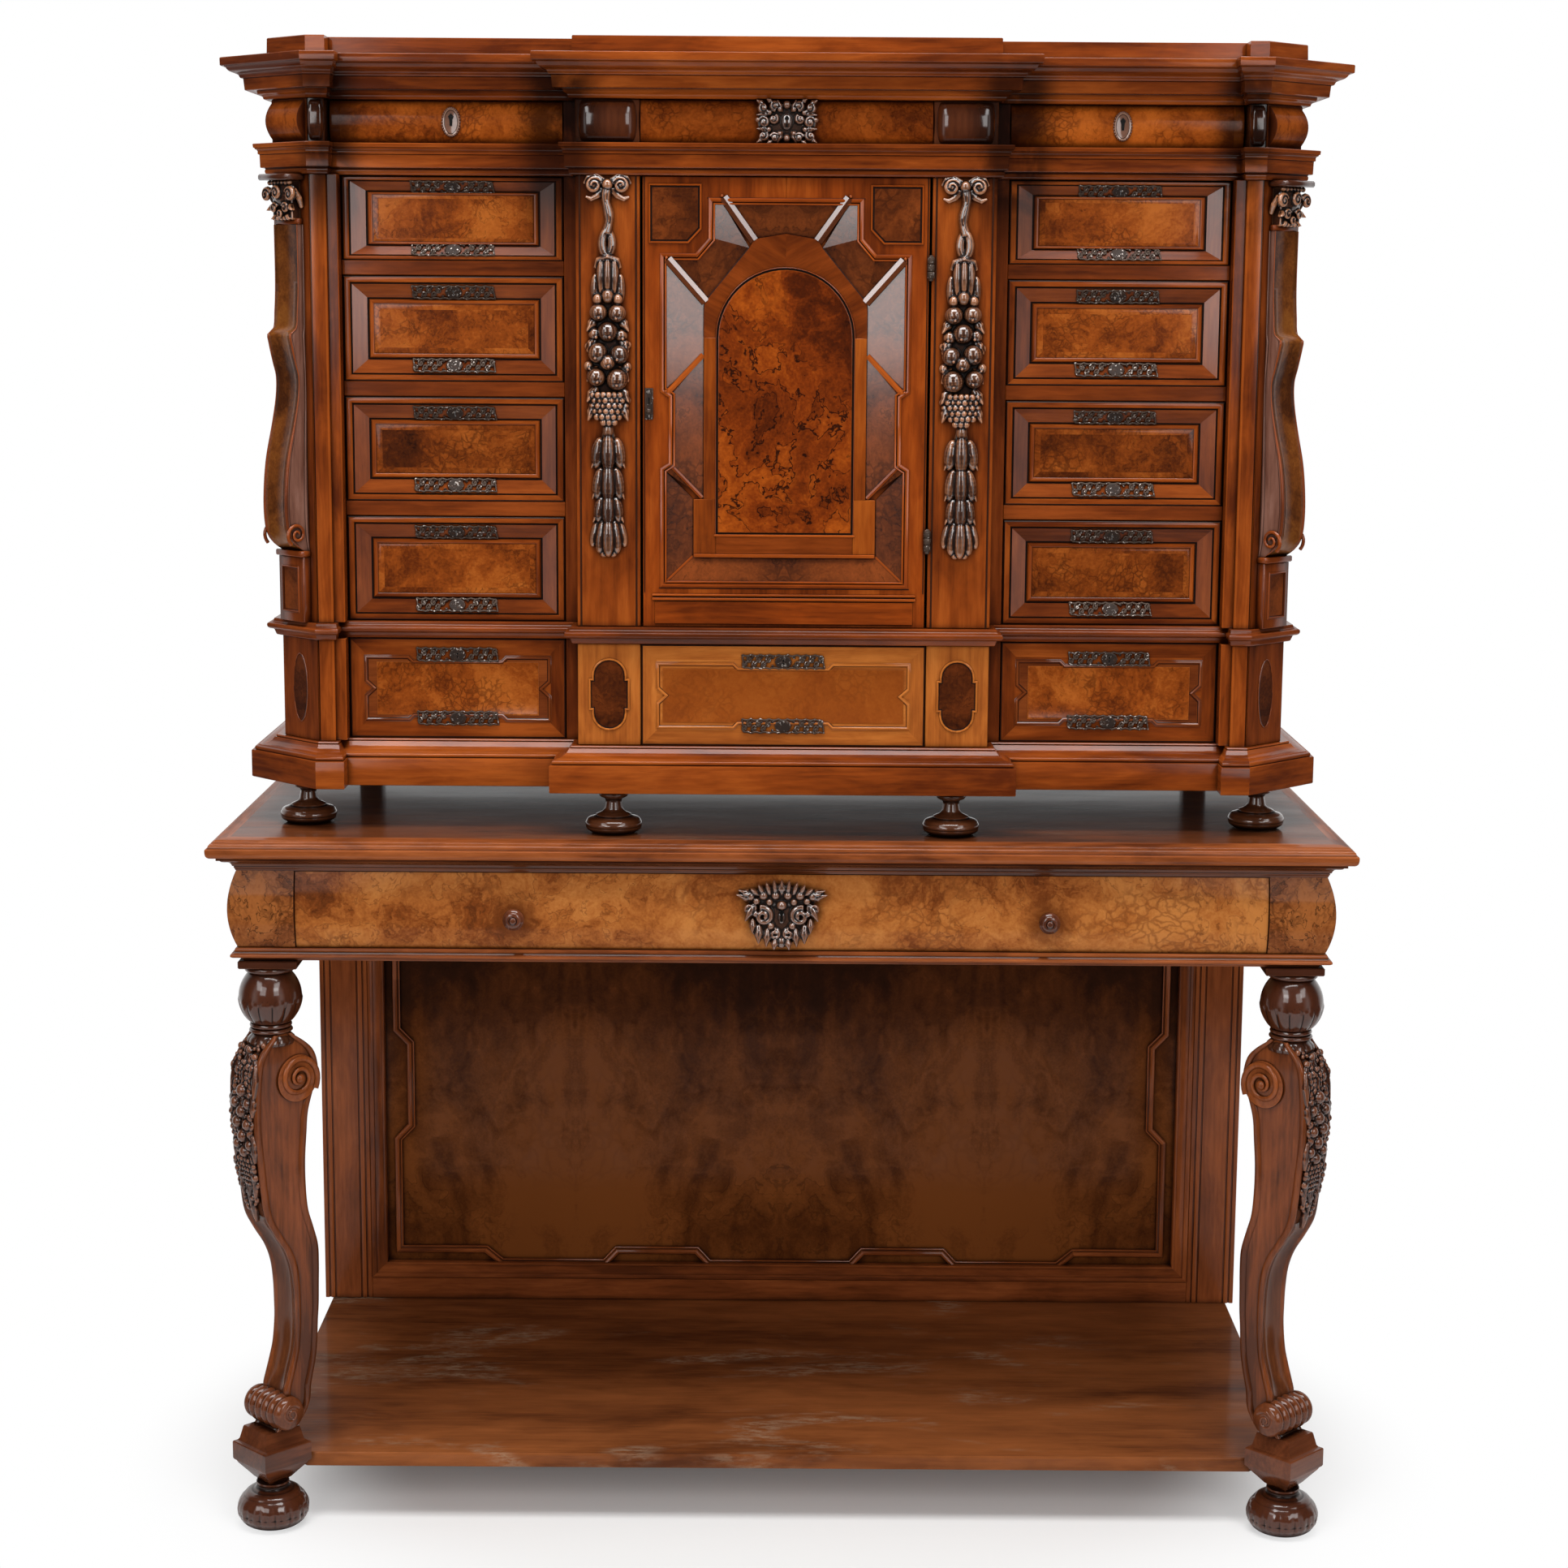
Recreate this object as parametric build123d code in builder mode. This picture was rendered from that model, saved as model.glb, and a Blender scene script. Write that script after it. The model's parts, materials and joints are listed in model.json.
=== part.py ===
from build123d import *
from math import atan2, cos, sin, sqrt
import os

# A baroque cabinet on stand: a table-like stand with cabriole legs, a low shelf, a panelled
# back and one wide drawer carries a cabinet with a cupboard door between two banks of drawers.
# Millimetres. X to the right, Y to the back, Z up, origin on the floor in the middle.

os.makedirs("parts", exist_ok=True)

# ---- fits ----
glue = 0.2            # glue line between two boards of one piece
run = 0.3             # a drawer or door clears what it slides or stands on by this
reveal = 1.2          # shadow gap around drawer fronts and the door
pin_clearance = 0.05  # hinge pin in its knuckle

# ---- stand, overall ----
stand_width = 1500
slab_depth = 720
knob_reach = 4        # the knobs stand this far forward of the top's front edge
slab_front = -(slab_depth + knob_reach) / 2 + knob_reach
slab_back = slab_front + slab_depth

# ---- stand, heights from the floor up ----
bun_height = 62
shelf_gap = 78        # floor to the underside of the shelf
shelf_thick = 20
block_height = 78
leg_height = 551      # from the foot block's top to the neck rings
ring_height = 14
melon_height = 69
collar_height = 9
abacus_height = 11
lower_mould_height = 19
apron_height = 103
bed_mould_height = 21
slab_thick = 25

block_bottom = bun_height
block_top = block_bottom + block_height
leg_bottom = block_top
leg_top = leg_bottom + leg_height
melon_bottom = leg_top + ring_height
melon_top = melon_bottom + melon_height
collar_top = melon_top + collar_height
abacus_top = collar_top + abacus_height
apron_bottom = abacus_top + lower_mould_height
apron_top = apron_bottom + apron_height
slab_bottom = apron_top + bed_mould_height
slab_top = slab_bottom + slab_thick

# ---- stand, plan ----
apron_inset = 34      # apron face behind the top's side and front edges
corner_block = 76
block_bulge = 11
apron_board = 20
runner_width = 44
drawer_guide = 10
back_board_setback = 8
back_frame_thick = 22
back_panel_thick = 10
back_stile_width = 74
back_rail_height = 34
back_moulding_width = 24
back_moulding_rise = 8
shelf_inset = 11      # shelf's ends in from the apron's side
shelf_setback = 68    # shelf's front edge behind the top's front edge

apron_side = stand_width / 2 - apron_inset
apron_front = slab_front + apron_inset
block_inner = apron_side - corner_block
block_rear = apron_front + corner_block
back_face = slab_back - back_board_setback - back_frame_thick
back_rear = back_face + back_frame_thick
runner_inner = block_inner - runner_width
shelf_side = apron_side - shelf_inset

# (rise above the start, reach beyond the apron face)
lower_mould_profile = ((0, -5), (6, -5), (6, 8), (11, 8), (13, 2), (19, 2))
bed_mould_profile = ((0, 0), (6, 2), (12, 12), (16, 18), (16, 22), (21, 22))
slab_profile = ((0, 30), (4, 34), (16, 34), (20, 28), (25, 12))
mould_depth = 34      # mouldings reach this far in behind the apron face

# ---- leg, melon and feet ----
leg_thick = 58
leg_inset = 35        # leg's axis in from the apron's corner
foot_inset = 25       # foot's axis in from the apron's corner
rear_foot_inset = 50
leg_axis_x = apron_side - leg_inset
leg_axis_y = apron_front + leg_inset
foot_axis_x = apron_side - foot_inset
foot_axis_y = apron_front + foot_inset
rear_foot_y = slab_back - rear_foot_inset
bun_radius = 48
bun_base_radius = 32
bun_neck_radius = 20
block_side = 76
melon_radius = 42.5
neck_radius = 30
roll_radius = 25
roll_half_width = 45
roll_out = 10         # centre of the foot roll along the leg's diagonal
roll_rise = 25

# ---- cabinet, heights ----
foot_height = 58
plinth_height = 59
base_tier_height = 135
waist_height = 22
top_drawer_height = 108
upper_drawer_height = 137
middle_drawer_height = 137
lower_drawer_height = 139
rail_height = 19
architrave_height = 40
frieze_height = 55
cornice_height = 55
cap_thick = 23

main_drawer_heights = (top_drawer_height, upper_drawer_height, middle_drawer_height, lower_drawer_height)
main_tier_height = sum(main_drawer_heights) + (len(main_drawer_heights) - 1) * rail_height
plinth_bottom = slab_top + foot_height
base_bottom = plinth_bottom + plinth_height
base_top = base_bottom + base_tier_height
main_bottom = base_top + waist_height
main_top = main_bottom + main_tier_height
frieze_bottom = main_top + architrave_height
frieze_top = frieze_bottom + frieze_height
cap_bottom = frieze_top + cornice_height
cap_top = cap_bottom + cap_thick

# ---- cabinet, plan ----
centre_half = 269     # half width of the projecting centre
pier_inner = 577
pier_outer = 613
cant = 54             # depth and width of the canted corner
face_centre = slab_front + 75
face_bay = face_centre + 54
face_pier = face_centre + 20
case_depth = 595      # from the centre's face to the back
case_back = face_centre + case_depth
case_side = pier_outer + cant

# (rise above the start, reach beyond the case's faces)
plinth_profile = ((0, 36), (37, 36), (37, 30), (43, 31), (48, 24), (54, 14), (59, 8))
waist_profile = ((0, 6), (8, 9), (8, 14), (15, 16), (22, 8))
architrave_profile = ((0, 6), (9, 8), (9, 13), (26, 13), (33, 18), (40, 20))
cornice_profile = ((0, 6), (8, 14), (12, 14), (12, 27), (28, 28), (28, 32), (42, 47), (46, 52), (55, 50))
cap_profile = ((0, 4), (23, 3))

# ---- cabinet, boards ----
board_thick = 18
back_thick = 12
deck_thick = 18       # what is left of the thick plates over their pockets
pilaster_inner = 187
pilaster_thick = 22
guide_thick = 12
partition_inner = centre_half + 1
partition_outer = partition_inner + board_thick
pier_board_outer = pier_inner + board_thick
foot_ring = 20        # radius of a cabinet foot's top disc
foot_bulb = 38.5
foot_waist = 11
outer_foot = (pier_outer + 24, face_pier + 51)
inner_foot = ((pilaster_inner + centre_half) / 2 - 5, face_centre + 6)
rear_post_side = 34
rear_post = (case_side - 47, case_back - 37)

console_half = 27
console_pedestal = 94
console_capital = 64
garland_half = 28
garland_length = 490

# ---- drawers ----
front_thick = 22
frame_land = 12       # flat outer land of a framed drawer front
frame_slope = 17      # width of the bevel that runs down to the field
frame_depth = 8       # depth of the sunk field
tablet_gap = 8        # bevel's foot to the burl tablet
tablet_rise = 3
side_thick = 10
bottom_thick = 6
bottom_groove = 4
side_drop = 8         # box sides stay this far below the front's top
drawer_back_gap = 20
plate_length = 108
plate_height = 16
plate_thick = 1.5
knob_radius = 14
knob_x = 350
knob_drop = 6         # knobs sit this far below the drawer's middle
stand_bulge = 9
stand_drawer_setback = 2
frieze_bulge = 6      # swell of the frieze drawers
frieze_back = 4       # their fronts' edges behind the plane of the bay

# ---- door ----
door_thick = 22
door_setback = 1      # door frame's face behind the pilasters'
stile_width = 40
top_rail = 46
bottom_rail = 34
panel_thick = 10
arch_half = 90
arch_crown_drop = 114 # arched panel's crown below the door's top
arch_foot = 120       # height of the arched panel's foot
arch_band = 44
band_thick = 9
arch_tablet = 5
lower_tablet = (150, 34)
lower_tablet_foot = 52
hinge_inset = 114     # middle of each hinge from the door's bottom and top
hinge_length = 27
knuckle_radius = 4.5
pin_radius = 2
leaf_thick = 1.2
leaf_depth = 18
hinge_heights = (hinge_inset - hinge_length / 2, main_tier_height - hinge_inset - hinge_length / 2)


def save(piece, name):
    """Label a finished sub-part and write its STEP file."""
    piece.part.label = name
    export_step(piece.part, f"parts/{name}.step")


def board(x0, x1, y0, y1, z0, z1, mode=Mode.ADD):
    """A plain board between two corners."""
    with Locations(((x0 + x1) / 2, (y0 + y1) / 2, (z0 + z1) / 2)):
        Box(x1 - x0, y1 - y0, z1 - z0, mode=mode)


def pair_of_boards(x0, x1, y0, y1, z0, z1):
    """The same board on the right and on the left."""
    board(x0, x1, y0, y1, z0, z1)
    board(-x1, -x0, y0, y1, z0, z1)


def layer(points, z):
    """A horizontal outline at height z."""
    with BuildSketch(Plane.XY.offset(z)) as sketch:
        with BuildLine():
            Polyline(*points, close=True)
        make_face()
    return sketch.sketch


def prism(points, z0, z1, mode=Mode.ADD):
    """An upright prism on a plan outline."""
    extrude(layer(points, z0), amount=z1 - z0, mode=mode)


def moulding(outline, start, profile):
    """Stack an outline's layers along a profile of (rise, reach) corners."""
    for (low, low_reach), (high, high_reach) in zip(profile, profile[1:]):
        if high > low:
            layers = [layer(outline(low_reach), start + low), layer(outline(high_reach), start + high)]
            loft(layers, ruled=True)


def front_plane(y):
    """The upright plane at depth y that faces the viewer, x to the right and y upward."""
    return Plane.XZ.offset(-y)


def relief(outline_points, y, depth, mode=Mode.ADD):
    """A flat carving or tablet that stands forward of the plane at y."""
    with BuildSketch(front_plane(y)) as sketch:
        with BuildLine():
            Polyline(*outline_points, close=True)
        make_face()
    extrude(sketch.sketch, amount=depth, mode=mode)


def boss(y, centre, half_width, half_height, rise, share):
    """A raised oval with sloping sides on the plane at y, its flat top smaller by share."""
    sections = []
    for depth, size in ((0, 1), (rise, share)):
        with BuildSketch(front_plane(y - depth)) as oval:
            with Locations(centre):
                Ellipse(half_width * size, half_height * size)
        sections.append(oval.sketch)
    loft(sections)


def rectangle_points(x0, x1, z0, z1):
    return [(x0, z0), (x1, z0), (x1, z1), (x0, z1)]


def turned(profile, centres, z0):
    """A turned piece on each upright axis, from (radius, rise) points joined by a smooth line."""
    for x, y in centres:
        with BuildSketch(Plane((x, y, z0), x_dir=(1, 0, 0), z_dir=(0, -1, 0))) as sketch:
            with BuildLine():
                Spline(*profile)
                first, last = profile[0], profile[-1]
                Polyline(last, (0, last[1]), (0, first[1]), first)
            make_face()
        revolve(sketch.sketch, axis=Axis((x, y, z0), (0, 0, 1)))


def mirrored(points):
    """A right-hand run of plan points closed by its mirror image."""
    return points + [(-x, y) for x, y in reversed(points)]


def stand_outline(reach):
    """Plan of the stand's apron with its front and sides stood out by reach."""
    back = slab_back if reach > 0 else back_rear
    return mirrored([(apron_side + reach, apron_front - reach), (apron_side + reach, back)])


def case_outline(reach):
    """Plan of the cabinet with its faces stood out by reach: centre, bays, piers, canted corners."""
    corner = cant + reach * 4 / 3
    return mirrored(
        [
            (centre_half + reach, face_centre - reach),
            (centre_half + reach, face_bay - reach),
            (pier_inner - reach, face_bay - reach),
            (pier_inner - reach, face_pier - reach),
            (pier_outer, face_pier - reach),
            (pier_outer + corner, face_pier - reach + corner),
            (pier_outer + corner, case_back),
        ]
    )


# ======================= the stand =======================

def make_slab():
    with BuildPart() as stand_top:
        moulding(stand_outline, slab_bottom, slab_profile)
    save(stand_top, "stand_top")


def make_stand_mouldings():
    """Frame mouldings under the apron and under the top, open in the middle."""
    with BuildPart() as stand_mouldings:
        moulding(stand_outline, abacus_top, lower_mould_profile)
        moulding(stand_outline, apron_top, bed_mould_profile)
        inner_x = apron_side - mould_depth
        inner_y = apron_front + mould_depth
        board(-inner_x, inner_x, inner_y, slab_back + 1, abacus_top, slab_bottom, mode=Mode.SUBTRACT)
        board(-apron_side - 60, apron_side + 60, back_face - glue, slab_back + 1,
              abacus_top, slab_bottom, mode=Mode.SUBTRACT)
    save(stand_mouldings, "stand_mouldings")


def cushion(x0, x1, z0, z1, front, depth, bulge):
    """A block whose front swells forward by bulge, as a cushion."""
    rise = (z1 - z0) / 2
    middle = (z0 + z1) / 2
    with BuildSketch(Plane((x0, 0, 0), x_dir=(0, 1, 0), z_dir=(1, 0, 0))) as sketch:
        with BuildLine():
            ThreePointArc((front, middle - rise), (front - bulge, middle), (front, middle + rise))
            Polyline((front, middle + rise), (front + depth, middle + rise),
                     (front + depth, middle - rise), (front, middle - rise))
        make_face()
    extrude(sketch.sketch, amount=x1 - x0)


def make_stand_frame():
    """Corner blocks, side aprons, drawer runners and guides."""
    with BuildPart() as stand_frame:
        for x0 in (block_inner, -apron_side):
            cushion(x0, x0 + corner_block, apron_bottom, apron_top, apron_front, corner_block, block_bulge)
        pair_of_boards(apron_side - apron_board, apron_side, block_rear + glue, back_face,
                       apron_bottom, apron_top)
        pair_of_boards(runner_inner, apron_side - mould_depth - glue, apron_front + mould_depth, back_face,
                       abacus_top, apron_bottom - glue)
        pair_of_boards(block_inner - drawer_guide, block_inner - glue, block_rear, back_face,
                       apron_bottom, apron_top)
    save(stand_frame, "stand_frame")


def leg_outline():
    """Side view of a cabriole leg as (outward, height) curves."""
    top = leg_top
    base = leg_bottom
    front = [(16, top), (42, top - 46), (46, top - 100), (40, top - 190), (2, top - 305),
             (-12, top - 395), (2, base + 87), (roll_out, base + roll_rise)]
    inner = [(-10, base), (-36, base + 62), (-50, base + 165), (-50, base + 240), (-33, base + 345),
             (-38, base + 430), (-55, top - 57), (-16, top)]
    return front, inner


def make_leg(name):
    """A cabriole leg cut from a thick plank that stands on the corner's diagonal."""
    outward = (-1 / sqrt(2), -1 / sqrt(2), 0)
    across = (-1 / sqrt(2), 1 / sqrt(2), 0)
    plane = Plane((-leg_axis_x, leg_axis_y, 0), x_dir=outward, z_dir=across)
    front, inner = leg_outline()
    with BuildPart() as leg:
        with BuildSketch(plane) as side:
            with BuildLine():
                Spline(*front)
                Line(front[-1], inner[0])
                Spline(*inner)
                Line(inner[-1], front[0])
            make_face()
        extrude(side.sketch, amount=leg_thick / 2, both=True)
        with BuildSketch(plane) as roll:
            with Locations((roll_out, leg_bottom + roll_radius)):
                Circle(roll_radius)
        extrude(roll.sketch, amount=roll_half_width, both=True)
        if name == "leg_right":
            mirror(about=Plane.YZ, mode=Mode.REPLACE)
    save(leg, name)


def make_leg_heads():
    """Neck rings, melon, collar and abacus over each leg."""
    centres = [(-leg_axis_x, leg_axis_y), (leg_axis_x, leg_axis_y)]
    abacus_x = apron_side - corner_block / 2
    abacus_y = apron_front + corner_block / 2
    half = corner_block / 2 + 1
    ring = ((neck_radius - 6, 0), (neck_radius, 4), (neck_radius - 4, 7), (neck_radius, 10),
            (neck_radius - 8, ring_height))
    melon = ((neck_radius - 8, 0), (melon_radius - 6, 14), (melon_radius, melon_height / 2),
             (melon_radius - 6, melon_height - 14), (neck_radius - 4, melon_height))
    collar = ((neck_radius - 4, 0), (neck_radius + 4, collar_height / 2), (neck_radius, collar_height))
    with BuildPart() as leg_heads:
        turned(ring, centres, leg_top)
        turned(melon, centres, melon_bottom)
        turned(collar, centres, melon_top)
        pair_of_boards(abacus_x - half, abacus_x + half, abacus_y - half, abacus_y + half,
                       collar_top, abacus_top)
    save(leg_heads, "leg_heads")


def diamond(centre, side):
    """A square turned corner-on, around a plan centre."""
    half = side / sqrt(2)
    x, y = centre
    return [(x + half, y), (x, y + half), (x - half, y), (x, y - half)]


def make_foot_blocks():
    """Corner-on blocks between bun feet and legs, tapered above and below."""
    steps = ((0, 2 * bun_neck_radius / sqrt(2)), (30, block_side), (55, block_side), (block_height, 54))
    with BuildPart() as foot_blocks:
        for x in (-foot_axis_x, foot_axis_x):
            for (low, low_side), (high, high_side) in zip(steps, steps[1:]):
                layers = [layer(diamond((x, foot_axis_y), low_side), block_bottom + low),
                          layer(diamond((x, foot_axis_y), high_side), block_bottom + high)]
                loft(layers, ruled=True)
    save(foot_blocks, "foot_blocks")


def make_bun_feet():
    profile = ((bun_base_radius, 0), (bun_radius - 4, 11), (bun_radius, 27), (bun_radius - 9, 43),
               (bun_neck_radius + 2, 54), (bun_neck_radius, bun_height))
    front = [(-foot_axis_x, foot_axis_y), (foot_axis_x, foot_axis_y)]
    rear = [(-shelf_side + bun_radius, rear_foot_y), (shelf_side - bun_radius, rear_foot_y)]
    with BuildPart() as bun_feet:
        turned(profile, front + rear, 0)
        for x, y in rear:
            board(x - bun_neck_radius, x + bun_neck_radius, y - bun_neck_radius, y + bun_neck_radius,
                  bun_height, shelf_gap)
    save(bun_feet, "bun_feet")


def make_shelf():
    """Low shelf, cut away around the foot blocks."""
    front = slab_front + shelf_setback
    with BuildPart() as shelf:
        board(-shelf_side, shelf_side, front, back_rear, shelf_gap, shelf_gap + shelf_thick)
        for x in (-foot_axis_x, foot_axis_x):
            prism(diamond((x, foot_axis_y), block_side + glue), shelf_gap - 1,
                  shelf_gap + shelf_thick + 1, mode=Mode.SUBTRACT)
            outer = x + (block_side if x > 0 else -block_side)
            board(min(x, outer), max(x, outer), front - 1, foot_axis_y + block_side / sqrt(2),
                  shelf_gap - 1, shelf_gap + shelf_thick + 1, mode=Mode.SUBTRACT)
    save(shelf, "shelf")


def make_back():
    """Panelled back of the stand: frame, panel and raised mouldings."""
    bottom = shelf_gap + shelf_thick
    side = apron_side
    inner = side - back_stile_width
    with BuildPart() as back_frame:
        pair_of_boards(inner, side, back_face, back_rear, bottom, slab_bottom)
        board(-inner + glue, inner - glue, back_face, back_rear, bottom, bottom + back_rail_height)
        board(-inner + glue, inner - glue, back_face, back_rear, abacus_top, slab_bottom)
    save(back_frame, "back_frame")
    panel_bottom = bottom + back_rail_height + glue
    panel_top = abacus_top - glue
    panel_side = inner - glue
    panel_face = back_rear - back_panel_thick
    with BuildPart() as back_panel:
        board(-panel_side, panel_side, panel_face, back_rear, panel_bottom, panel_top)
    save(back_panel, "back_panel")
    width = back_moulding_width
    front = back_face - back_moulding_rise
    with BuildPart() as back_mouldings:
        pair_of_boards(panel_side - width, panel_side, front, panel_face, panel_bottom, panel_top)
        board(-panel_side + width + glue, panel_side - width - glue, front, panel_face,
              panel_bottom, panel_bottom + width)
        board(-panel_side + width + glue, panel_side - width - glue, front, panel_face,
              panel_top - width, panel_top)
    save(back_mouldings, "back_mouldings")


# ======================= the cabinet's case =======================

def make_cabinet_feet():
    """Four turned feet in front and two square posts behind."""
    profile = ((foot_ring - 2, 0), (foot_bulb - 8, 5), (foot_bulb, 14), (foot_bulb - 6, 21),
               (foot_waist + 5, 32), (foot_waist, 42), (foot_ring - 6, 50), (foot_ring, foot_height))
    centres = [(side * x, y) for x, y in (outer_foot, inner_foot) for side in (-1, 1)]
    x, y = rear_post
    half = rear_post_side / 2
    with BuildPart() as cabinet_feet:
        turned(profile, centres, slab_top)
        pair_of_boards(x - half, x + half, y - half, y + half, slab_top, plinth_bottom)
    save(cabinet_feet, "cabinet_feet")


def make_plinth():
    """Moulded plinth with a deck on top and a hollow underneath, clear of the feet."""
    hollow_x = outer_foot[0] - foot_ring - 10
    hollow_front = outer_foot[1] + foot_ring + 10
    hollow_back = rear_post[1] - rear_post_side / 2 - 10
    with BuildPart() as cabinet_plinth:
        moulding(case_outline, plinth_bottom, plinth_profile)
        board(-hollow_x, hollow_x, hollow_front, hollow_back,
              plinth_bottom - 1, base_bottom - deck_thick, mode=Mode.SUBTRACT)
    save(cabinet_plinth, "cabinet_plinth")


def make_waist():
    with BuildPart() as waist_moulding:
        moulding(case_outline, base_top, waist_profile)
    save(waist_moulding, "waist_moulding")


def make_architrave():
    """Moulded plate over the main tier, hollowed from below over each bay."""
    bays = ((-partition_inner, partition_inner), (partition_outer, pier_inner), (-pier_inner, -partition_outer))
    with BuildPart() as architrave:
        moulding(case_outline, main_top, architrave_profile)
        for left, right in bays:
            board(left, right, face_bay + front_thick, case_back - back_thick,
                  main_top - 1, frieze_bottom - deck_thick, mode=Mode.SUBTRACT)
    save(architrave, "architrave")


def make_cornice():
    """Cornice with a floor and a hollow that the top closes."""
    with BuildPart() as cornice:
        moulding(case_outline, frieze_top, cornice_profile)
        board(-case_side + board_thick, case_side - board_thick, face_bay + front_thick,
              case_back - board_thick, frieze_top + deck_thick, cap_bottom + 1, mode=Mode.SUBTRACT)
    save(cornice, "cornice")


def make_cabinet_top():
    with BuildPart() as cabinet_top:
        moulding(case_outline, cap_bottom, cap_profile)
    save(cabinet_top, "cabinet_top")


tiers = ((base_bottom, base_top), (main_bottom, main_top), (frieze_bottom, frieze_top))


def canted_board():
    """Plan of the right-hand corner board on its 45-degree cant."""
    lap = board_thick * (sqrt(2) - 1)
    inner = board_thick / sqrt(2)
    return [
        (pier_outer + glue, face_pier + glue),
        (case_side, face_pier + cant),
        (case_side - board_thick, face_pier + cant + lap),
        (pier_outer + glue, face_pier + 2 * inner + glue),
    ]


def make_case_boards():
    """Sides, canted corner boards and backs of the three tiers."""
    corner = canted_board()
    lap = board_thick * (sqrt(2) - 1)
    side_front = face_pier + cant + lap + glue
    with BuildPart() as case_boards:
        for bottom, top in tiers:
            pair_of_boards(case_side - board_thick, case_side, side_front, case_back, bottom, top)
            prism(corner, bottom, top)
            prism([(-x, y) for x, y in corner], bottom, top)
            board(-case_side + board_thick + glue, case_side - board_thick - glue,
                  case_back - back_thick, case_back, bottom, top)
    save(case_boards, "case_boards")


def make_partitions():
    """Upright partitions beside every drawer bay."""
    rear = case_back - back_thick - glue
    with BuildPart() as partitions:
        for bottom, top in tiers:
            pair_of_boards(partition_inner, partition_outer, face_bay, rear, bottom, top)
            front = face_bay + front_thick + reveal
            pair_of_boards(pier_inner, pier_board_outer, front, rear, bottom, top)
        for bottom, top in (tiers[0], tiers[2]):
            front = face_centre + pilaster_thick + glue
            pair_of_boards(pilaster_inner - reveal, pilaster_inner - reveal + guide_thick, front, rear,
                           bottom, top)
    save(partitions, "partitions")


def main_openings():
    """Bottom and height of each main-tier drawer opening, from the lowest up."""
    openings = []
    z = main_bottom
    for height in reversed(main_drawer_heights):
        openings.append((z, height))
        z += height + rail_height
    return openings


def make_dust_boards():
    """Boards between the main-tier drawers, their front edges seen as rails."""
    openings = main_openings()
    rear = case_back - back_thick - glue
    with BuildPart() as dust_boards:
        for (bottom, height), (above, _) in zip(openings, openings[1:]):
            pair_of_boards(partition_outer, pier_inner, face_bay, rear, bottom + height, above)
    save(dust_boards, "dust_boards")


def make_face_frame():
    """Pilasters, pier posts and the base tier's blocks with their raised oval cabochons."""
    pilaster_outer = centre_half
    return_inner = pilaster_outer - board_thick
    behind = face_centre + pilaster_thick
    with BuildPart() as face_frame:
        for bottom, top in tiers:
            pair_of_boards(pilaster_inner, pilaster_outer, face_centre, behind, bottom, top)
            pair_of_boards(return_inner, pilaster_outer, behind + glue, face_bay + front_thick, bottom, top)
            pair_of_boards(pier_inner + glue, pier_outer, face_pier, face_bay + front_thick, bottom, top)
        middle = (base_bottom + base_top) / 2
        for x in (-1, 1):
            boss(face_centre, (x * (pilaster_inner + pilaster_outer) / 2, middle), 23, 43, 7, 0.8)
    save(face_frame, "face_frame")


def make_frieze_blocks():
    """Cushion blocks of the frieze over the pilasters and on the canted corners."""
    z0 = frieze_bottom + 2
    z1 = frieze_top - 2
    cant_middle = (pier_outer + cant / 2, face_pier + cant / 2)
    outward = Plane((*cant_middle, 0), x_dir=(1 / sqrt(2), 1 / sqrt(2), 0), z_dir=(1 / sqrt(2), -1 / sqrt(2), 0))
    half = cant / sqrt(2) - 4
    with BuildPart() as frieze_blocks:
        for x0 in (pilaster_inner + 4, -centre_half + 2):
            cushion(x0, x0 + centre_half - pilaster_inner - 6, z0, z1, face_centre - 2, 2 - glue, 10)
        with BuildSketch(outward) as swell:
            with Locations((0, (z0 + z1) / 2)):
                Rectangle(2 * half, z1 - z0)
        extrude(swell.sketch, amount=12, taper=25)
        mirror(about=Plane.YZ)
    save(frieze_blocks, "frieze_blocks")


def make_corner_consoles():
    """Pedestal, scrolled console and capital on each canted corner."""
    cant_middle = (pier_outer + cant / 2, face_pier + cant / 2)
    outward = (1 / sqrt(2), -1 / sqrt(2), 0)
    plane = Plane((*cant_middle, main_bottom), x_dir=outward, z_dir=(-1 / sqrt(2), -1 / sqrt(2), 0))
    half = console_half
    pedestal = console_pedestal
    shaft_top = main_tier_height - console_capital
    top = main_tier_height
    scroll = ((8, 0), (30, 0.07), (36, 0.19), (24, 0.36), (8, 0.53), (20, 0.66), (10, 0.79), (10, 1))
    length = shaft_top - pedestal - 2 * glue
    profile = [(out, pedestal + glue + share * length) for out, share in scroll]
    with BuildPart() as corner_consoles:
        with BuildSketch(plane) as shaft:
            with BuildLine():
                Spline(*profile)
                Polyline(profile[-1], (0, profile[-1][1]), (0, profile[0][1]), profile[0])
            make_face()
        extrude(shaft.sketch, amount=half, both=True)
        with BuildSketch(plane) as ends:
            with BuildLine():
                Polyline((0, 0), (12, 0), (12, pedestal - 8), (16, pedestal), (0, pedestal), close=True)
            make_face()
            with BuildLine():
                Polyline((0, shaft_top), (8, shaft_top), (26, top - 24), (26, top - 8), (30, top - 8),
                         (30, top), (0, top), close=True)
            make_face()
        extrude(ends.sketch, amount=half, both=True)
        mirror(about=Plane.YZ)
    save(corner_consoles, "corner_consoles")


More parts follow.
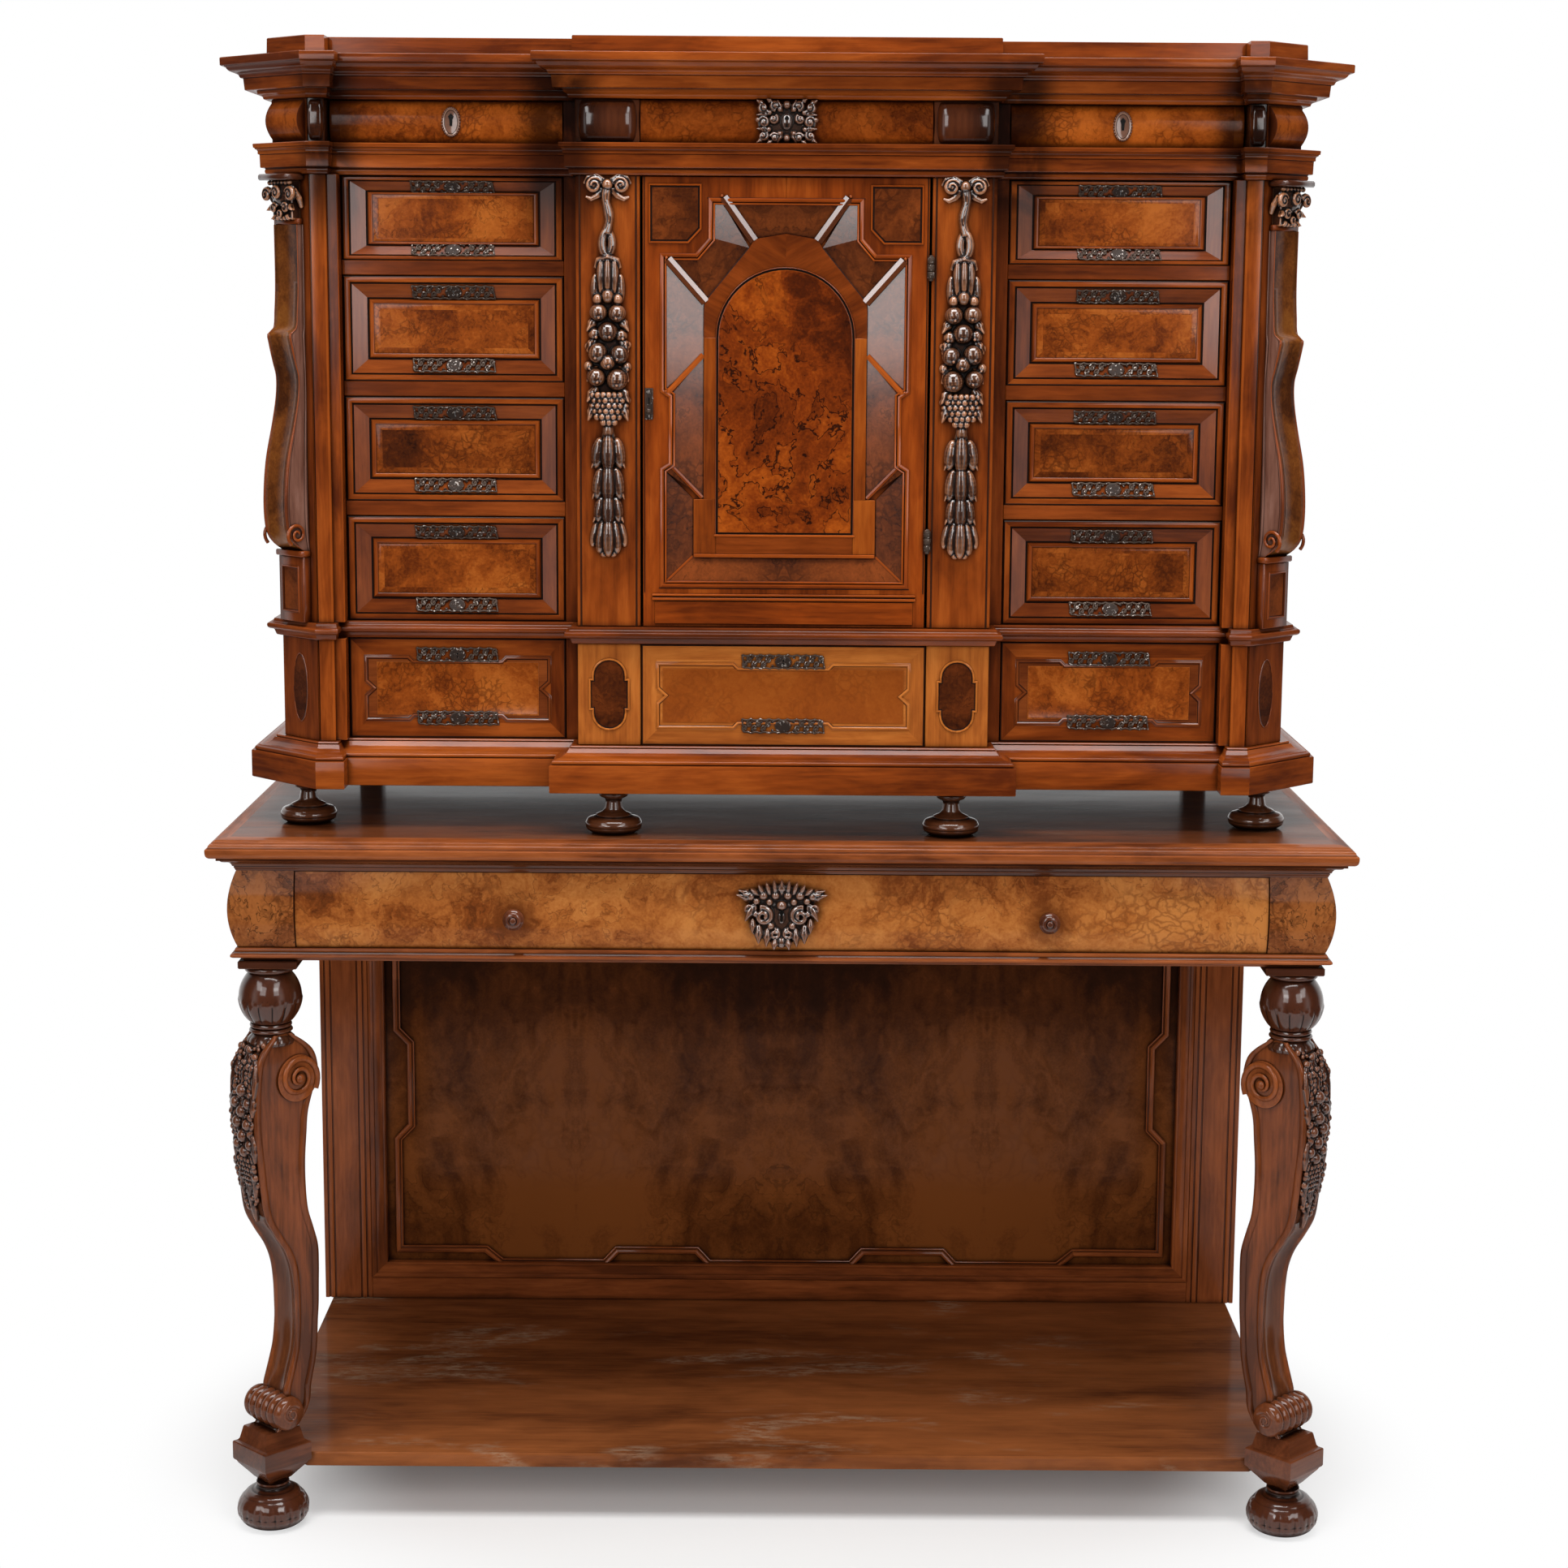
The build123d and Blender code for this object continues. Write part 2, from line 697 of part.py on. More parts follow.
def make_garlands():
    """Carved fruit garlands that hang on the pilasters from a ribbon bow."""
    x = (pilaster_inner + centre_half) / 2
    top = main_top - 2
    outline = [(0, 0), (0.7, 0), (1, 0.03), (0.6, 0.055), (0.2, 0.07), (0.2, 0.23), (0.5, 0.25), (0.85, 0.31),
               (0.9, 0.41), (1, 0.55), (0.8, 0.63), (0.4, 0.68), (0.25, 0.82), (0.4, 0.92), (0, 1)]
    right = [(x + garland_half * out, top - garland_length * fall) for out, fall in outline]
    left = [(x - garland_half * out, top - garland_length * fall) for out, fall in reversed(outline[1:-1])]
    with BuildPart() as garlands:
        relief(right + left, face_centre, 12)
        boss(face_centre, (x, top - garland_length * 0.43), garland_half - 4, garland_length * 0.13, 20, 0.6)
        mirror(about=Plane.YZ)
    save(garlands, "garlands")


# ======================= drawers =======================

def drawer_levels(bottom, height):
    """Bottom and top of a drawer front in its opening."""
    return bottom + run, bottom + height - reveal


def framed_front(x0, x1, z0, z1, face):
    """A drawer front with a bevelled frame around a sunk field, and its burl tablet."""
    board(x0, x1, face, face + front_thick, z0, z1)
    outer = frame_land
    inner = frame_land + frame_slope
    sections = []
    for inset, y in ((outer, face), (inner, face + frame_depth)):
        with BuildSketch(front_plane(y)) as sketch:
            with BuildLine():
                Polyline(*rectangle_points(x0 + inset, x1 - inset, z0 + inset, z1 - inset), close=True)
            make_face()
        sections.append(sketch.sketch)
    loft(sections, ruled=True, mode=Mode.SUBTRACT)
    edge = inner + tablet_gap
    board(x0 + edge, x1 - edge, face + frame_depth - tablet_rise, face + frame_depth - glue,
          z0 + edge, z1 - edge)


def box_boards(centre, half, front, rear, z0, z1):
    """Sides, back and bottom of a drawer box behind its front."""
    inner = half - side_thick
    left, right = centre - half, centre + half
    for x0 in (left, right - side_thick):
        board(x0, x0 + side_thick, front + glue, rear, z0, z1 - side_drop)
    board(centre - inner + glue, centre + inner - glue, rear - side_thick, rear, z0, z1 - side_drop)
    board(centre - inner + glue, centre + inner - glue, front + glue, rear - side_thick - glue,
          z0 + bottom_groove, z0 + bottom_groove + bottom_thick)


drawer_rear = case_back - back_thick - drawer_back_gap
bay_box_centre = (partition_outer + pier_inner) / 2
bay_box_half = (pier_inner - partition_outer) / 2 - run
centre_box_half = pilaster_inner - reveal - run


def make_cabinet_drawer(name, x0, x1, bottom, height, face, box_centre, box_half):
    z0, z1 = drawer_levels(bottom, height)
    with BuildPart() as drawer:
        framed_front(x0, x1, z0, z1, face)
        box_boards(box_centre, box_half, face + front_thick, drawer_rear, z0, z1)
    save(drawer, name)


def make_drawer_plates(name, x0, x1, bottom, height, face):
    """Two iron plates that lie on the bevels above and below the tablet."""
    z0, z1 = drawer_levels(bottom, height)
    middle = frame_land + frame_slope / 2
    tilt = atan2(frame_depth, frame_slope)
    with BuildPart() as plates:
        for z, turn in ((z1 - middle, -1), (z0 + middle, 1)):
            origin = ((x0 + x1) / 2, face + frame_depth / 2, z)
            plane = Plane(origin, x_dir=(1, 0, 0), z_dir=(0, -cos(tilt), turn * sin(tilt)))
            with BuildSketch(plane) as plate:
                Rectangle(plate_length, plate_height)
            extrude(plate.sketch, amount=plate_thick)
            with BuildSketch(plane.offset(plate_thick)) as studs:
                for x in (-plate_length / 2 + 7, -plate_length / 6, plate_length / 6, plate_length / 2 - 7):
                    with Locations((x, 0)):
                        Circle(3)
            extrude(studs.sketch, amount=1.5)
    save(plates, name + "_plates")


def side_places():
    return (("left", -1), ("right", 1))


def make_side_drawers():
    """Four drawers in each bay, numbered from the top."""
    openings = list(reversed(main_openings()))
    for side, sign in side_places():
        inner, outer = partition_outer + reveal, pier_inner - reveal
        x0, x1 = sorted((sign * inner, sign * outer))
        for number, (bottom, height) in enumerate(openings, 1):
            name = f"side_drawer_{side}_{number}"
            make_cabinet_drawer(name, x0, x1, bottom, height, face_bay, sign * bay_box_centre, bay_box_half)
            make_drawer_plates(name, x0, x1, bottom, height, face_bay)


def make_base_drawers():
    for side, sign in side_places():
        inner, outer = partition_outer + reveal, pier_inner - reveal
        x0, x1 = sorted((sign * inner, sign * outer))
        name = f"base_drawer_{side}"
        make_cabinet_drawer(name, x0, x1, base_bottom, base_tier_height, face_bay,
                            sign * bay_box_centre, bay_box_half)
        make_drawer_plates(name, x0, x1, base_bottom, base_tier_height, face_bay)
    half = pilaster_inner - reveal
    make_cabinet_drawer("base_drawer_centre", -half, half, base_bottom, base_tier_height, face_centre,
                        0, centre_box_half - reveal)
    make_drawer_plates("base_drawer_centre", -half, half, base_bottom, base_tier_height, face_centre)


def plain_drawer(name, x0, x1, face, box_centre, box_half):
    """A frieze drawer with a gently swelled front."""
    z0, z1 = drawer_levels(frieze_bottom, frieze_height)
    with BuildPart() as drawer:
        cushion(x0, x1, z0, z1, face + frieze_back, front_thick - frieze_back, frieze_bulge)
        box_boards(box_centre, box_half, face + front_thick, drawer_rear, z0, z1)
    save(drawer, name)


def oval_plate(name, x, z, y):
    with BuildPart() as escutcheon:
        boss(y, (x, z), 17, 20, 5, 0.7)
    save(escutcheon, name)


def make_frieze_drawers():
    middle = (frieze_bottom + frieze_top) / 2
    for side, sign in side_places():
        inner, outer = partition_outer + reveal, pier_inner - reveal
        x0, x1 = sorted((sign * inner, sign * outer))
        name = f"frieze_drawer_{side}"
        plain_drawer(name, x0, x1, face_bay, sign * bay_box_centre, bay_box_half)
        oval_plate(name + "_escutcheon", sign * bay_box_centre, middle, face_bay + frieze_back - frieze_bulge)
    half = pilaster_inner - reveal
    plain_drawer("frieze_drawer_centre", -half, half, face_centre, 0, centre_box_half - reveal)
    shell = [(0, -25), (18, -20), (34, -22), (40, -6), (30, 6), (38, 18), (20, 22), (0, 25)]
    points = shell + [(-x, z) for x, z in reversed(shell[1:-1])]
    with BuildPart() as cartouche:
        relief([(x, middle + z) for x, z in points], face_centre + frieze_back - frieze_bulge, 14)
    save(cartouche, "frieze_drawer_centre_cartouche")


def make_stand_drawer():
    """The wide drawer of the stand, its swelled front, two turned knobs and a carved mask."""
    z0, z1 = drawer_levels(apron_bottom, apron_height)
    half = block_inner - reveal
    face = apron_front + stand_drawer_setback
    box_half = block_inner - drawer_guide - run
    rear = back_face - drawer_back_gap
    with BuildPart() as stand_drawer:
        cushion(-half, half, z0, z1, face, front_thick, stand_bulge)
        box_boards(0, box_half, face + front_thick, rear, z0, z1)
    save(stand_drawer, "stand_drawer")
    crest = face - stand_bulge
    knob_length = crest - slab_front + knob_reach
    middle = (z0 + z1) / 2
    profile = [(7, 0), (8, 9), (knob_radius, 19), (knob_radius - 3, knob_length - 3), (6, knob_length)]
    with BuildPart() as knobs:
        for x in (-knob_x, knob_x):
            plane = Plane((x, crest, middle - knob_drop), x_dir=(0, 0, 1), z_dir=(1, 0, 0))
            with BuildSketch(plane) as section:
                with BuildLine():
                    Spline(*profile, tangents=((0, 1), (-1, 0)))
                    Polyline(profile[-1], (0, knob_length), (0, 0), profile[0])
                make_face()
            revolve(section.sketch, axis=Axis((x, crest, middle - knob_drop), (0, -1, 0)))
    save(knobs, "stand_drawer_knobs")
    outline = [(0, -46), (22, -38), (30, -22), (44, -16), (40, 4), (46, 14), (61, 22), (54, 38),
               (30, 34), (22, 46)]
    points = outline + [(-x, z) for x, z in reversed(outline[1:])]
    with BuildPart() as mask:
        relief([(x, middle + z) for x, z in points], crest - glue, 8)
        boss(crest - glue, (0, middle), 24, 34, 20, 0.6)
    save(mask, "stand_drawer_mask")


# ======================= the door =======================

door_half = pilaster_inner - reveal - 2 * leaf_thick
door_bottom = main_bottom + run
door_top = main_top - reveal
door_face = face_centre + door_setback
door_rear = door_face + door_thick
hinge_x = pilaster_inner - leaf_thick - pin_clearance
hinge_y = face_centre - knuckle_radius


def arch(y, half, foot, crown):
    """An arched outline on the upright plane at y: straight sides under a half round."""
    spring = crown - half
    with BuildSketch(front_plane(y)) as sketch:
        with BuildLine():
            Polyline((-half, spring), (-half, foot), (half, foot), (half, spring))
            ThreePointArc((half, spring), (0, crown), (-half, spring))
        make_face()
    return sketch.sketch


def make_door():
    inner = door_half - stile_width
    top_inner = door_top - top_rail
    bottom_inner = door_bottom + bottom_rail
    with BuildPart() as door_frame:
        pair_of_boards(inner, door_half, door_face, door_rear, door_bottom, door_top)
        board(-inner + glue, inner - glue, door_face, door_rear, door_bottom, bottom_inner)
        board(-inner + glue, inner - glue, door_face, door_rear, top_inner, door_top)
    save(door_frame, "door_frame")
    panel_face = door_rear - panel_thick
    foot = door_bottom + arch_foot
    crown = door_top - arch_crown_drop
    with BuildPart() as door_panels:
        board(-inner + glue, inner - glue, panel_face, door_rear, bottom_inner + glue, top_inner - glue)
        band = arch(panel_face - glue, arch_half + arch_band, foot - arch_band / 2, crown + arch_band)
        extrude(band, amount=band_thick)
        tablet = arch(panel_face - band_thick - 2 * glue, arch_half, foot, crown)
        extrude(tablet, amount=arch_tablet)
        width, height = lower_tablet
        with BuildSketch(front_plane(panel_face - glue)) as lower:
            with Locations((0, door_bottom + lower_tablet_foot + height / 2)):
                Rectangle(width, height)
        extrude(lower.sketch, amount=band_thick)
    save(door_panels, "door_panels")


def knuckle(x, y, z0, z1, hole):
    """One hinge knuckle, bored for the pin when hole is true."""
    with BuildSketch(Plane.XY.offset(z0)) as ring:
        with Locations((x, y)):
            Circle(knuckle_radius)
            if hole:
                Circle(pin_radius + pin_clearance, mode=Mode.SUBTRACT)
    extrude(ring.sketch, amount=z1 - z0)


def make_hinges():
    """Fixed leaves with the outer knuckles and the pins, and the door's ironwork."""
    third = hinge_length / 3
    with BuildPart() as hinge_leaves:
        for rise in hinge_heights:
            z = main_bottom + rise
            knuckle(hinge_x, hinge_y, z, z + third - run, False)
            knuckle(hinge_x, hinge_y, z + 2 * third + run, z + 3 * third, False)
            with BuildSketch(Plane.XY.offset(z)) as pin:
                with Locations((hinge_x, hinge_y)):
                    Circle(pin_radius)
            extrude(pin.sketch, amount=hinge_length)
            for low in (z, z + 2 * third + run):
                board(pilaster_inner - leaf_thick, pilaster_inner, hinge_y, face_centre + leaf_depth,
                      low, low + third - run)
    save(hinge_leaves, "hinge_leaves")
    lock_z = main_bottom + main_tier_height / 2
    with BuildPart() as door_ironwork:
        for rise in hinge_heights:
            z = main_bottom + rise + third
            board(door_half, door_half + leaf_thick, hinge_y, door_face + leaf_depth, z, z + third)
            with BuildSketch(Plane.XY.offset(z)) as barrel:
                with Locations((hinge_x, hinge_y)):
                    Circle(knuckle_radius)
            extrude(barrel.sketch, amount=third)
            with Locations((hinge_x, hinge_y, z + third / 2)):
                Cylinder(pin_radius + pin_clearance, third + 2, mode=Mode.SUBTRACT)
        board(-door_half + 6, -door_half + 24, door_face - plate_thick, door_face, lock_z - 20, lock_z + 20)
    save(door_ironwork, "door_ironwork")


make_slab()
make_stand_mouldings()
make_stand_frame()
make_leg("leg_left")
make_leg("leg_right")
make_leg_heads()
make_foot_blocks()
make_bun_feet()
make_shelf()
make_back()
make_cabinet_feet()
make_plinth()
make_waist()
make_architrave()
make_cornice()
make_cabinet_top()
make_case_boards()
make_partitions()
make_dust_boards()
make_face_frame()
make_frieze_blocks()
make_corner_consoles()
make_garlands()
make_side_drawers()
make_base_drawers()
make_frieze_drawers()
make_stand_drawer()
make_door()
make_hinges()
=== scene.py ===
import json
import math
import random

import bmesh
import bpy
import numpy as np
from mathutils import Matrix, Vector

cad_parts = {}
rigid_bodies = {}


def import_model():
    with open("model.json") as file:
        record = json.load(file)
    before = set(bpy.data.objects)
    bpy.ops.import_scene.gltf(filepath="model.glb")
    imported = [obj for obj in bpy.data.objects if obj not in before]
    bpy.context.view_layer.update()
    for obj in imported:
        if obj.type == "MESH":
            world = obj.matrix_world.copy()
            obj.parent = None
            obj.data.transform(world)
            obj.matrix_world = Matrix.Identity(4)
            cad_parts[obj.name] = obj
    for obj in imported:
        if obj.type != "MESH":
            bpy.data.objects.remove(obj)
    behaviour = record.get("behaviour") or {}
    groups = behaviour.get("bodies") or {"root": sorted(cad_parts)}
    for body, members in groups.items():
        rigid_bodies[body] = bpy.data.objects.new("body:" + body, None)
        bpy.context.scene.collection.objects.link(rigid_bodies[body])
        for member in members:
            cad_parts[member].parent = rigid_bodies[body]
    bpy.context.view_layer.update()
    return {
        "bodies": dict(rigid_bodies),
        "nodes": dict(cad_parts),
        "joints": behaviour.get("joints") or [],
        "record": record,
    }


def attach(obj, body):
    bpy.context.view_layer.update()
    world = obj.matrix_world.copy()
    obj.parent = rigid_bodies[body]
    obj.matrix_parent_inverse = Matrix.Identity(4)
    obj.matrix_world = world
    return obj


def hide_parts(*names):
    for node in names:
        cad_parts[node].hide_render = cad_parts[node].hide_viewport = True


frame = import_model()

# Lengths are millimetres until a piece becomes a mesh. X right, Y back, Z up from the floor.
ACROSS, BACK, UP, FORWARD = (1, 0, 0), (0, 1, 0), (0, 0, 1), (0, -1, 0)
SIDES = (("left", -1), ("right", 1))

# ---- stand ----
APRON_SIDE, APRON_FRONT, BACK_FACE, BACK_REAR = 716, -324, 332, 354
SLAB_FRONT, SLAB_BACK, SLAB_BOTTOM, SLAB_TOP = -358, 362, 937, 962
BLOCK_INNER, APRON_BOTTOM, APRON_TOP = 640, 813, 916
LEG_X, LEG_Y, LEG_BOTTOM, LEG_TOP = 681, -289, 140, 691
FOOT_X, FOOT_Y, REAR_FOOT_Y, BUN_TOP = 691, -299, 312, 62
SHELF_SIDE, SHELF_BOTTOM, SHELF_TOP = 705, 78, 98
ABACUS_TOP = 794

# ---- cabinet ----
PLINTH_BOTTOM, BASE_BOTTOM, BASE_TOP = 1020, 1079, 1214
MAIN_BOTTOM, MAIN_TOP = 1236, 1814
FRIEZE_BOTTOM, FRIEZE_TOP, CAP_BOTTOM = 1854, 1909, 1964
CENTRE_HALF, PIER_INNER, PIER_OUTER, CANT, CASE_SIDE = 269, 577, 613, 54, 667
FACE_CENTRE, FACE_BAY, FACE_PIER, CASE_BACK = -283, -229, -263, 312
PILASTER_INNER, PARTITION_OUTER, DRAWER_REAR = 187, 288, 280
PIER_STEP = 590
REVEAL, RUN = 1.2, 0.3
MAIN_DRAWERS = ((1706, 108), (1550, 137), (1394, 137), (1236, 139))
DOOR_HALF, DOOR_BOTTOM, DOOR_TOP, DOOR_FACE = 183.4, 1236.3, 1812.8, -282


# ======================= finishes =======================

class Value:
    """One socket of a finish's node tree; sums and products of values add their nodes."""

    def __init__(self, shader, socket):
        self.shader = shader
        self.socket = socket

    def combine(self, other, operation, turned=False):
        sides = (other, self) if turned else (self, other)
        vectors = any(isinstance(side, tuple) or getattr(side, "is_vector", False) for side in sides)
        kind = "ShaderNodeVectorMath" if vectors else "ShaderNodeMath"
        sockets = {place: (side,) * 3 if vectors and isinstance(side, (int, float)) else side
                   for place, side in enumerate(sides)}
        return self.shader.node(kind, {"operation": operation}, sockets)

    @property
    def is_vector(self):
        return self.socket.type in ("VECTOR", "RGBA")

    def __add__(self, other):
        return self.combine(other, "ADD")

    def __radd__(self, other):
        return self.combine(other, "ADD", True)

    def __sub__(self, other):
        return self.combine(other, "SUBTRACT")

    def __rsub__(self, other):
        return self.combine(other, "SUBTRACT", True)

    def __mul__(self, other):
        return self.combine(other, "MULTIPLY")

    def __rmul__(self, other):
        return self.combine(other, "MULTIPLY", True)

    def sine(self):
        return self.shader.node("ShaderNodeMath", {"operation": "SINE"}, {0: self})

    def length(self):
        return self.shader.node("ShaderNodeVectorMath", {"operation": "LENGTH"}, {0: self}, "Value")

    def part(self, axis):
        return self.shader.node("ShaderNodeSeparateXYZ", {}, {0: self}, axis)

    def between(self, low, high):
        """0 below low, 1 above high, eased in the middle."""
        return self.shader.node("ShaderNodeMapRange", {"interpolation_type": "SMOOTHSTEP"},
                                {"Value": self, "From Min": low, "From Max": high})

    def within(self, low, full, end, gone):
        """Rises from low to full and falls from end to gone."""
        return self.between(low, full) * (1 - self.between(end, gone))


class Shader:
    """The node tree of a material or of the world."""

    def __init__(self, owner):
        self.owner = owner
        owner.use_nodes = True
        self.tree = owner.node_tree
        self.tree.nodes.clear()

    def node(self, kind, settings, sockets, output=0):
        node = self.tree.nodes.new(kind)
        for key, value in settings.items():
            if key == "stops":
                ramp = node.color_ramp
                while len(ramp.elements) < len(value):
                    ramp.elements.new(0.5)
                for stop, (place, colour) in zip(ramp.elements, value):
                    stop.position = place
                    stop.color = (*colour, 1)
            else:
                setattr(node, key, value)
        for key, value in sockets.items():
            socket = node.inputs[key]
            if isinstance(value, Value):
                self.tree.links.new(value.socket, socket)
            elif socket.type == "RGBA" and len(value) == 3:
                socket.default_value = (*value, 1)
            else:
                socket.default_value = value
        return Value(self, node.outputs[output]) if node.outputs else None

    def attribute(self, name, output="Vector"):
        return self.node("ShaderNodeAttribute", {"attribute_name": name}, {}, output)

    def place(self):
        return self.node("ShaderNodeTexCoord", {}, {}, "Object")

    def openness(self, reach):
        """1 in the open, 0 deep in a joint, felt within a reach in metres."""
        return self.node("ShaderNodeAmbientOcclusion", {"samples": 8}, {"Distance": reach}, "AO")

    def noise(self, place, scale=1.0, detail=3.0, rough=0.55, bend=0.0, output="Fac"):
        return self.node("ShaderNodeTexNoise", {}, {"Vector": place, "Scale": scale, "Detail": detail,
                         "Roughness": rough, "Distortion": bend}, output)

    def mix(self, share, first, second, blend="MIX"):
        return self.node("ShaderNodeMix", {"data_type": "RGBA", "blend_type": blend, "clamp_factor": True},
                         {0: share, 6: first, 7: second}, 2)

    def ramp(self, share, *stops):
        return self.node("ShaderNodeValToRGB", {"stops": stops}, {"Fac": share}, "Color")

    def bump(self, height, strength, distance):
        return self.node("ShaderNodeBump", {}, {"Height": height, "Strength": strength, "Distance": distance},
                         "Normal")

    def surface(self, **sockets):
        named = {key.replace("_", " "): value for key, value in sockets.items()}
        return self.surface_of(self.node("ShaderNodeBsdfPrincipled", {}, named))

    def surface_of(self, shader):
        self.node("ShaderNodeOutputMaterial", {}, {"Surface": shader})
        return self.owner


def tinted(colour, factor):
    return tuple(c * factor for c in colour)


# Where the entablature is darkened in blotches: distances from the middle at which the mouldings break, and the
# entablature's height, in metres.
DARKENED_BREAKS = (0.535, 0.575, 0.60, 0.64), (0.22, 0.27, 0.315, 0.36)
DARKENED_RISE = 1.70, 1.80, 1.925, 1.975


def age_and_shade(shader, colour, hollow, dirt, rubbed, grime=0.75, reach=0.012):
    """Hollows and joints darkened by dust and old polish and by painted shade; ridges paler by wear and by painted
    highlight.
    """
    open_share = shader.openness(reach).between(0.30, 0.95)
    # Ridges painted paler: wear and painted highlight. Hollows painted darker: dust and painted shade from their
    # curvature.
    worn_and_lit = (hollow * -1.0).between(0.12, 0.9)
    dark = hollow.between(0.05, 0.7)
    colour = shader.mix(worn_and_lit * 0.40, colour, rubbed)
    colour = shader.mix(dark * grime, colour, dirt)
    place = shader.place()
    # Blotches darkened near the entablature's breaks.
    across, up = (place * (1, 0, 0)).length(), (place * (0, 0, 1)).length()
    outer, inner = (across.within(*stops) for stops in DARKENED_BREAKS)
    blotch = shader.noise(place, 14.0, 4.0, 0.6, 0.5).between(0.22, 0.52)
    colour = shader.mix((outer + inner) * up.within(*DARKENED_RISE) * blotch * 0.85, colour, dirt)
    # Painted shade: joints and corners darkened where nearby surfaces occlude them.
    return shader.mix((1 - open_share) * grime, colour, dirt)


# The last factor turns a finish's deep colour into the colour of its dust and painted shade.
PORE_INK, SCUFFED, DIRT_AND_SHADE_SHARE = (0.03, 0.01, 0.004), (0.34, 0.24, 0.16), 0.10


def timber(name, pale, mid, deep, coat=0.55, streaks=1.0, grime=0.85, scuffs=0.0, gloss=1.5, low_shade=0.0):
    """Straight-grained wood: broad colour drift, soft figure, fine streaks and open pores."""
    s = Shader(bpy.data.materials.new(name))
    grain = s.attribute("wood")
    hollow = s.attribute("hollow", "Fac")
    drift = s.noise(grain * (2.2, 11.0, 11.0), 1.0, 4.0, 0.6)
    figure = s.noise(grain * (9.0, 34.0, 34.0), 1.0, 4.0, 0.6, 0.5)
    lines = ((grain * (0.0, 1.0, 1.0)).length() * 900.0 + drift * 70.0).sine()
    streak = s.noise(grain * (7.0, 190.0, 190.0), 1.0, 4.0, 0.6)
    pores = s.noise(grain * (42.0, 1500.0, 1500.0), 1.0, 2.0).between(0.57, 0.70)
    tone = drift + figure * 0.65 + (lines * 0.022 + streak * 0.36) * streaks - (0.325 + 0.18 * streaks)
    if low_shade:
        height = (s.place() * (0, 0, 1)).length()
        tone = tone - (1 - (height + (drift - 0.5) * 0.3).between(0.22, 0.56)) * low_shade
    colour = s.ramp(tone, (0.28, deep), (0.50, mid), (0.74, pale))
    colour = s.mix(pores * 0.40, colour, s.mix(0.6, colour, PORE_INK))
    colour = age_and_shade(s, colour, hollow, tinted(deep, DIRT_AND_SHADE_SHARE), tinted(pale, 1.25), grime)
    rough = drift * 0.12 + pores * 0.15 + 0.46
    smear = s.noise(grain * (6.0, 22.0, 22.0), 1.0, 4.0)
    soot = s.noise(grain * (3.0, 7.0, 7.0), 1.0, 5.0, 0.6, 0.4).between(0.50, 0.72)
    colour = s.mix(soot * 0.34, colour, deep)
    if scuffs:
        wide = s.noise(grain * (1.6, 3.4, 3.4), 1.0, 4.0, 0.6, 0.6)
        colour = s.mix(wide.between(0.42, 0.62) * 0.35, colour, tinted(pale, 1.3))
        patch = s.noise(grain * (2.6, 7.0, 7.0), 1.0, 4.0, 0.65, 0.8).between(0.54, 0.66)
        rub = s.noise(grain * (40.0, 130.0, 130.0), 1.0, 5.0, 0.7).between(0.40, 0.62) * patch
        colour = s.mix(rub * scuffs, colour, SCUFFED)
        rough = rough + rub * 0.2
    height = streak * 0.25 - pores * 1.0
    return s.surface(Base_Color=colour, Roughness=rough, Specular_IOR_Level=0.02,
                     Coat_Weight=smear * 0.4 + (coat - 0.2), Coat_Roughness=0.12, Coat_IOR=gloss,
                     Normal=s.bump(height, 0.22, 0.0004))


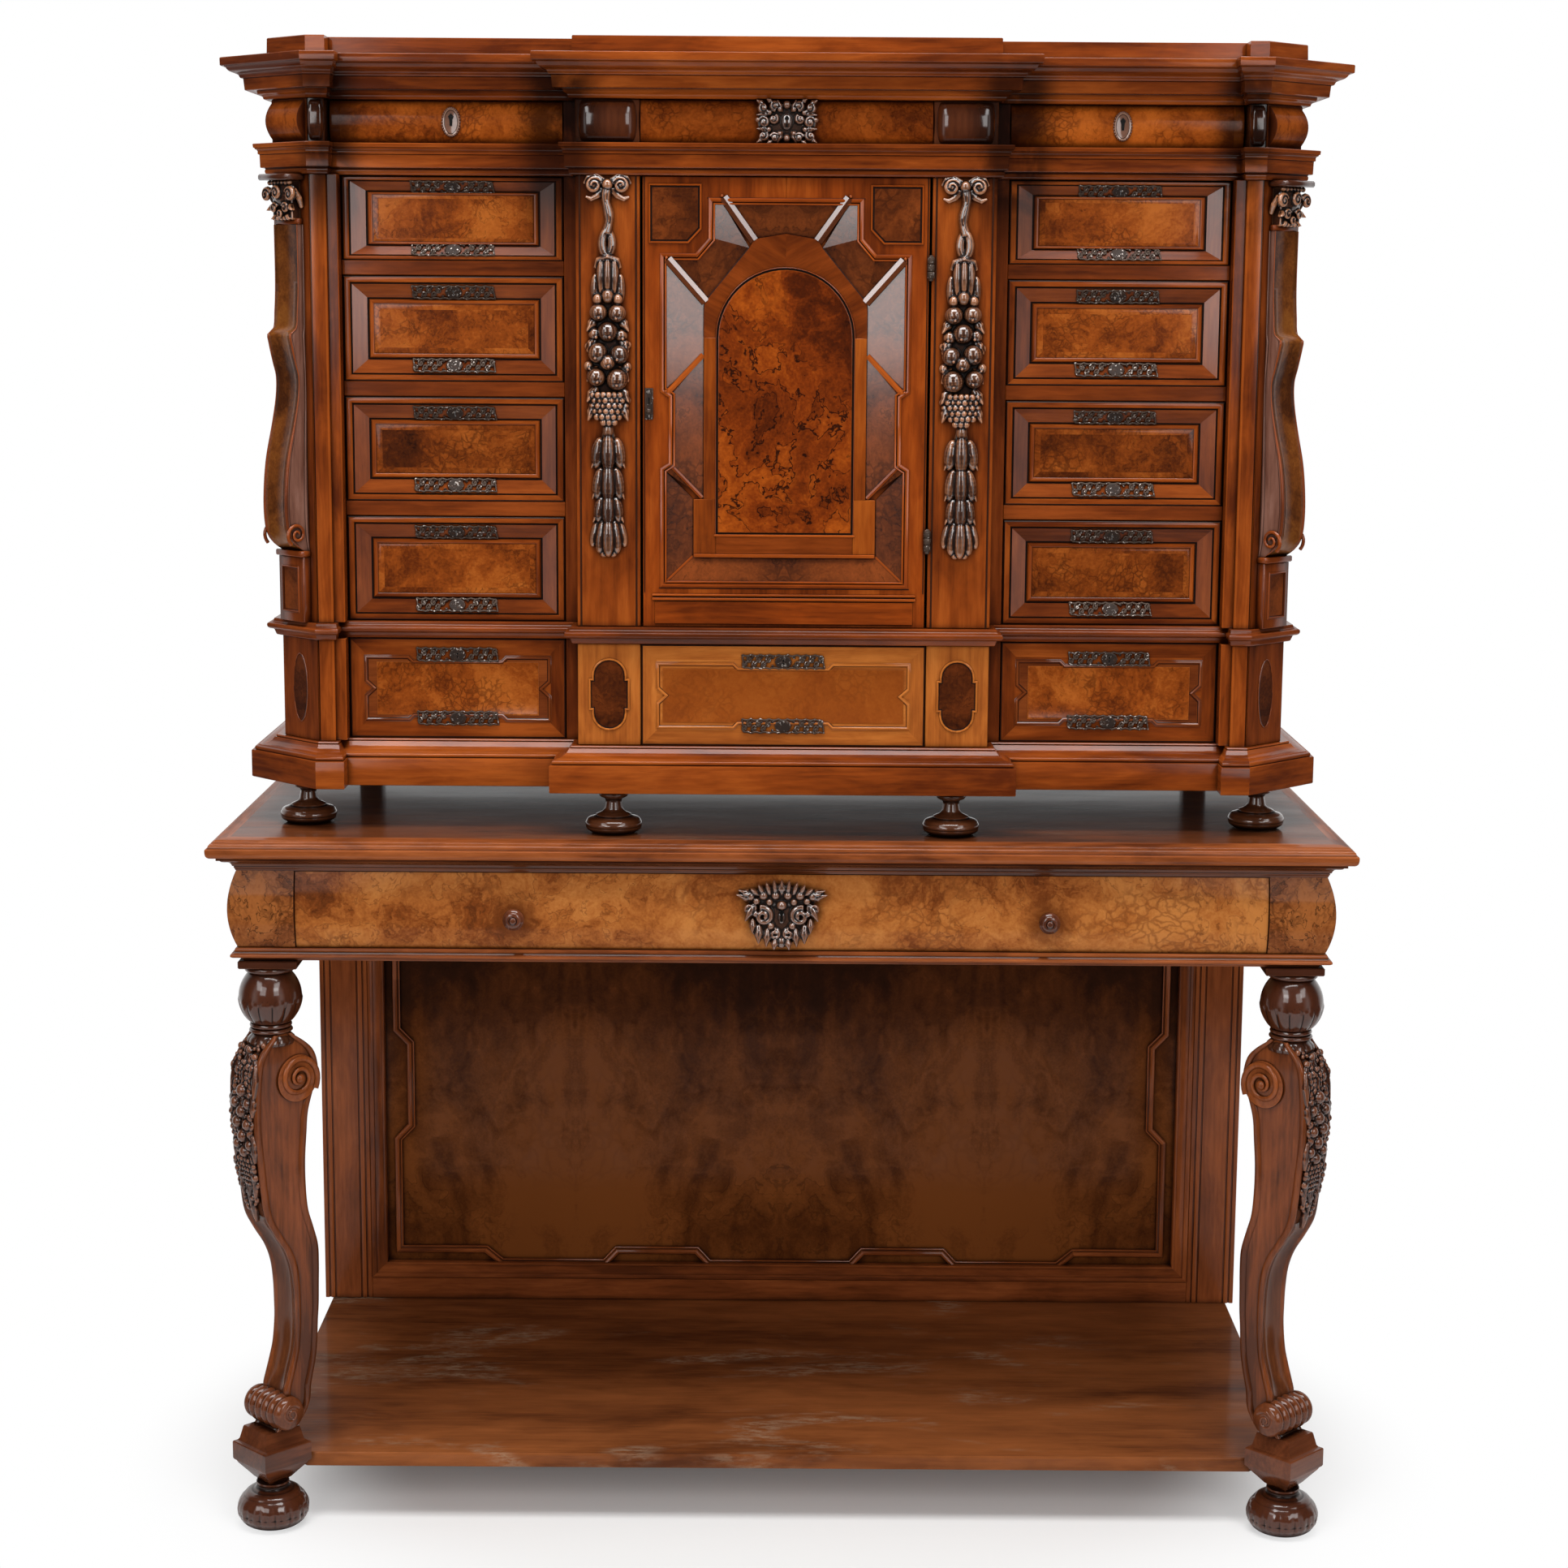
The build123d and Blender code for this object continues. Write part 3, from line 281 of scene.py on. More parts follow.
def burl(name, pale, mid, deep, ink, coat=0.6, scale=1.0, contrast=1.0, grime=0.85, inking=0.4, curls=0.6, gloss=1.5,
         shade_up=None, flame=0.0, smudges=()):
    """Burl veneer: smooth clouds, patches of small curls drawn in thin lines, and long dark contour lines."""
    s = Shader(bpy.data.materials.new(name))
    flat = s.attribute("wood")
    hollow = s.attribute("hollow", "Fac")
    slow = s.noise(flat, 8.0 * scale, 2.0, 0.5, 0.0, "Color")
    fast = s.noise(flat, 55.0 * scale, 3.0, 0.6, 0.0, "Color")
    bent = flat + (slow - 0.5) * (0.07 / scale) + (fast - 0.5) * (0.018 / scale)
    cloud = s.noise(bent, 11.0 * scale, 5.0, 0.6, 0.3)
    slow_drift = s.noise(flat, 4.0, 3.0)
    mottle = s.noise(bent, 75.0 * scale, 5.0, 0.65, 1.2)
    fleck = s.noise(flat, 300.0, 3.0, 0.6)
    patch = s.noise(flat, 17.0 * scale, 3.0, 0.55).between(0.47, 0.60)
    net = s.node("ShaderNodeTexVoronoi", {"feature": "DISTANCE_TO_EDGE"}, {"Vector": bent, "Scale": 105.0 * scale},
                 "Distance")
    curled = (1 - net.between(0.01, 0.17)) * patch
    ring = (cloud * 40.0 + mottle * 3.0).sine()
    long_lines = s.noise(flat, 7.0 * scale, 2.0).between(0.46, 0.56)
    inked = (1 - (ring * ring).between(0.0, 0.07)) * long_lines
    tone = 0.5 + ((cloud - 0.5) * 1.15 + (mottle - 0.5) * 0.42 + (fleck - 0.5) * 0.22) * contrast
    if flame:
        plume = s.noise(flat * (0.30, 1.0, 1.0) + (slow - 0.5) * 0.06, 8.0, 5.0, 0.6, 0.9)
        wisp = s.noise(flat * (0.5, 1.0, 1.0) + (fast - 0.5) * 0.03, 30.0, 4.0, 0.6, 0.7)
        tone = tone + ((plume - 0.5) * 0.75 + (wisp - 0.5) * 0.35) * flame
    if shade_up:
        low, high, amount = shade_up
        height = s.place().part("Z")
        tone = tone - (height + (slow_drift - 0.5) * 0.3).between(low, high) * amount + amount * 0.4
    colour = s.ramp(tone, (0.16, ink), (0.34, deep), (0.50, mid), (0.70, pale))
    shade = s.mix(0.55, deep, ink)
    colour = s.mix(curled * curls, colour, shade)
    colour = s.mix(inked * inking, colour, ink)
    for x, z in smudges:
        away = ((s.place() - (x, 0, z)) * (1, 0, 1)).length()
        colour = s.mix((1 - (away + (mottle - 0.5) * 0.03).between(0.010, 0.045)) * 0.75, colour, shade)
    colour = age_and_shade(s, colour, hollow, tinted(deep, DIRT_AND_SHADE_SHARE), tinted(pale, 1.2), grime)
    return s.surface(Base_Color=colour, Roughness=cloud * 0.12 + 0.42, Specular_IOR_Level=0.02,
                     Coat_Weight=mottle * 0.3 + (coat - 0.15), Coat_Roughness=0.12, Coat_IOR=gloss,
                     Normal=s.bump(mottle * 0.6 - fleck * 0.3, 0.10, 0.0004))


def carved(name, base, ridge, dirt, gloss=1.75):
    """Carved walnut: hollows and joints nearly black from dust and painted shade, ridges bronze-brown from wear and
    painted highlight.
    """
    s = Shader(bpy.data.materials.new(name))
    grain = s.attribute("wood")
    hollow = s.attribute("hollow", "Fac")
    streak = s.noise(grain * (9.0, 160.0, 160.0), 1.0, 4.0, 0.6)
    cloud = s.noise(grain, 30.0, 3.0)
    colour = s.ramp(streak * 0.6 + cloud * 0.4, (0.3, tinted(base, 0.6)), (0.7, base))
    worn_and_lit = (hollow * -1.0 + (cloud - 0.5) * 0.6).between(0.15, 0.75)
    # Ridges painted toward the ridge colour: wear and painted highlight.
    colour = s.mix(worn_and_lit * 0.7, colour, ridge)
    # Hollows, then occluded joints, painted dark: dust and painted shade.
    colour = s.mix(hollow.between(-0.02, 0.25) * 0.92, colour, dirt)
    shade = s.openness(0.02)
    colour = s.mix((1 - shade.between(0.2, 0.85)) * 0.9, colour, dirt)
    rough = cloud * 0.12 + hollow.between(0.0, 0.5) * 0.25 + 0.34
    sheen = (1 - hollow.between(-0.1, 0.35) * 0.92) * shade.between(0.25, 0.8)
    return s.surface(Base_Color=colour, Roughness=rough, Specular_IOR_Level=0.1, Coat_Weight=sheen,
                     Coat_Roughness=0.10, Coat_IOR=gloss, Normal=s.bump(streak, 0.2, 0.0005))


def iron(name):
    """Old blackened iron with brown rust in its hollows, rubbed brighter edges, and glints painted as pale spots in
    its colour.
    """
    s = Shader(bpy.data.materials.new(name))
    place = s.place()
    hollow = s.attribute("hollow", "Fac")
    rust = s.noise(place, 170.0, 4.0, 0.6)
    pits = s.noise(place, 900.0, 3.0)
    colour = s.mix(rust.between(0.5, 0.75), (0.022, 0.012, 0.008), (0.050, 0.020, 0.009))
    colour = s.mix((hollow * -1.0).between(0.2, 1.0) * 0.5, colour, (0.10, 0.065, 0.045))
    # Painted highlight: glints painted as pale spots in the colour.
    glint = s.noise(place, 330.0, 2.0, 0.5, 0.4).between(0.60, 0.68)
    colour = s.mix(glint * 0.85, colour, (0.50, 0.44, 0.40))
    return s.surface(Base_Color=colour, Metallic=glint * 0.5 + 0.25, Specular_IOR_Level=0.3,
                     Roughness=0.40 + rust * 0.25 - glint * 0.15, Normal=s.bump(pits, 0.35, 0.0005))


# Each row: the finish's name, its colours from pale to deep (a carving's: base, ridge, dirt and shade), its other
# settings.
TIMBERS = (
    ("case_walnut", ((0.37, 0.083, 0.0105), (0.230, 0.044, 0.0050), (0.095, 0.016, 0.0025)), {}),
    ("dark_moulding", ((0.27, 0.056, 0.0080), (0.160, 0.030, 0.0045), (0.068, 0.013, 0.0028)), {}),
    ("facet_walnut", ((0.25, 0.058, 0.0100), (0.155, 0.032, 0.0055), (0.08, 0.015, 0.0032)), dict(coat=0.9)),
    ("rail_facet", ((0.29, 0.064, 0.0095), (0.180, 0.036, 0.0055), (0.085, 0.016, 0.0030)), dict(coat=0.2)),
    ("door_walnut", ((0.38, 0.079, 0.0080), (0.245, 0.042, 0.0038), (0.110, 0.018, 0.0022)), {}),
    ("band_walnut", ((0.26, 0.050, 0.0060), (0.155, 0.028, 0.0032), (0.065, 0.011, 0.0020)), {}),
    ("strip_walnut", ((0.36, 0.084, 0.0090), (0.25, 0.049, 0.0045), (0.13, 0.023, 0.0030)), {}),
    ("honey_walnut", ((0.58, 0.186, 0.0330), (0.43, 0.120, 0.0185), (0.23, 0.054, 0.0090)), {}),
    ("stand_walnut", ((0.30, 0.079, 0.0200), (0.190, 0.047, 0.0115), (0.090, 0.022, 0.0062)), dict(coat=0.35)),
    # A lighter copy of stand_walnut: the top's edge, and the moulding under the apron, where it is painted light
    # against the top's shade.
    ("stand_edge", ((0.38, 0.106, 0.0290), (0.26, 0.066, 0.0165), (0.11, 0.026, 0.0075)), dict(coat=0.35)),
    ("foot_walnut", ((0.17, 0.047, 0.0150), (0.100, 0.026, 0.0085), (0.045, 0.012, 0.0045)), dict(coat=0.7)),
    ("leg_walnut", ((0.30, 0.079, 0.0200), (0.190, 0.047, 0.0115), (0.075, 0.019, 0.0056)),
     dict(coat=0.45, low_shade=0.16)),
    ("leg_face", ((0.155, 0.044, 0.0125), (0.092, 0.025, 0.0078), (0.042, 0.012, 0.0042)), dict(coat=0.6)),
    ("pillow_walnut", ((0.12, 0.030, 0.0090), (0.070, 0.017, 0.0055), (0.032, 0.008, 0.0030)),
     dict(coat=1.0, gloss=1.6)),
    ("bar_walnut", ((0.20, 0.048, 0.0100), (0.12, 0.027, 0.0055), (0.06, 0.013, 0.0032)),
     dict(coat=1.0, gloss=2.2)),
    ("top_walnut", ((0.17, 0.047, 0.0140), (0.098, 0.026, 0.0080), (0.045, 0.013, 0.0045)),
     dict(coat=0.38, scuffs=0.2)),
    ("knob_walnut", ((0.15, 0.043, 0.0180), (0.080, 0.022, 0.0095), (0.04, 0.011, 0.0055)), dict(coat=1.0)),
    ("shelf_walnut", ((0.26, 0.080, 0.0225), (0.170, 0.050, 0.0140), (0.08, 0.022, 0.0072)),
     dict(coat=0.15, scuffs=0.55)),
    ("console_side", ((0.30, 0.150, 0.110), (0.19, 0.083, 0.056), (0.10, 0.036, 0.022)), {}),
    ("oak", ((0.42, 0.26, 0.13), (0.33, 0.19, 0.09), (0.20, 0.105, 0.048)), dict(coat=0.2)),
)
BURLS = (
    ("red_burl", ((0.42, 0.112, 0.0150), (0.255, 0.054, 0.0060), (0.115, 0.0215, 0.0030), (0.028, 0.006, 0.0018)),
     dict(coat=0.5)),
    ("deep_burl", ((0.31, 0.076, 0.0100), (0.180, 0.037, 0.0045), (0.080, 0.0155, 0.0025), (0.020, 0.0045, 0.0015)),
     dict(coat=0.4, scale=0.85, contrast=1.15)),
    ("frieze_burl", ((0.34, 0.074, 0.0080), (0.205, 0.040, 0.0042), (0.100, 0.0175, 0.0024),
     (0.024, 0.0050, 0.0015)), dict(coat=0.25, scale=0.9, contrast=1.1)),
    # A lighter copy of frieze_burl for the side friezes, painted light to offset the cornice's shade.
    ("side_frieze_burl", ((0.54, 0.128, 0.0140), (0.35, 0.075, 0.0078), (0.170, 0.032, 0.0042),
     (0.040, 0.0085, 0.0022)), dict(coat=0.3, scale=0.9, contrast=1.1)),
    ("door_burl", ((0.37, 0.075, 0.0055), (0.185, 0.029, 0.0024), (0.075, 0.0115, 0.0016), (0.016, 0.0036, 0.0012)),
     dict(coat=0.5, scale=0.55, contrast=1.15, inking=0.95, curls=0.25, shade_up=(1.25, 1.72, 0.17))),
    ("dark_burl", ((0.20, 0.044, 0.0075), (0.105, 0.022, 0.0042), (0.050, 0.0105, 0.0026), (0.014, 0.0040, 0.0018)),
     dict(coat=0.6, scale=0.8)),
    ("splay_burl", ((0.21, 0.046, 0.0080), (0.110, 0.024, 0.0048), (0.055, 0.0120, 0.0030),
     (0.015, 0.0045, 0.0020)), dict(coat=1.0, scale=0.7, gloss=1.7)),
    ("tan_burl", ((0.53, 0.194, 0.0460), (0.39, 0.121, 0.0245), (0.22, 0.056, 0.0110), (0.08, 0.020, 0.006)),
     dict(coat=0.15, scale=0.62, contrast=1.25, inking=0.45, curls=0.50, smudges=((-0.35, 0.855), (0.35, 0.855)))),
    ("stand_burl", ((0.34, 0.110, 0.0265), (0.205, 0.058, 0.0135), (0.085, 0.023, 0.0065), (0.025, 0.008, 0.004)),
     dict(coat=0.15, scale=0.75, contrast=1.3, inking=0.7, curls=0.5)),
    ("console_burl", ((0.25, 0.083, 0.0140), (0.150, 0.042, 0.0075), (0.070, 0.018, 0.0040),
     (0.022, 0.006, 0.0022)), dict(coat=0.4, scale=0.8, contrast=1.0, inking=0.5, curls=0.5)),
    ("honey_burl", ((0.35, 0.092, 0.0120), (0.265, 0.060, 0.0070), (0.18, 0.036, 0.0050), (0.09, 0.020, 0.004)),
     dict(coat=0.5, scale=0.8, contrast=0.6, inking=0.15, curls=0.3)),
    ("back_burl", ((0.185, 0.054, 0.0115), (0.088, 0.0235, 0.0054), (0.038, 0.0108, 0.0034),
     (0.020, 0.0070, 0.0030)),
     dict(coat=0.12, scale=0.34, contrast=0.75, inking=0.35, curls=0.12, shade_up=(0.28, 0.70, 0.30), flame=0.9)),
)
CARVINGS = (
    ("carving", ((0.050, 0.0155, 0.0065), (0.54, 0.220, 0.098), (0.0035, 0.0015, 0.0010)), dict(gloss=1.85)),
    ("mask_carving", ((0.060, 0.0230, 0.0120), (0.26, 0.102, 0.050), (0.006, 0.0030, 0.0020)), dict(gloss=2.0)),
    ("stand_carving", ((0.060, 0.0165, 0.0062), (0.25, 0.078, 0.028), (0.006, 0.0024, 0.0014)), dict(gloss=1.55)),
    ("polished_walnut", ((0.100, 0.0300, 0.0105), (0.17, 0.050, 0.017), (0.008, 0.0030, 0.0016)), dict(gloss=1.6)),
    ("polished_dark", ((0.080, 0.0200, 0.0068), (0.13, 0.036, 0.012), (0.005, 0.0020, 0.0012)), dict(gloss=1.5)),
    # Near-black finish of grooves, gaps and the sides of bars and facets: painted shade.
    ("groove", ((0.024, 0.0070, 0.0026), (0.040, 0.011, 0.0035), (0.008, 0.0030, 0.0015)), dict(gloss=1.2)),
    ("bronze", ((0.26, 0.120, 0.075), (0.55, 0.33, 0.23), (0.02, 0.010, 0.007)), dict(gloss=1.7)),
    # Near-black finish inside keyholes: painted shade.
    ("hole", ((0.004, 0.003, 0.002), (0.006, 0.004, 0.003), (0.001, 0.001, 0.001)), {}),
)
FINISHES = {name: make(name, *colours, **settings)
            for make, table in ((timber, TIMBERS), (burl, BURLS), (carved, CARVINGS))
            for name, colours, settings in table}
FINISHES["iron"] = iron("iron")


# ======================= meshes =======================

def axes_for(along):
    a = np.array(along, float)
    a /= np.linalg.norm(a)
    other = np.array((0.31, 0.52, 0.79)) if abs(a[0]) > 0.5 or abs(a[1]) > 0.5 else np.array((0.93, 0.33, 0.1))
    b = np.cross(a, other)
    b /= np.linalg.norm(b)
    return np.array((a, b, np.cross(a, b)))


class Piece:
    """Boards, turnings and carvings gathered into one mesh."""

    def __init__(self, name):
        self.name = name
        self.chance = random.Random(sum(ord(c) * (i + 1) for i, c in enumerate(name)))
        self.points, self.faces, self.finishes, self.boards, self.frames = [], [], [], [], []

    def grain(self, along=ACROSS, fold=None):
        """A new board, its grain along a direction; fold mirrors its figure about an X."""
        offset = (self.chance.uniform(-20, 20), self.chance.uniform(0.05, 0.35), self.chance.uniform(0.05, 0.35))
        self.frames.append((axes_for(along), np.array(offset), fold))
        return len(self.frames) - 1

    def add(self, points, faces, finish, board):
        start = len(self.points)
        self.points.extend(tuple(map(float, p)) for p in points)
        boards = board if isinstance(board, list) else [board] * len(faces)
        kinds = finish if isinstance(finish, list) else [finish] * len(faces)
        self.faces.extend([start + i for i in face] for face in faces)
        self.finishes.extend(kinds)
        self.boards.extend(boards)

    def mesh(self, sharp=33):
        mesh = bpy.data.meshes.new(self.name)
        mesh.from_pydata([(x / 1000, y / 1000, z / 1000) for x, y, z in self.points], [], self.faces)
        names = sorted(set(self.finishes))
        for name in names:
            mesh.materials.append(FINISHES[name])
        order = {name: i for i, name in enumerate(names)}
        mesh.polygons.foreach_set("material_index", [order[n] for n in self.finishes])
        shape = bmesh.new()
        shape.from_mesh(mesh)
        bmesh.ops.recalc_face_normals(shape, faces=shape.faces)
        shape.to_mesh(mesh)
        shape.free()
        paint_coordinates(mesh, self.frames, self.boards)
        mesh.shade_smooth()
        mesh.set_sharp_from_angle(angle=math.radians(sharp))
        return mesh


def read(data, field, width=1, kind=float):
    """A field of mesh data as an array, with a row for each item."""
    values = np.zeros(len(data) * width, kind)
    data.foreach_get(field, values)
    return values.reshape(-1, width) if width > 1 else values


def store(mesh, name, kind, domain, field, values):
    layer = mesh.attributes.new(name, kind, domain)
    layer.data.foreach_set(field, values.astype(np.float32).ravel())


def paint_coordinates(mesh, frames, boards):
    """Store each corner's place in its board, and how hollow the surface is at each point."""
    places, corners = read(mesh.vertices, "co", 3), read(mesh.loops, "vertex_index", kind=int)
    owner = np.repeat(np.array(boards), read(mesh.polygons, "loop_total", kind=int))
    axes, offsets = (np.array([frame[part] for frame in frames]) for part in (0, 1))
    spots = places[corners]
    for number, (_, _, fold) in enumerate(frames):
        if fold is not None:
            mine = owner == number
            spots[mine, 0] = np.abs(spots[mine, 0] - fold / 1000)
    spread = np.einsum("nij,nj->ni", axes[owner], spots) + offsets[owner]
    store(mesh, "wood", "FLOAT_VECTOR", "CORNER", "vector", spread)
    hollow = hollowness(mesh, places, CREASE)
    store(mesh, "hollow", "FLOAT", "CORNER", "value", hollow[corners] * narrowness(mesh, places))


def narrowness(mesh, places):
    """1 at the corners of faces under 2 mm wide, 0 on faces over 6 mm, so that wear, painted highlight and painted
    shade keep to edges.
    """
    ends = read(mesh.edges, "vertices", 2, int)
    lengths = np.linalg.norm(places[ends[:, 0]] - places[ends[:, 1]], axis=1)
    longest = np.maximum.reduceat(lengths[read(mesh.loops, "edge_index", kind=int)],
                                  read(mesh.polygons, "loop_start", kind=int))
    width = read(mesh.polygons, "area") / np.maximum(longest, 1e-6) * 1000
    return np.repeat(np.clip((6 - width) / 4, 0, 1), read(mesh.polygons, "loop_total", kind=int))


# Curvature, per metre, that counts as fully hollow on joinery and on carving.
CREASE, CARVED_CREASE = 450.0, 260.0


def hollowness(mesh, places, reach, soften=0):
    """-1 on ridges to 1 in hollows at each point, averaged with its neighbours soften times."""
    edges = read(mesh.edges, "vertices", 2, int)
    normals = read(mesh.vertex_normals, "vector", 3)
    span = places[edges[:, 1]] - places[edges[:, 0]]
    size = np.maximum((span ** 2).sum(1), 2.5e-7)
    bend, count = np.zeros(len(places)), np.zeros(len(places))
    for mine, sign in ((0, 1), (1, -1)):
        value = 2 * sign * (normals[edges[:, mine]] * span).sum(1) / size
        np.add.at(bend, edges[:, mine], value)
        np.add.at(count, edges[:, mine], 1)
    hollow = np.clip(bend / np.maximum(count, 1) / reach, -1, 1)
    for _ in range(soften):
        total = hollow.copy()
        for mine, other in ((0, 1), (1, 0)):
            np.add.at(total, edges[:, mine], hollow[edges[:, other]])
        hollow = total / (count + 1)
    return hollow


def place_piece(mesh, body, slot, *nodes):
    """Put a finished mesh in the scene as a piece that rides on a body and stands for its nodes."""
    piece = bpy.data.objects.new(mesh.name, mesh)
    bpy.context.scene.collection.objects.link(piece)
    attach(piece, body)
    if nodes:
        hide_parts(*nodes)
    return piece


def done(piece, body, slot, *nodes, sharp=33):
    return place_piece(piece.mesh(sharp), body, slot, *nodes)


CARVING_GRAIN = 2.3     # where a carving's skin lies in its block's figure


def carve(piece, body, slot, *nodes, grid=1.2, rounds=2, finish="carving"):
    """Fuse a carving's overlapping forms into one skin and soften its joints as a gouge leaves them."""
    raw = piece.mesh()
    block = bpy.data.objects.new(piece.name + "_block", raw)
    bpy.context.scene.collection.objects.link(block)
    fuse = block.modifiers.new("fuse", "REMESH")
    fuse.mode = "VOXEL"
    fuse.voxel_size = grid / 1000
    soften = block.modifiers.new("soften", "SMOOTH")
    soften.factor = 0.5
    soften.iterations = rounds
    mesh = bpy.data.meshes.new_from_object(block.evaluated_get(bpy.context.evaluated_depsgraph_get()))
    bpy.data.objects.remove(block)
    mesh.name = piece.name
    mesh.materials.clear()
    mesh.materials.append(FINISHES[finish])
    for name in ("wood", "hollow"):
        if name in mesh.attributes:
            mesh.attributes.remove(mesh.attributes[name])
    places, corners = read(mesh.vertices, "co", 3), read(mesh.loops, "vertex_index", kind=int)
    store(mesh, "wood", "FLOAT_VECTOR", "CORNER", "vector", (places @ axes_for(UP).T + CARVING_GRAIN)[corners])
    store(mesh, "hollow", "FLOAT", "POINT", "value", hollowness(mesh, places, CARVED_CREASE, 2))
    mesh.shade_smooth()
    return place_piece(mesh, body, slot, *nodes)


# ---- outlines and profiles ----

def bent(*stops, steps=5):
    """Profile points from stops (rise, reach, bow); the run to the next stop swells by bow."""
    line = []
    for here, there in zip(stops, stops[1:]):
        line.append((here[0], here[1]))
        bow = here[2] if len(here) > 2 else 0
        if bow:
            rise, reach = there[0] - here[0], there[1] - here[1]
            size = math.hypot(rise, reach)
            for k in range(1, steps):
                share = k / steps
                swell = 4 * bow * share * (1 - share) / size
                line.append((here[0] + rise * share - reach * swell, here[1] + reach * share + rise * swell))
    line.append((stops[-1][0], stops[-1][1]))
    return line


def mirrored(points):
    return points + [(-x, y) for x, y in reversed(points)]


def stand_outline(reach):
    back = SLAB_BACK if reach > 0 else BACK_REAR
    return mirrored([(APRON_SIDE + reach, APRON_FRONT - reach), (APRON_SIDE + reach, back)])


def stand_run(reach):
    """Front and sides of the stand, from the left back corner round to the right."""
    side, front = APRON_SIDE + reach, APRON_FRONT - reach
    return [(-side, BACK_FACE - 0.3), (-side, front), (side, front), (side, BACK_FACE - 0.3)]


def case_outline(reach):
    corner = CANT + reach * 4 / 3
    return mirrored([
        (CENTRE_HALF + reach, FACE_CENTRE - reach), (CENTRE_HALF + reach, FACE_BAY - reach),
        (PIER_STEP - reach * 0.4, FACE_BAY - reach), (PIER_STEP - reach * 0.4, FACE_PIER - reach),
        (PIER_OUTER, FACE_PIER - reach), (PIER_OUTER + corner, FACE_PIER - reach + corner),
        (PIER_OUTER + corner, CASE_BACK)])


def rectangle(x0, x1, z0, z1):
    return [(x0, z0), (x1, z0), (x1, z1), (x0, z1)]


def arched(half, foot, crown, steps=28):
    spring = crown - half
    round_top = [(half * math.cos(math.pi * k / steps), spring + half * math.sin(math.pi * k / steps))
                 for k in range(steps + 1)]
    return [(-half, foot), (half, foot)] + round_top


def inset(outline, by):
    """The outline moved inwards, corner by corner."""
    moved = []
    for before, (x, z), after in zip(outline[-1:] + outline[:-1], outline, outline[1:] + outline[:1]):
        a = Vector((x - before[0], z - before[1])).normalized()
        b = Vector((after[0] - x, after[1] - z)).normalized()
        first, second = Vector((-a.y, a.x)), Vector((-b.y, b.x))
        step = (first + second) * by / max(0.2, 1 + first.dot(second))
        moved.append((x + step.x, z + step.y))
    return moved


def front_place(y):
    """Places (across, up, out) on an upright plane that faces forward at depth y."""
    return lambda x, z, out: (x, y - out, z)


# ---- forms ----

def box(piece, x0, x1, y0, y1, z0, z1, finish, along=ACROSS, edge=0.8):
    """A board with its edges eased."""
    e = min(edge, (x1 - x0) / 3, (y1 - y0) / 3, (z1 - z0) / 3)
    lo, hi = (x0, y0, z0), (x1, y1, z1)
    points, index = [], {}
    for corner in range(8):
        base = [hi[k] if corner >> k & 1 else lo[k] for k in range(3)]
        for axis in range(3):
            p = list(base)
            for k in range(3):
                if k != axis:
                    p[k] += -e if corner >> k & 1 else e
            index[corner, axis] = len(points)
            points.append(p)
    faces = []
    for axis in range(3):
        u, v = [k for k in range(3) if k != axis]
        for side in (0, 1):
            ring = [(0, 0), (1, 0), (1, 1), (0, 1)]
            faces.append([index[(side << axis) | (a << u) | (b << v), axis] for a, b in ring])
        for a in (0, 1):
            for b in (0, 1):
                low = (a << u) | (b << v)
                high = low | (1 << axis)
                faces.append([index[low, u], index[high, u], index[high, v], index[low, v]])
    for corner in range(8):
        faces.append([index[corner, 0], index[corner, 1], index[corner, 2]])
    piece.add(points, faces, finish, piece.grain(along))


def bands(count, rows, ring=True, loop=False):
    """Quads between rows of count points; ring closes each row, loop joins the last row to the first."""
    faces = []
    for j in range(rows if loop else rows - 1):
        k = (j + 1) % rows
        for i in range(count if ring else count - 1):
            n = (i + 1) % count
            faces.append([j * count + i, j * count + n, k * count + n, k * count + i])
    return faces


def capped(count, rows):
    """Closed bands with a face over each end."""
    return bands(count, rows) + [list(range(count))[::-1], list(range((rows - 1) * count, rows * count))]


def flat(rings):
    return [p for ring in rings for p in ring]


def side_boards(piece, ring):
    """A board along each side of a closed ring of points."""
    return [piece.grain(Vector(b) - Vector(a)) for a, b in zip(ring, ring[1:] + ring[:1])]


def loft(piece, rings, finish, along):
    """A skin over rings of points, with a face over each end."""
    piece.add(flat(rings), capped(len(rings[0]), len(rings)), finish, piece.grain(along))


def run_moulding(piece, path, start, profile, finish, closed=True, turned_over=None):
    """Carry a profile of (rise, reach) round a path of plan corners, each length its own board."""
    rings = [[(x, y, start + rise) for x, y in path(reach)] for rise, reach in profile]
    count, total = len(rings[0]), len(rings)
    first = rings[0] + rings[0][:1] if closed else rings[0]
    lengths = [piece.grain(Vector(b) - Vector(a)) for a, b in zip(first, first[1:])]
    faces = bands(count, total, closed, not closed)
    boards = lengths * (len(faces) // len(lengths))
    kinds = [finish] * (len(faces) + 1) + [turned_over or finish]
    if closed:
        faces += capped(count, total)[-2:]
        boards += [piece.grain(), piece.grain()]
    else:
        faces += [list(range(i, total * count, count)) for i in (0, count - 1)]
        boards += lengths[:1] * 2
    piece.add(flat(rings), faces, kinds, boards)


def stepped(piece, outline, profile, place, finishes, field_along=ACROSS):
    """A mitred front: rings of an outline at (inset, out), the last one filled by the field."""
    rings = [[place(x, z, out) for x, z in inset(outline, by)] for by, out in profile]
    count, total = len(outline), len(rings)
    rails = side_boards(piece, rings[0])
    field = piece.grain(field_along)
    *sides, rear, front = capped(count, total)
    kinds, boards = [finishes[0]], [rails[0]]
    for j in range(total - 1):
        kind = finishes[min(j, len(finishes) - 2)]
        kinds += [kind] * count
        boards += [field] * count if kind == finishes[-1] and "burl" in kind else rails
    piece.add(flat(rings), [rear, *sides, front], kinds + [finishes[-1]], boards + [field])


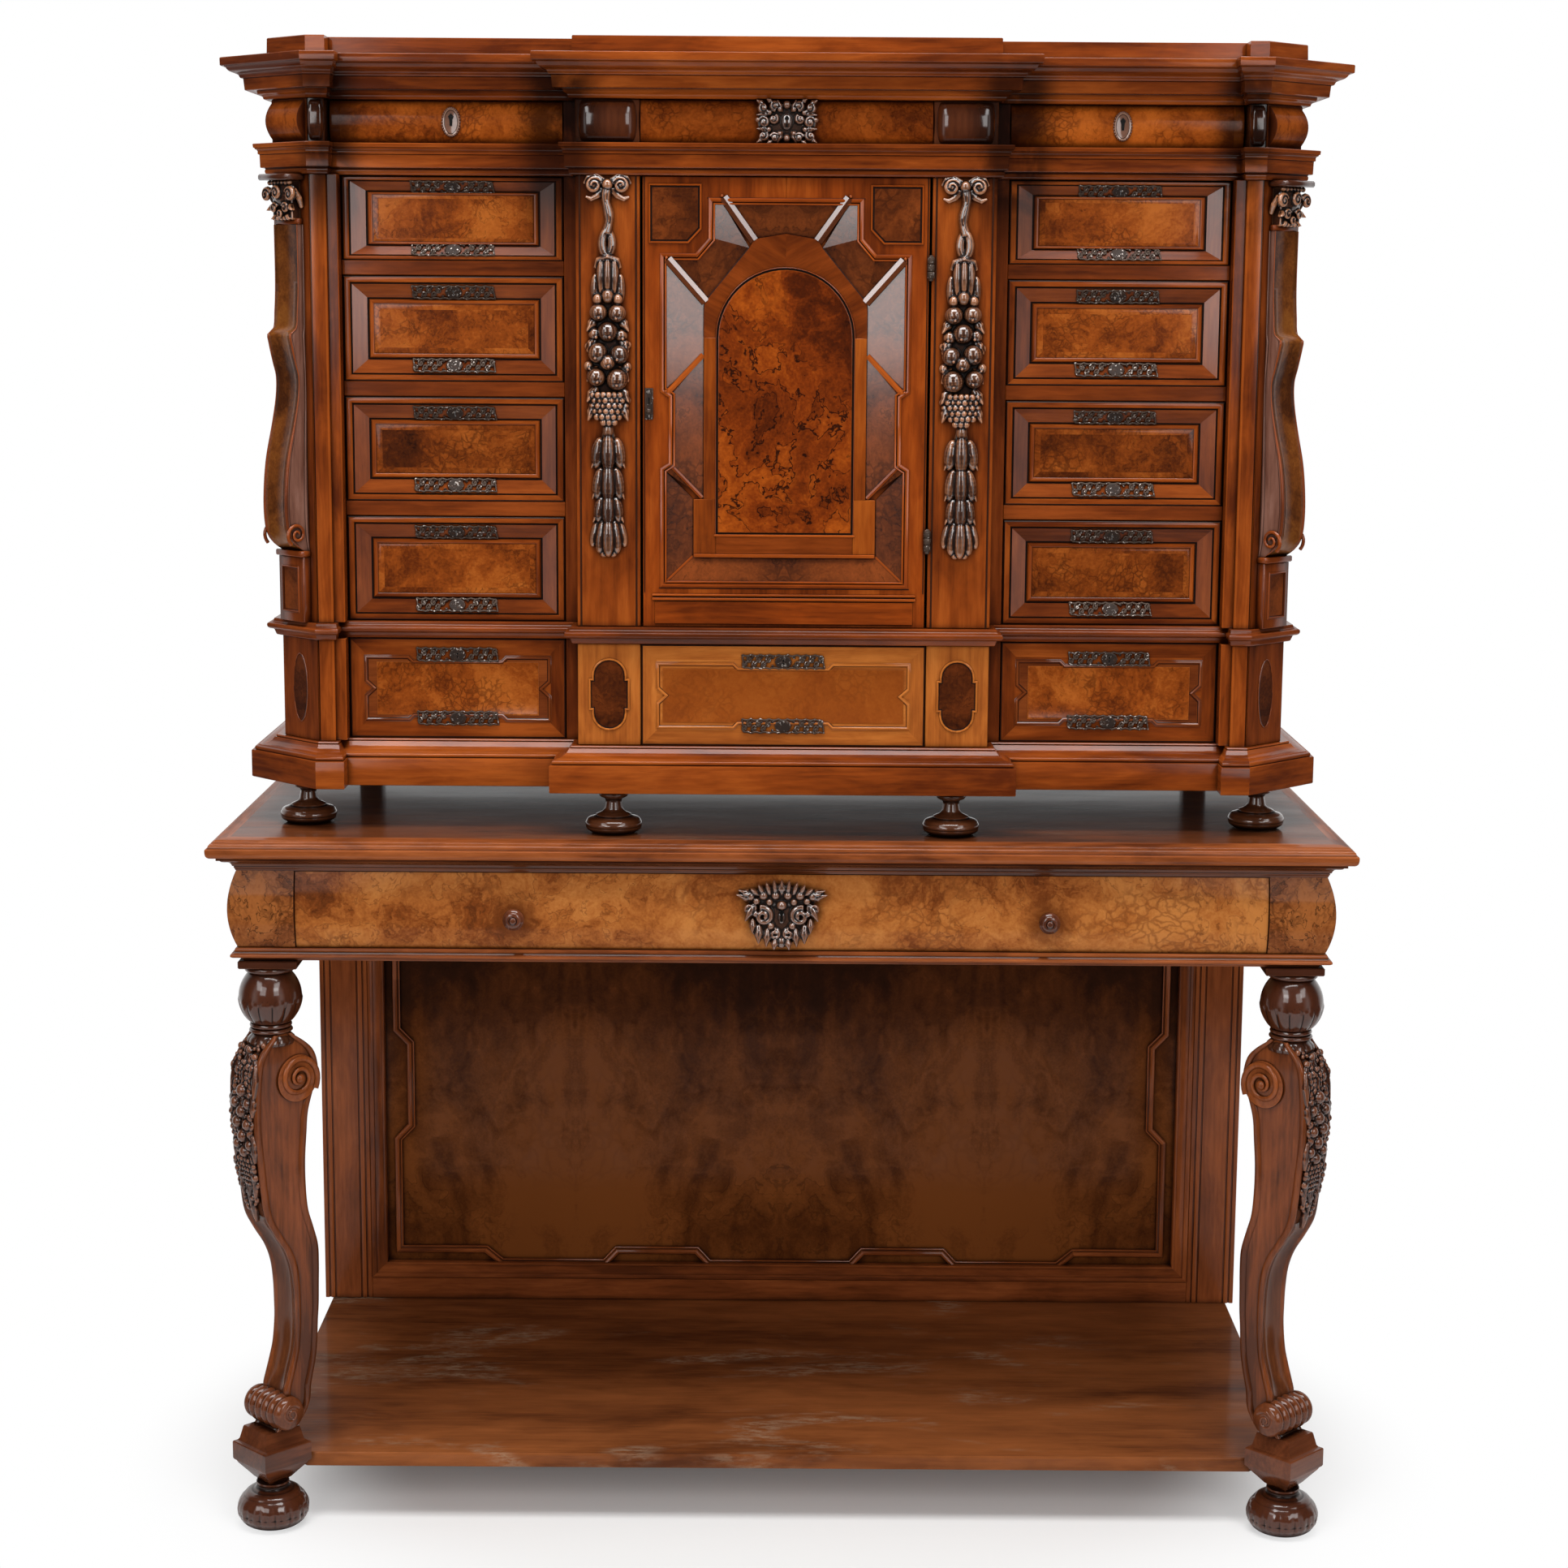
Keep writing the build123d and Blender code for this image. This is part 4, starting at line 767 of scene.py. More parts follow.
def cushion(piece, x0, x1, z0, z1, front, depth, bulge, finishes, along=ACROSS, steps=14):
    """A board whose front swells forward, its ends square."""
    middle, half = (z0 + z1) / 2, (z1 - z0) / 2
    section = [(front + depth, z1), (front + depth, z0)]
    for k in range(steps + 1):
        t = -1 + 2 * k / steps
        section.append((front - bulge * (1 - t * t), middle + half * t))
    count = len(section)
    board, back = piece.grain(along), piece.grain(along)
    swelled = [2 <= i < count - 1 for i in range(count)] + [False] * 2
    faces = bands(count, 2) + [list(range(count)), list(range(count, 2 * count))]
    piece.add([(x, y, z) for x in (x0, x1) for y, z in section], faces,
              [finishes[0] if swell else finishes[1] for swell in swelled],
              [board if swell else back for swell in swelled])


def pillow(piece, centre, half, z0, z1, front, bulge, finish, steps=16):
    """A barrel-sided cushion: both its face and its two ends bulge at mid height."""
    middle, rise = (z0 + z1) / 2, (z1 - z0) / 2
    columns = [math.sin(math.pi / 2 * (2 * k / steps - 1)) for k in range(steps + 1)]
    points = []
    for t in columns:
        swell = math.sqrt(max(0.0, 1 - t * t))
        reach = half - 0.55 * bulge * (1 - swell)
        points += [(centre + reach * u, front - 0.4 - bulge * swell * (1 - abs(u) ** 7), middle + rise * t)
                   for u in columns]
    count, rear = steps + 1, len(points)
    edge = ([*range(count)] + [j * count + steps for j in range(1, count)]
            + [steps * count + k for k in range(steps - 1, -1, -1)] + [j * count for j in range(steps - 1, 0, -1)])
    points += [(points[k][0], front + 3, points[k][2]) for k in edge]
    total = len(edge)
    faces = bands(count, count, ring=False)
    faces += [[edge[(k + 1) % total], edge[k], rear + k, rear + (k + 1) % total] for k in range(total)]
    faces.append([rear + k for k in range(total)][::-1])
    piece.add(points, faces, finish, piece.grain(UP))


def turning(piece, profile, centre, finish, axis=UP, sides=40, swell=None, along=None):
    """A lathe-turned form from (rise, radius) points; swell(angle, share) shapes lobes and flutes."""
    a = Vector(axis).normalized()
    u = a.orthogonal().normalized() if abs(a.z) < 0.9 else Vector(ACROSS)
    v = a.cross(u)
    base = Vector(centre)
    points = []
    total = len(profile)
    for j, (rise, radius) in enumerate(profile):
        for k in range(sides):
            angle = 2 * math.pi * k / sides
            r = radius * (swell(angle, j / (total - 1)) if swell else 1)
            points.append(base + a * rise + (u * math.cos(angle) + v * math.sin(angle)) * r)
    faces = bands(sides, total)
    for end, ring in ((0, 0), (1, total - 1)):
        cap = len(points)
        points.append(base + a * profile[ring][0])
        for k in range(sides):
            n = (k + 1) % sides
            faces.append([ring * sides + n, ring * sides + k, cap] if not end
                         else [ring * sides + k, ring * sides + n, cap])
    piece.add(points, faces, finish, piece.grain(along or axis))


def ball(piece, centre, radii, finish="carving", turn=0.0, rows=9, sides=14):
    """A plump form: a fruit, bead or berry, of one radius or of three."""
    radii = radii if isinstance(radii, tuple) else (radii,) * 3
    spin = Matrix.Rotation(turn, 3, "Y")
    points, faces = [Vector(UP)], []
    for j in range(1, rows):
        polar = math.pi * j / rows
        for k in range(sides):
            angle = 2 * math.pi * k / sides
            points.append(Vector((math.sin(polar) * math.cos(angle), math.sin(polar) * math.sin(angle),
                                  math.cos(polar))))
    points.append(Vector((0, 0, -1)))
    for k in range(sides):
        n = (k + 1) % sides
        faces.append([0, 1 + k, 1 + n])
        last = 1 + (rows - 2) * sides
        faces.append([len(points) - 1, last + n, last + k])
        for j in range(rows - 2):
            a, b = 1 + j * sides, 1 + (j + 1) * sides
            faces.append([a + k, b + k, b + n, a + n])
    base = Vector(centre)
    placed = [base + spin @ Vector((p.x * radii[0], p.y * radii[1], p.z * radii[2])) for p in points]
    piece.add(placed, faces, finish, piece.grain(UP))


def tapered(width, loss, steps):
    return [width - loss * k / steps for k in range(steps + 1)]


def rope(piece, line, widths, finish="carving", sides=8, flat=1.0, facing=None):
    """A tapering roll along a line of points: a scroll, stem, ribbon or border bead."""
    line = [Vector(p) for p in line]
    points = []
    side = Vector(facing) if facing is not None else Vector(BACK)
    for i, p in enumerate(line):
        ahead = line[min(i + 1, len(line) - 1)] - line[max(i - 1, 0)]
        ahead.normalize()
        across = ahead.cross(side)
        across = across.normalized() if across.length > 1e-4 else ahead.orthogonal().normalized()
        up = across.cross(ahead).normalized()
        width = widths[i] if isinstance(widths, (list, tuple)) else widths
        for k in range(sides):
            angle = 2 * math.pi * k / sides
            points.append(p + across * math.cos(angle) * width + up * math.sin(angle) * width * flat)
    piece.add(points, capped(sides, len(line)), finish, piece.grain(line[1] - line[0]))


def spiral(centre, across, up, start, end, turns, begin=0.0, lift=None, steps=40):
    """Points of a scroll that winds in from a start radius to an end radius."""
    line = []
    c, a, b = Vector(centre), Vector(across), Vector(up)
    rise = Vector(lift) if lift is not None else Vector((0, 0, 0))
    for k in range(steps + 1):
        share = k / steps
        radius = start + (end - start) * share ** 0.8
        angle = begin + 2 * math.pi * turns * share
        line.append(c + a * math.cos(angle) * radius + b * math.sin(angle) * radius + rise * share)
    return line


def leaf(piece, root, tip, width, thick, lobes, curl=0.5, out=FORWARD, rows=14):
    """A carved leaf with lobed edges, a midrib hollow and a tip that curls outward."""
    root, tip, out = Vector(root), Vector(tip), Vector(out).normalized()
    along = tip - root
    size = along.length
    along.normalize()
    across = along.cross(out).normalized()
    columns = (-1.0, -0.72, -0.42, -0.14, 0.0, 0.14, 0.42, 0.72, 1.0)
    front, back = [], []
    for j in range(rows + 1):
        t = j / rows
        shape = math.sin(math.pi * min(1.0, t ** 0.75 * 0.97 + 0.03)) ** 0.7
        shape *= 1 - 0.22 * abs(math.sin(math.pi * lobes * t))
        half = width / 2 * max(shape, 0.06)
        lift = thick * (math.sin(math.pi * min(t + 0.08, 1)) * 0.9 + curl * t * t * 1.6)
        for c in columns:
            dome = (1 - c * c) * 0.75 - (0.5 if c == 0 else 0.0) + 0.25
            p = root + along * (t * size) + across * (c * half)
            front.append(p + out * (lift * 0.5 + thick * dome * 0.8))
            back.append(p - out * (thick * 0.6))
    count = len(columns)
    faces = []
    shift = len(front)
    for j in range(rows):
        for k in range(count - 1):
            a = j * count + k
            faces.append([a, a + 1, a + count + 1, a + count])
            faces.append([shift + a, shift + a + count, shift + a + count + 1, shift + a + 1])
        for k in (0, count - 1):
            a = j * count + k
            faces.append([a, a + count, shift + a + count, shift + a])
    for j in (0, rows):
        for k in range(count - 1):
            a = j * count + k
            faces.append([a, shift + a, shift + a + 1, a + 1])
    piece.add(front + back, faces, "carving", piece.grain(along))


def prism(piece, outline, z0, z1, finish, along=UP):
    """An upright board or post on a plan outline, its edges lightly eased."""
    loft(piece, [[(x, y, z) for x, y in inset(outline, by)]
                 for by, z in ((0.6, z0), (0, z0 + 0.6), (0, z1 - 0.6), (0.6, z1))], finish, along)


MIRROR = Matrix.Diagonal((-1, 1, 1, 1))


def take(piece, other, matrix):
    """Set another piece's forms into this one, turned or mirrored."""
    spin = np.array(matrix.to_3x3())
    shift = len(piece.frames)
    piece.frames.extend((axes @ spin.T, offset, fold) for axes, offset, fold in other.frames)
    points = [matrix @ Vector(p) for p in other.points]
    piece.add(points, other.faces, list(other.finishes), [b + shift for b in other.boards])


def both_sides(piece, other):
    """Set a half into a piece as it is and mirrored, and give the piece back."""
    take(piece, other, Matrix.Identity(4))
    take(piece, other, MIRROR)
    return piece


# ======================= stand =======================

def make_stand_top():
    piece = Piece("stand_top_board")
    profile = bent((0, 12), (0, 29.5), (1, 31, 0.5), (5, 33.6, 0.3), (12, 34), (12.8, 33.2), (13.2, 31.6),
                   (14, 30.8, 1.5), (20, 25.5, 1.2), (24.2, 17), (25, 14), (25, 10), (25, 5))
    run_moulding(piece, stand_outline, SLAB_BOTTOM, profile, "stand_edge", turned_over="top_walnut")
    done(piece, "case", "walnut", "stand_top")


def make_stand_mouldings():
    """Bead and fillet under the apron, cove and fillet under the top, the latter in dark finish as the painted shadow
    under the top.
    """
    piece = Piece("stand_moulding_runs")
    lower = bent((0.3, -33), (0.3, -6), (5, -5), (5.6, 6), (7, 8.4, 0.8), (11, 8), (11.4, 5), (13, 3.4, 0.8),
                 (18.7, 2.2), (18.7, -33))
    run_moulding(piece, stand_run, ABACUS_TOP, lower, "stand_edge", closed=False)
    upper = bent((0.3, -33), (0.3, 0.5), (3.5, 1.8, 0.7), (6, 2), (6.4, 4, -2.2), (13, 13), (14, 16), (16, 18),
                 (16.6, 22), (20.7, 22), (20.7, -33))
    # Dark foot finish on the upper run: painted shadow under the top's edge.
    run_moulding(piece, stand_run, APRON_TOP, upper, "foot_walnut", closed=False)
    done(piece, "case", "walnut", "stand_mouldings")


def swelled_post(piece, x0, x1, y0, y1, z0, z1, bulge, finishes, steps=14):
    """A corner block that swells to the front and to its outer side."""
    rings = []
    for k in range(steps + 1):
        t = -1 + 2 * k / steps
        out, z = bulge * (1 - t * t), z0 + (t + 1) / 2 * (z1 - z0)
        rings.append([(x0, y0 - out, z), (x1 + out, y0 - out, z), (x1 + out, y1, z), (x0, y1, z)])
    front, side = piece.grain(ACROSS), piece.grain(BACK)
    faces = bands(4, steps + 1) + [[0, 1, 2, 3], [steps * 4 + i for i in range(4)]]
    boards = [front, side, side, side] * steps + [side] * 2
    kinds = [finishes[0], finishes[0], finishes[1], finishes[1]] * steps + [finishes[1]] * 2
    piece.add(flat(rings), faces, kinds, boards)


def make_stand_frame():
    right = Piece("stand_frame_half")
    swelled_post(right, BLOCK_INNER, APRON_SIDE, APRON_FRONT, APRON_FRONT + 76, APRON_BOTTOM, APRON_TOP, 11,
                 ("stand_burl", "stand_walnut"))
    box(right, APRON_SIDE - 20, APRON_SIDE, APRON_FRONT + 76.2, BACK_FACE, APRON_BOTTOM, APRON_TOP,
        "stand_walnut", BACK)
    box(right, 596, 681.8, APRON_FRONT + 34, BACK_FACE, ABACUS_TOP, APRON_BOTTOM - 0.2, "oak", BACK)
    box(right, 630, 639.8, APRON_FRONT + 76, BACK_FACE, APRON_BOTTOM, APRON_TOP, "oak", BACK)
    done(both_sides(Piece("stand_frame_boards"), right), "case", "walnut", "stand_frame")


def smooth_line(stops, t):
    """Height-ordered stops (z, value) read at z with an eased curve through them."""
    for i in range(len(stops) - 1):
        z0, v0 = stops[i]
        z1, v1 = stops[i + 1]
        if t <= z1 or i == len(stops) - 2:
            zb, vb = stops[max(i - 1, 0)]
            za, va = stops[min(i + 2, len(stops) - 1)]
            span = z1 - z0
            s = (t - z0) / span
            m0 = (v1 - vb) / max(z1 - zb, 1e-6) * span
            m1 = (va - v0) / max(za - z0, 1e-6) * span
            return ((2 * s ** 3 - 3 * s ** 2 + 1) * v0 + (s ** 3 - 2 * s ** 2 + s) * m0
                    + (-2 * s ** 3 + 3 * s ** 2) * v1 + (s ** 3 - s ** 2) * m1)
    return stops[-1][1]


def limb(piece, place, heights, outer, inner, half, finish, cove, border=8.0, panel=2.6, face_finish=None,
         side_finish=None):
    """A scrolled leg or console: rows across (outward, across) with beaded borders and sunk faces."""
    rows = []
    for z in heights:
        o, i = outer(z), inner(z)
        h = half(z) if callable(half) else half
        dip = cove(z)
        k = min(1.0, (o - i) / 44)
        b = border * k
        one = [(o - 0.30 * b, h), (o - 0.06 * b, h - 0.18 * b), (o, h - 0.5 * b), (o - 0.1 * b, h - 0.8 * b),
               (o - 0.3 * b - 0.1, h - b), (o - 0.3 * b - dip * 0.55, h * 0.5), (o - 0.3 * b - dip * 0.9, h * 0.22)]
        face = one + [(o - 0.3 * b - dip, 0)] + [(u, -w) for u, w in reversed(one)]
        side = [(o - 0.65 * b, h), (o - b, h - 0.25 * panel), (o - 1.15 * b, h - panel), (o - 1.5 * b, h - panel),
                ((o + i) / 2, h - panel * 0.8), (i + 1.5 * b, h - panel), (i + 1.15 * b, h - panel),
                (i + b, h - 0.25 * panel), (i + 0.65 * b, h), (i + 0.3 * b, h), (i + 0.06 * b, h - 0.2 * b),
                (i, h - 0.6 * b)]
        ring = [(u, -w) for u, w in reversed(side)] + face[::-1] + side + [(i, 0)]
        rows.append([place(u, w, z) for u, w in ring])
    one_row = [finish] * len(rows[0])
    one_row[:11] = [side_finish or finish] * 11
    one_row[16:22] = [face_finish or finish] * 6
    kinds = one_row * (len(rows) - 1) + [finish] * 2
    piece.add(flat(rows), capped(len(rows[0]), len(rows)), kinds, piece.grain(UP))


LEG_OUTER = [(140, 24), (152, 16), (170, 10), (193, 9), (206, 5), (227, -2), (248, -8), (282, -12), (305, -12),
             (334, -11), (364, -7), (389, 2), (415, 18), (442, 32), (477, 38), (513, 42), (548, 45.5), (577, 47),
             (610, 46), (637, 44), (658, 40), (674, 30), (686, 18), (691, 14)]
LEG_INNER = [(140, -10), (152, -22), (170, -32), (193, -35), (206, -38), (227, -43), (248, -46), (282, -48),
             (305, -50), (334, -51), (364, -52), (389, -51), (415, -44), (442, -36), (477, -33), (513, -33),
             (548, -36), (577, -39), (600, -46), (627, -56), (648, -54), (664, -47), (678, -32), (686, -20),
             (691, -14)]


def leg_place(x, y):
    """Places (outward, across, up) on the left front corner's diagonal."""
    d = math.sqrt(0.5)
    return lambda u, w, z: (x - u * d + w * d, y - u * d - w * d, z)


# The heights of the scroll at the knee and of the roll at the foot, and the roll's half length and reeds.
VOLUTE_RISE, ROLL_RISE, ROLL_HALF, REEDS = 627, 165, 42, 6


def build_leg():
    """The left leg: body with beaded borders, volutes, reeded foot roll."""
    piece = Piece("leg_form")
    place = leg_place(-LEG_X, LEG_Y)
    heights = [LEG_BOTTOM + (LEG_TOP - LEG_BOTTOM) * k / 120 for k in range(121)]

    def cove(z):
        return 6.0 * max(0.0, min(1.0, (455 - z) / 40)) * max(0.0, min(1.0, (z - 185) / 25)) + 0.5
    limb(piece, place, heights, lambda z: smooth_line(LEG_OUTER, z), lambda z: smooth_line(LEG_INNER, z),
         lambda z: 27.5 + 1.5 * max(0, min(1, (z - 600) / 50)), "leg_walnut", cove, 9.0, 3.4, "leg_face")
    d = math.sqrt(0.5)
    outward, across = Vector((-d, -d, 0)), Vector((d, -d, 0))
    for side in (-1, 1):
        centre = Vector(place(-22, side * 28.5, VOLUTE_RISE))
        line = spiral(centre, -outward, UP, 33, 3.5, 2.1, -0.6, across * side * 4, 64)
        widths = tapered(4.6, 2.4, 64)
        rope(piece, line, widths, "leg_walnut", 10, 0.8, across)
        ball(piece, centre + across * side * 4, (6.5, 6.5, 6.5), "leg_walnut")
        turning(piece, [(-1, 32), (1.0, 32), (1.6, 30)], place(-22, side * 27.5, VOLUTE_RISE), "leg_walnut",
                across * side, 48)
    profile = []
    for k in range(REEDS * 8 + 1):
        w = -ROLL_HALF + 2 * ROLL_HALF * k / (REEDS * 8)
        ridge = abs(math.sin(math.pi * REEDS * (w + ROLL_HALF) / (2 * ROLL_HALF)))
        edge = 1 - 0.16 * (w / ROLL_HALF) ** 4
        profile.append((w, (21.5 + 3.8 * ridge ** 0.7) * edge))
    turning(piece, profile, place(10, 0, ROLL_RISE), "foot_walnut", across, 36)
    for side in (-1, 1):
        centre = place(10, side * (ROLL_HALF - 1), ROLL_RISE)
        rope(piece, spiral(centre, -outward, UP, 15, 2.5, 1.6, 0.5, across * side * 2, 40),
             tapered(2.6, 1.2, 40), "foot_walnut", 8, 0.8, across)
    return piece


def build_leg_carving():
    """Fruit and leaves that hang down the leg's outward face."""
    piece = Piece("leg_fruit")
    place = leg_place(-LEG_X, LEG_Y)
    d = math.sqrt(0.5)
    out = Vector((-d, -d, 0))
    chance = random.Random(11)

    def spot(w, z, lift=0.0):
        return Vector(place(smooth_line(LEG_OUTER, z) - 1 + lift, w * 1.28, z))
    for w, z, tw, tz, width in ((0, 668, 0, 628, 22), (-13, 664, -18, 626, 15), (13, 664, 18, 626, 15),
                                (-14, 560, -17, 520, 14), (14, 560, 17, 520, 14), (0, 505, 0, 452, 16),
                                (-9, 520, -12, 478, 12), (9, 520, 12, 478, 12), (-16, 616, -18, 584, 13),
                                (16, 616, 18, 584, 13)):
        leaf(piece, spot(w, z, 0), spot(tw, tz, 1), width, 4.5, 3, 0.4, out)
    z = 678.0
    while z > 452:
        reach = 19.0 * min(1.0, (z - 438) / 60) * min(1.0, (700 - z) / 26)
        w = -reach
        while w <= reach:
            r = chance.uniform(2.8, 5.2)
            ball(piece, spot(w + chance.uniform(-1.5, 1.5), z + chance.uniform(-2, 2), chance.uniform(-0.5, 2.5)),
                 (r, r, r * chance.uniform(0.9, 1.5)), turn=chance.uniform(-0.6, 0.6), rows=6, sides=9)
            w += 6.4
        z -= 7.2
    for w, z, tw, tz, width in ((0, 470, 0, 432, 13), (-18, 655, -20, 610, 11), (18, 655, 20, 610, 11),
                                (-12, 500, -10, 462, 10), (12, 500, 10, 462, 10)):
        leaf(piece, spot(w, z, 0), spot(tw, tz, 1), width, 4.5, 2, 0.4, out)
    for w, z, r in ((0, 618, 9.5), (-11, 600, 8), (11, 602, 8), (0, 590, 9), (-8, 574, 8.5), (9, 573, 8), (0, 556, 9),
                    (-11, 543, 7), (11, 545, 7.5), (0, 534, 8)):
        ball(piece, spot(w, z, 2.5), (r, r, r * 1.05))
    for row in range(6):
        for k in range(-2, 3):
            if abs(k) + row < 7:
                z = 522 - row * 6.4
                w = (k + 0.5 * (row % 2)) * 6.2 * (1 - row * 0.1)
                ball(piece, spot(w, z, 2.5 + chance.uniform(0, 1.5)), 3.6, rows=6, sides=9)
    return piece


def make_legs():
    whole, fruit = build_leg(), build_leg_carving()
    for name, turn in (("leg_left", Matrix.Identity(4)), ("leg_right", MIRROR)):
        piece = Piece(name + "_form")
        take(piece, whole, turn)
        done(piece, "case", "walnut", name, sharp=50)
        piece = Piece(name + "_fruit")
        take(piece, fruit, turn)
        carve(piece, "case", "carved_walnut", finish="stand_carving", grid=1.0, rounds=1)


def make_leg_heads():
    """Neck rings, gadrooned melons, collars and square abaci."""
    left = Piece("leg_head_half")
    centre = (-LEG_X, LEG_Y, LEG_TOP)
    bell = [(-18, 24), (-15, 29.5), (-11, 31), (-7, 29.5), (-3, 26), (1, 23)]

    def curled(angle, share):
        return 1 + 0.05 * abs(math.sin(6 * angle)) ** 0.6 * min(1.0, (1 - share) * 3)
    turning(left, bell, centre, "stand_carving", sides=96, swell=curled)
    rings = bent((0, 22), (0.5, 27, 1.5), (5, 28, 0.5), (6, 25), (7, 25.5, 1.8), (12.5, 27), (14, 23), (17, 22))
    turning(left, rings, centre, "polished_dark", sides=48)
    melon = []
    for k in range(25):
        t = k / 24
        r = 22 + 20.5 * math.sin(math.pi * min(1, max(0, t * 0.93 + 0.035))) ** 0.62
        melon.append((14 + 69 * t, r))

    def lobes(angle, share):
        ridge = abs(math.sin(7 * angle))
        tip = 0.36 + 0.15 * ridge ** 0.6
        leafy = max(0.0, min(1.0, (tip - share) / 0.03)) * min(1.0, share / 0.06)
        return 0.985 + leafy * (0.055 * ridge ** 0.5 - 0.030)
    turning(left, melon, centre, "polished_dark", sides=160, swell=lobes)
    collar = bent((82, 25), (83, 30), (84, 32, 1.4), (90.5, 32), (92, 30), (92.5, 26))
    turning(left, collar, centre, "polished_dark", sides=48)
    box(left, -APRON_SIDE - 1, -BLOCK_INNER + 1, APRON_FRONT - 1, APRON_FRONT + 77, 783, ABACUS_TOP,
        "polished_dark", ACROSS, 1.5)
    done(both_sides(Piece("leg_head_turnings"), left), "case", "walnut", "leg_heads")


def make_feet():
    """Corner-on foot blocks and bun feet with carved undersides."""
    piece = Piece("foot_block_forms")
    steps = [(0, 29), (3, 31), (5, 36), (14, 50), (24, 66), (28, 70), (29, 74), (31, 76), (54, 76), (55.5, 74),
             (57, 66), (60, 62), (76, 55), (78, 53)]
    for x in (-FOOT_X, FOOT_X):
        rings = []
        for rise, side in steps:
            half = side / math.sqrt(2)
            rings.append([(px, py, BUN_TOP + rise) for px, py in
                          ((x + half, FOOT_Y), (x, FOOT_Y + half), (x - half, FOOT_Y), (x, FOOT_Y - half))])
        loft(piece, rings, "foot_walnut", (1, 1, 0))
    done(piece, "case", "walnut", "foot_blocks")
    piece = Piece("bun_feet_turnings")

    def leaves(angle, share):
        zone = max(0.0, 1 - abs(share - 0.35) / 0.3)
        return 1 + zone * (0.035 * abs(math.sin(7 * angle)) ** 0.5 + 0.012 * math.sin(28 * angle) - 0.03)
    bun = bent((0, 26), (1, 31), (3, 36, 1.0), (11, 44.5, 1.0), (20, 47.6, 0.6), (30, 47.8, 1.4), (44, 39, 2.0),
               (50, 28), (52, 24, -1.5), (58, 21), (60, 22.5), (BUN_TOP, 22), steps=7)
    for x in (-FOOT_X, FOOT_X):
        turning(piece, bun, (x, FOOT_Y, 0), "polished_dark", sides=112, swell=leaves)
    for x in (-SHELF_SIDE + 48, SHELF_SIDE - 48):
        turning(piece, bun, (x, REAR_FOOT_Y, 0), "stand_walnut", sides=48)
        box(piece, x - 20, x + 20, REAR_FOOT_Y - 20, REAR_FOOT_Y + 20, BUN_TOP, SHELF_BOTTOM, "stand_walnut", UP)
    done(piece, "case", "walnut", "bun_feet")


def make_shelf():
    piece = Piece("shelf_board")
    front, corner = SLAB_FRONT + 68, FOOT_Y + 54.1
    inner = FOOT_X - (54.1 - (front - FOOT_Y))
    outline = [(-inner, front), (inner, front), (FOOT_X, corner), (SHELF_SIDE, corner), (SHELF_SIDE, BACK_REAR),
               (-SHELF_SIDE, BACK_REAR), (-SHELF_SIDE, corner), (-FOOT_X, corner)]
    edge = ((1.2, SHELF_BOTTOM), (0.2, SHELF_BOTTOM + 1), (0, SHELF_BOTTOM + 3), (0, SHELF_TOP - 4),
            (0.3, SHELF_TOP - 1.5), (1.5, SHELF_TOP), (6, SHELF_TOP))
    loft(piece, [[(x, y, z) for x, y in inset(outline, by)] for by, z in edge], "shelf_walnut", ACROSS)
    done(piece, "case", "walnut", "shelf")


# ======================= cabinet case =======================

def make_cabinet_feet():
    piece = Piece("cabinet_feet_turnings")
    foot = bent((0, 25), (1, 29), (4, 34, 1.0), (10, 37, 1.0), (16, 36.4, 1.0), (20.5, 31), (21.5, 27.5), (22.3, 23),
                (24.5, 23.4), (26, 20.5), (27.5, 17, -1.4), (35, 12), (41, 10.8, -1.2), (46.5, 13.6), (47.5, 16.5),
                (49, 18.4, 0.7), (53.5, 18.8), (54.6, 16.8), (58, 17.4), steps=6)
    for x, y in ((637, -212), (223, -277)):
        for side in (-1, 1):
            turning(piece, foot, (side * x, y, SLAB_TOP), "polished_walnut", sides=56)
    for side in (-1, 1):
        x, y = side * 620, 275
        box(piece, x - 17, x + 17, y - 17, y + 17, SLAB_TOP, PLINTH_BOTTOM, "dark_moulding", UP)
    done(piece, "case", "walnut", "cabinet_feet")


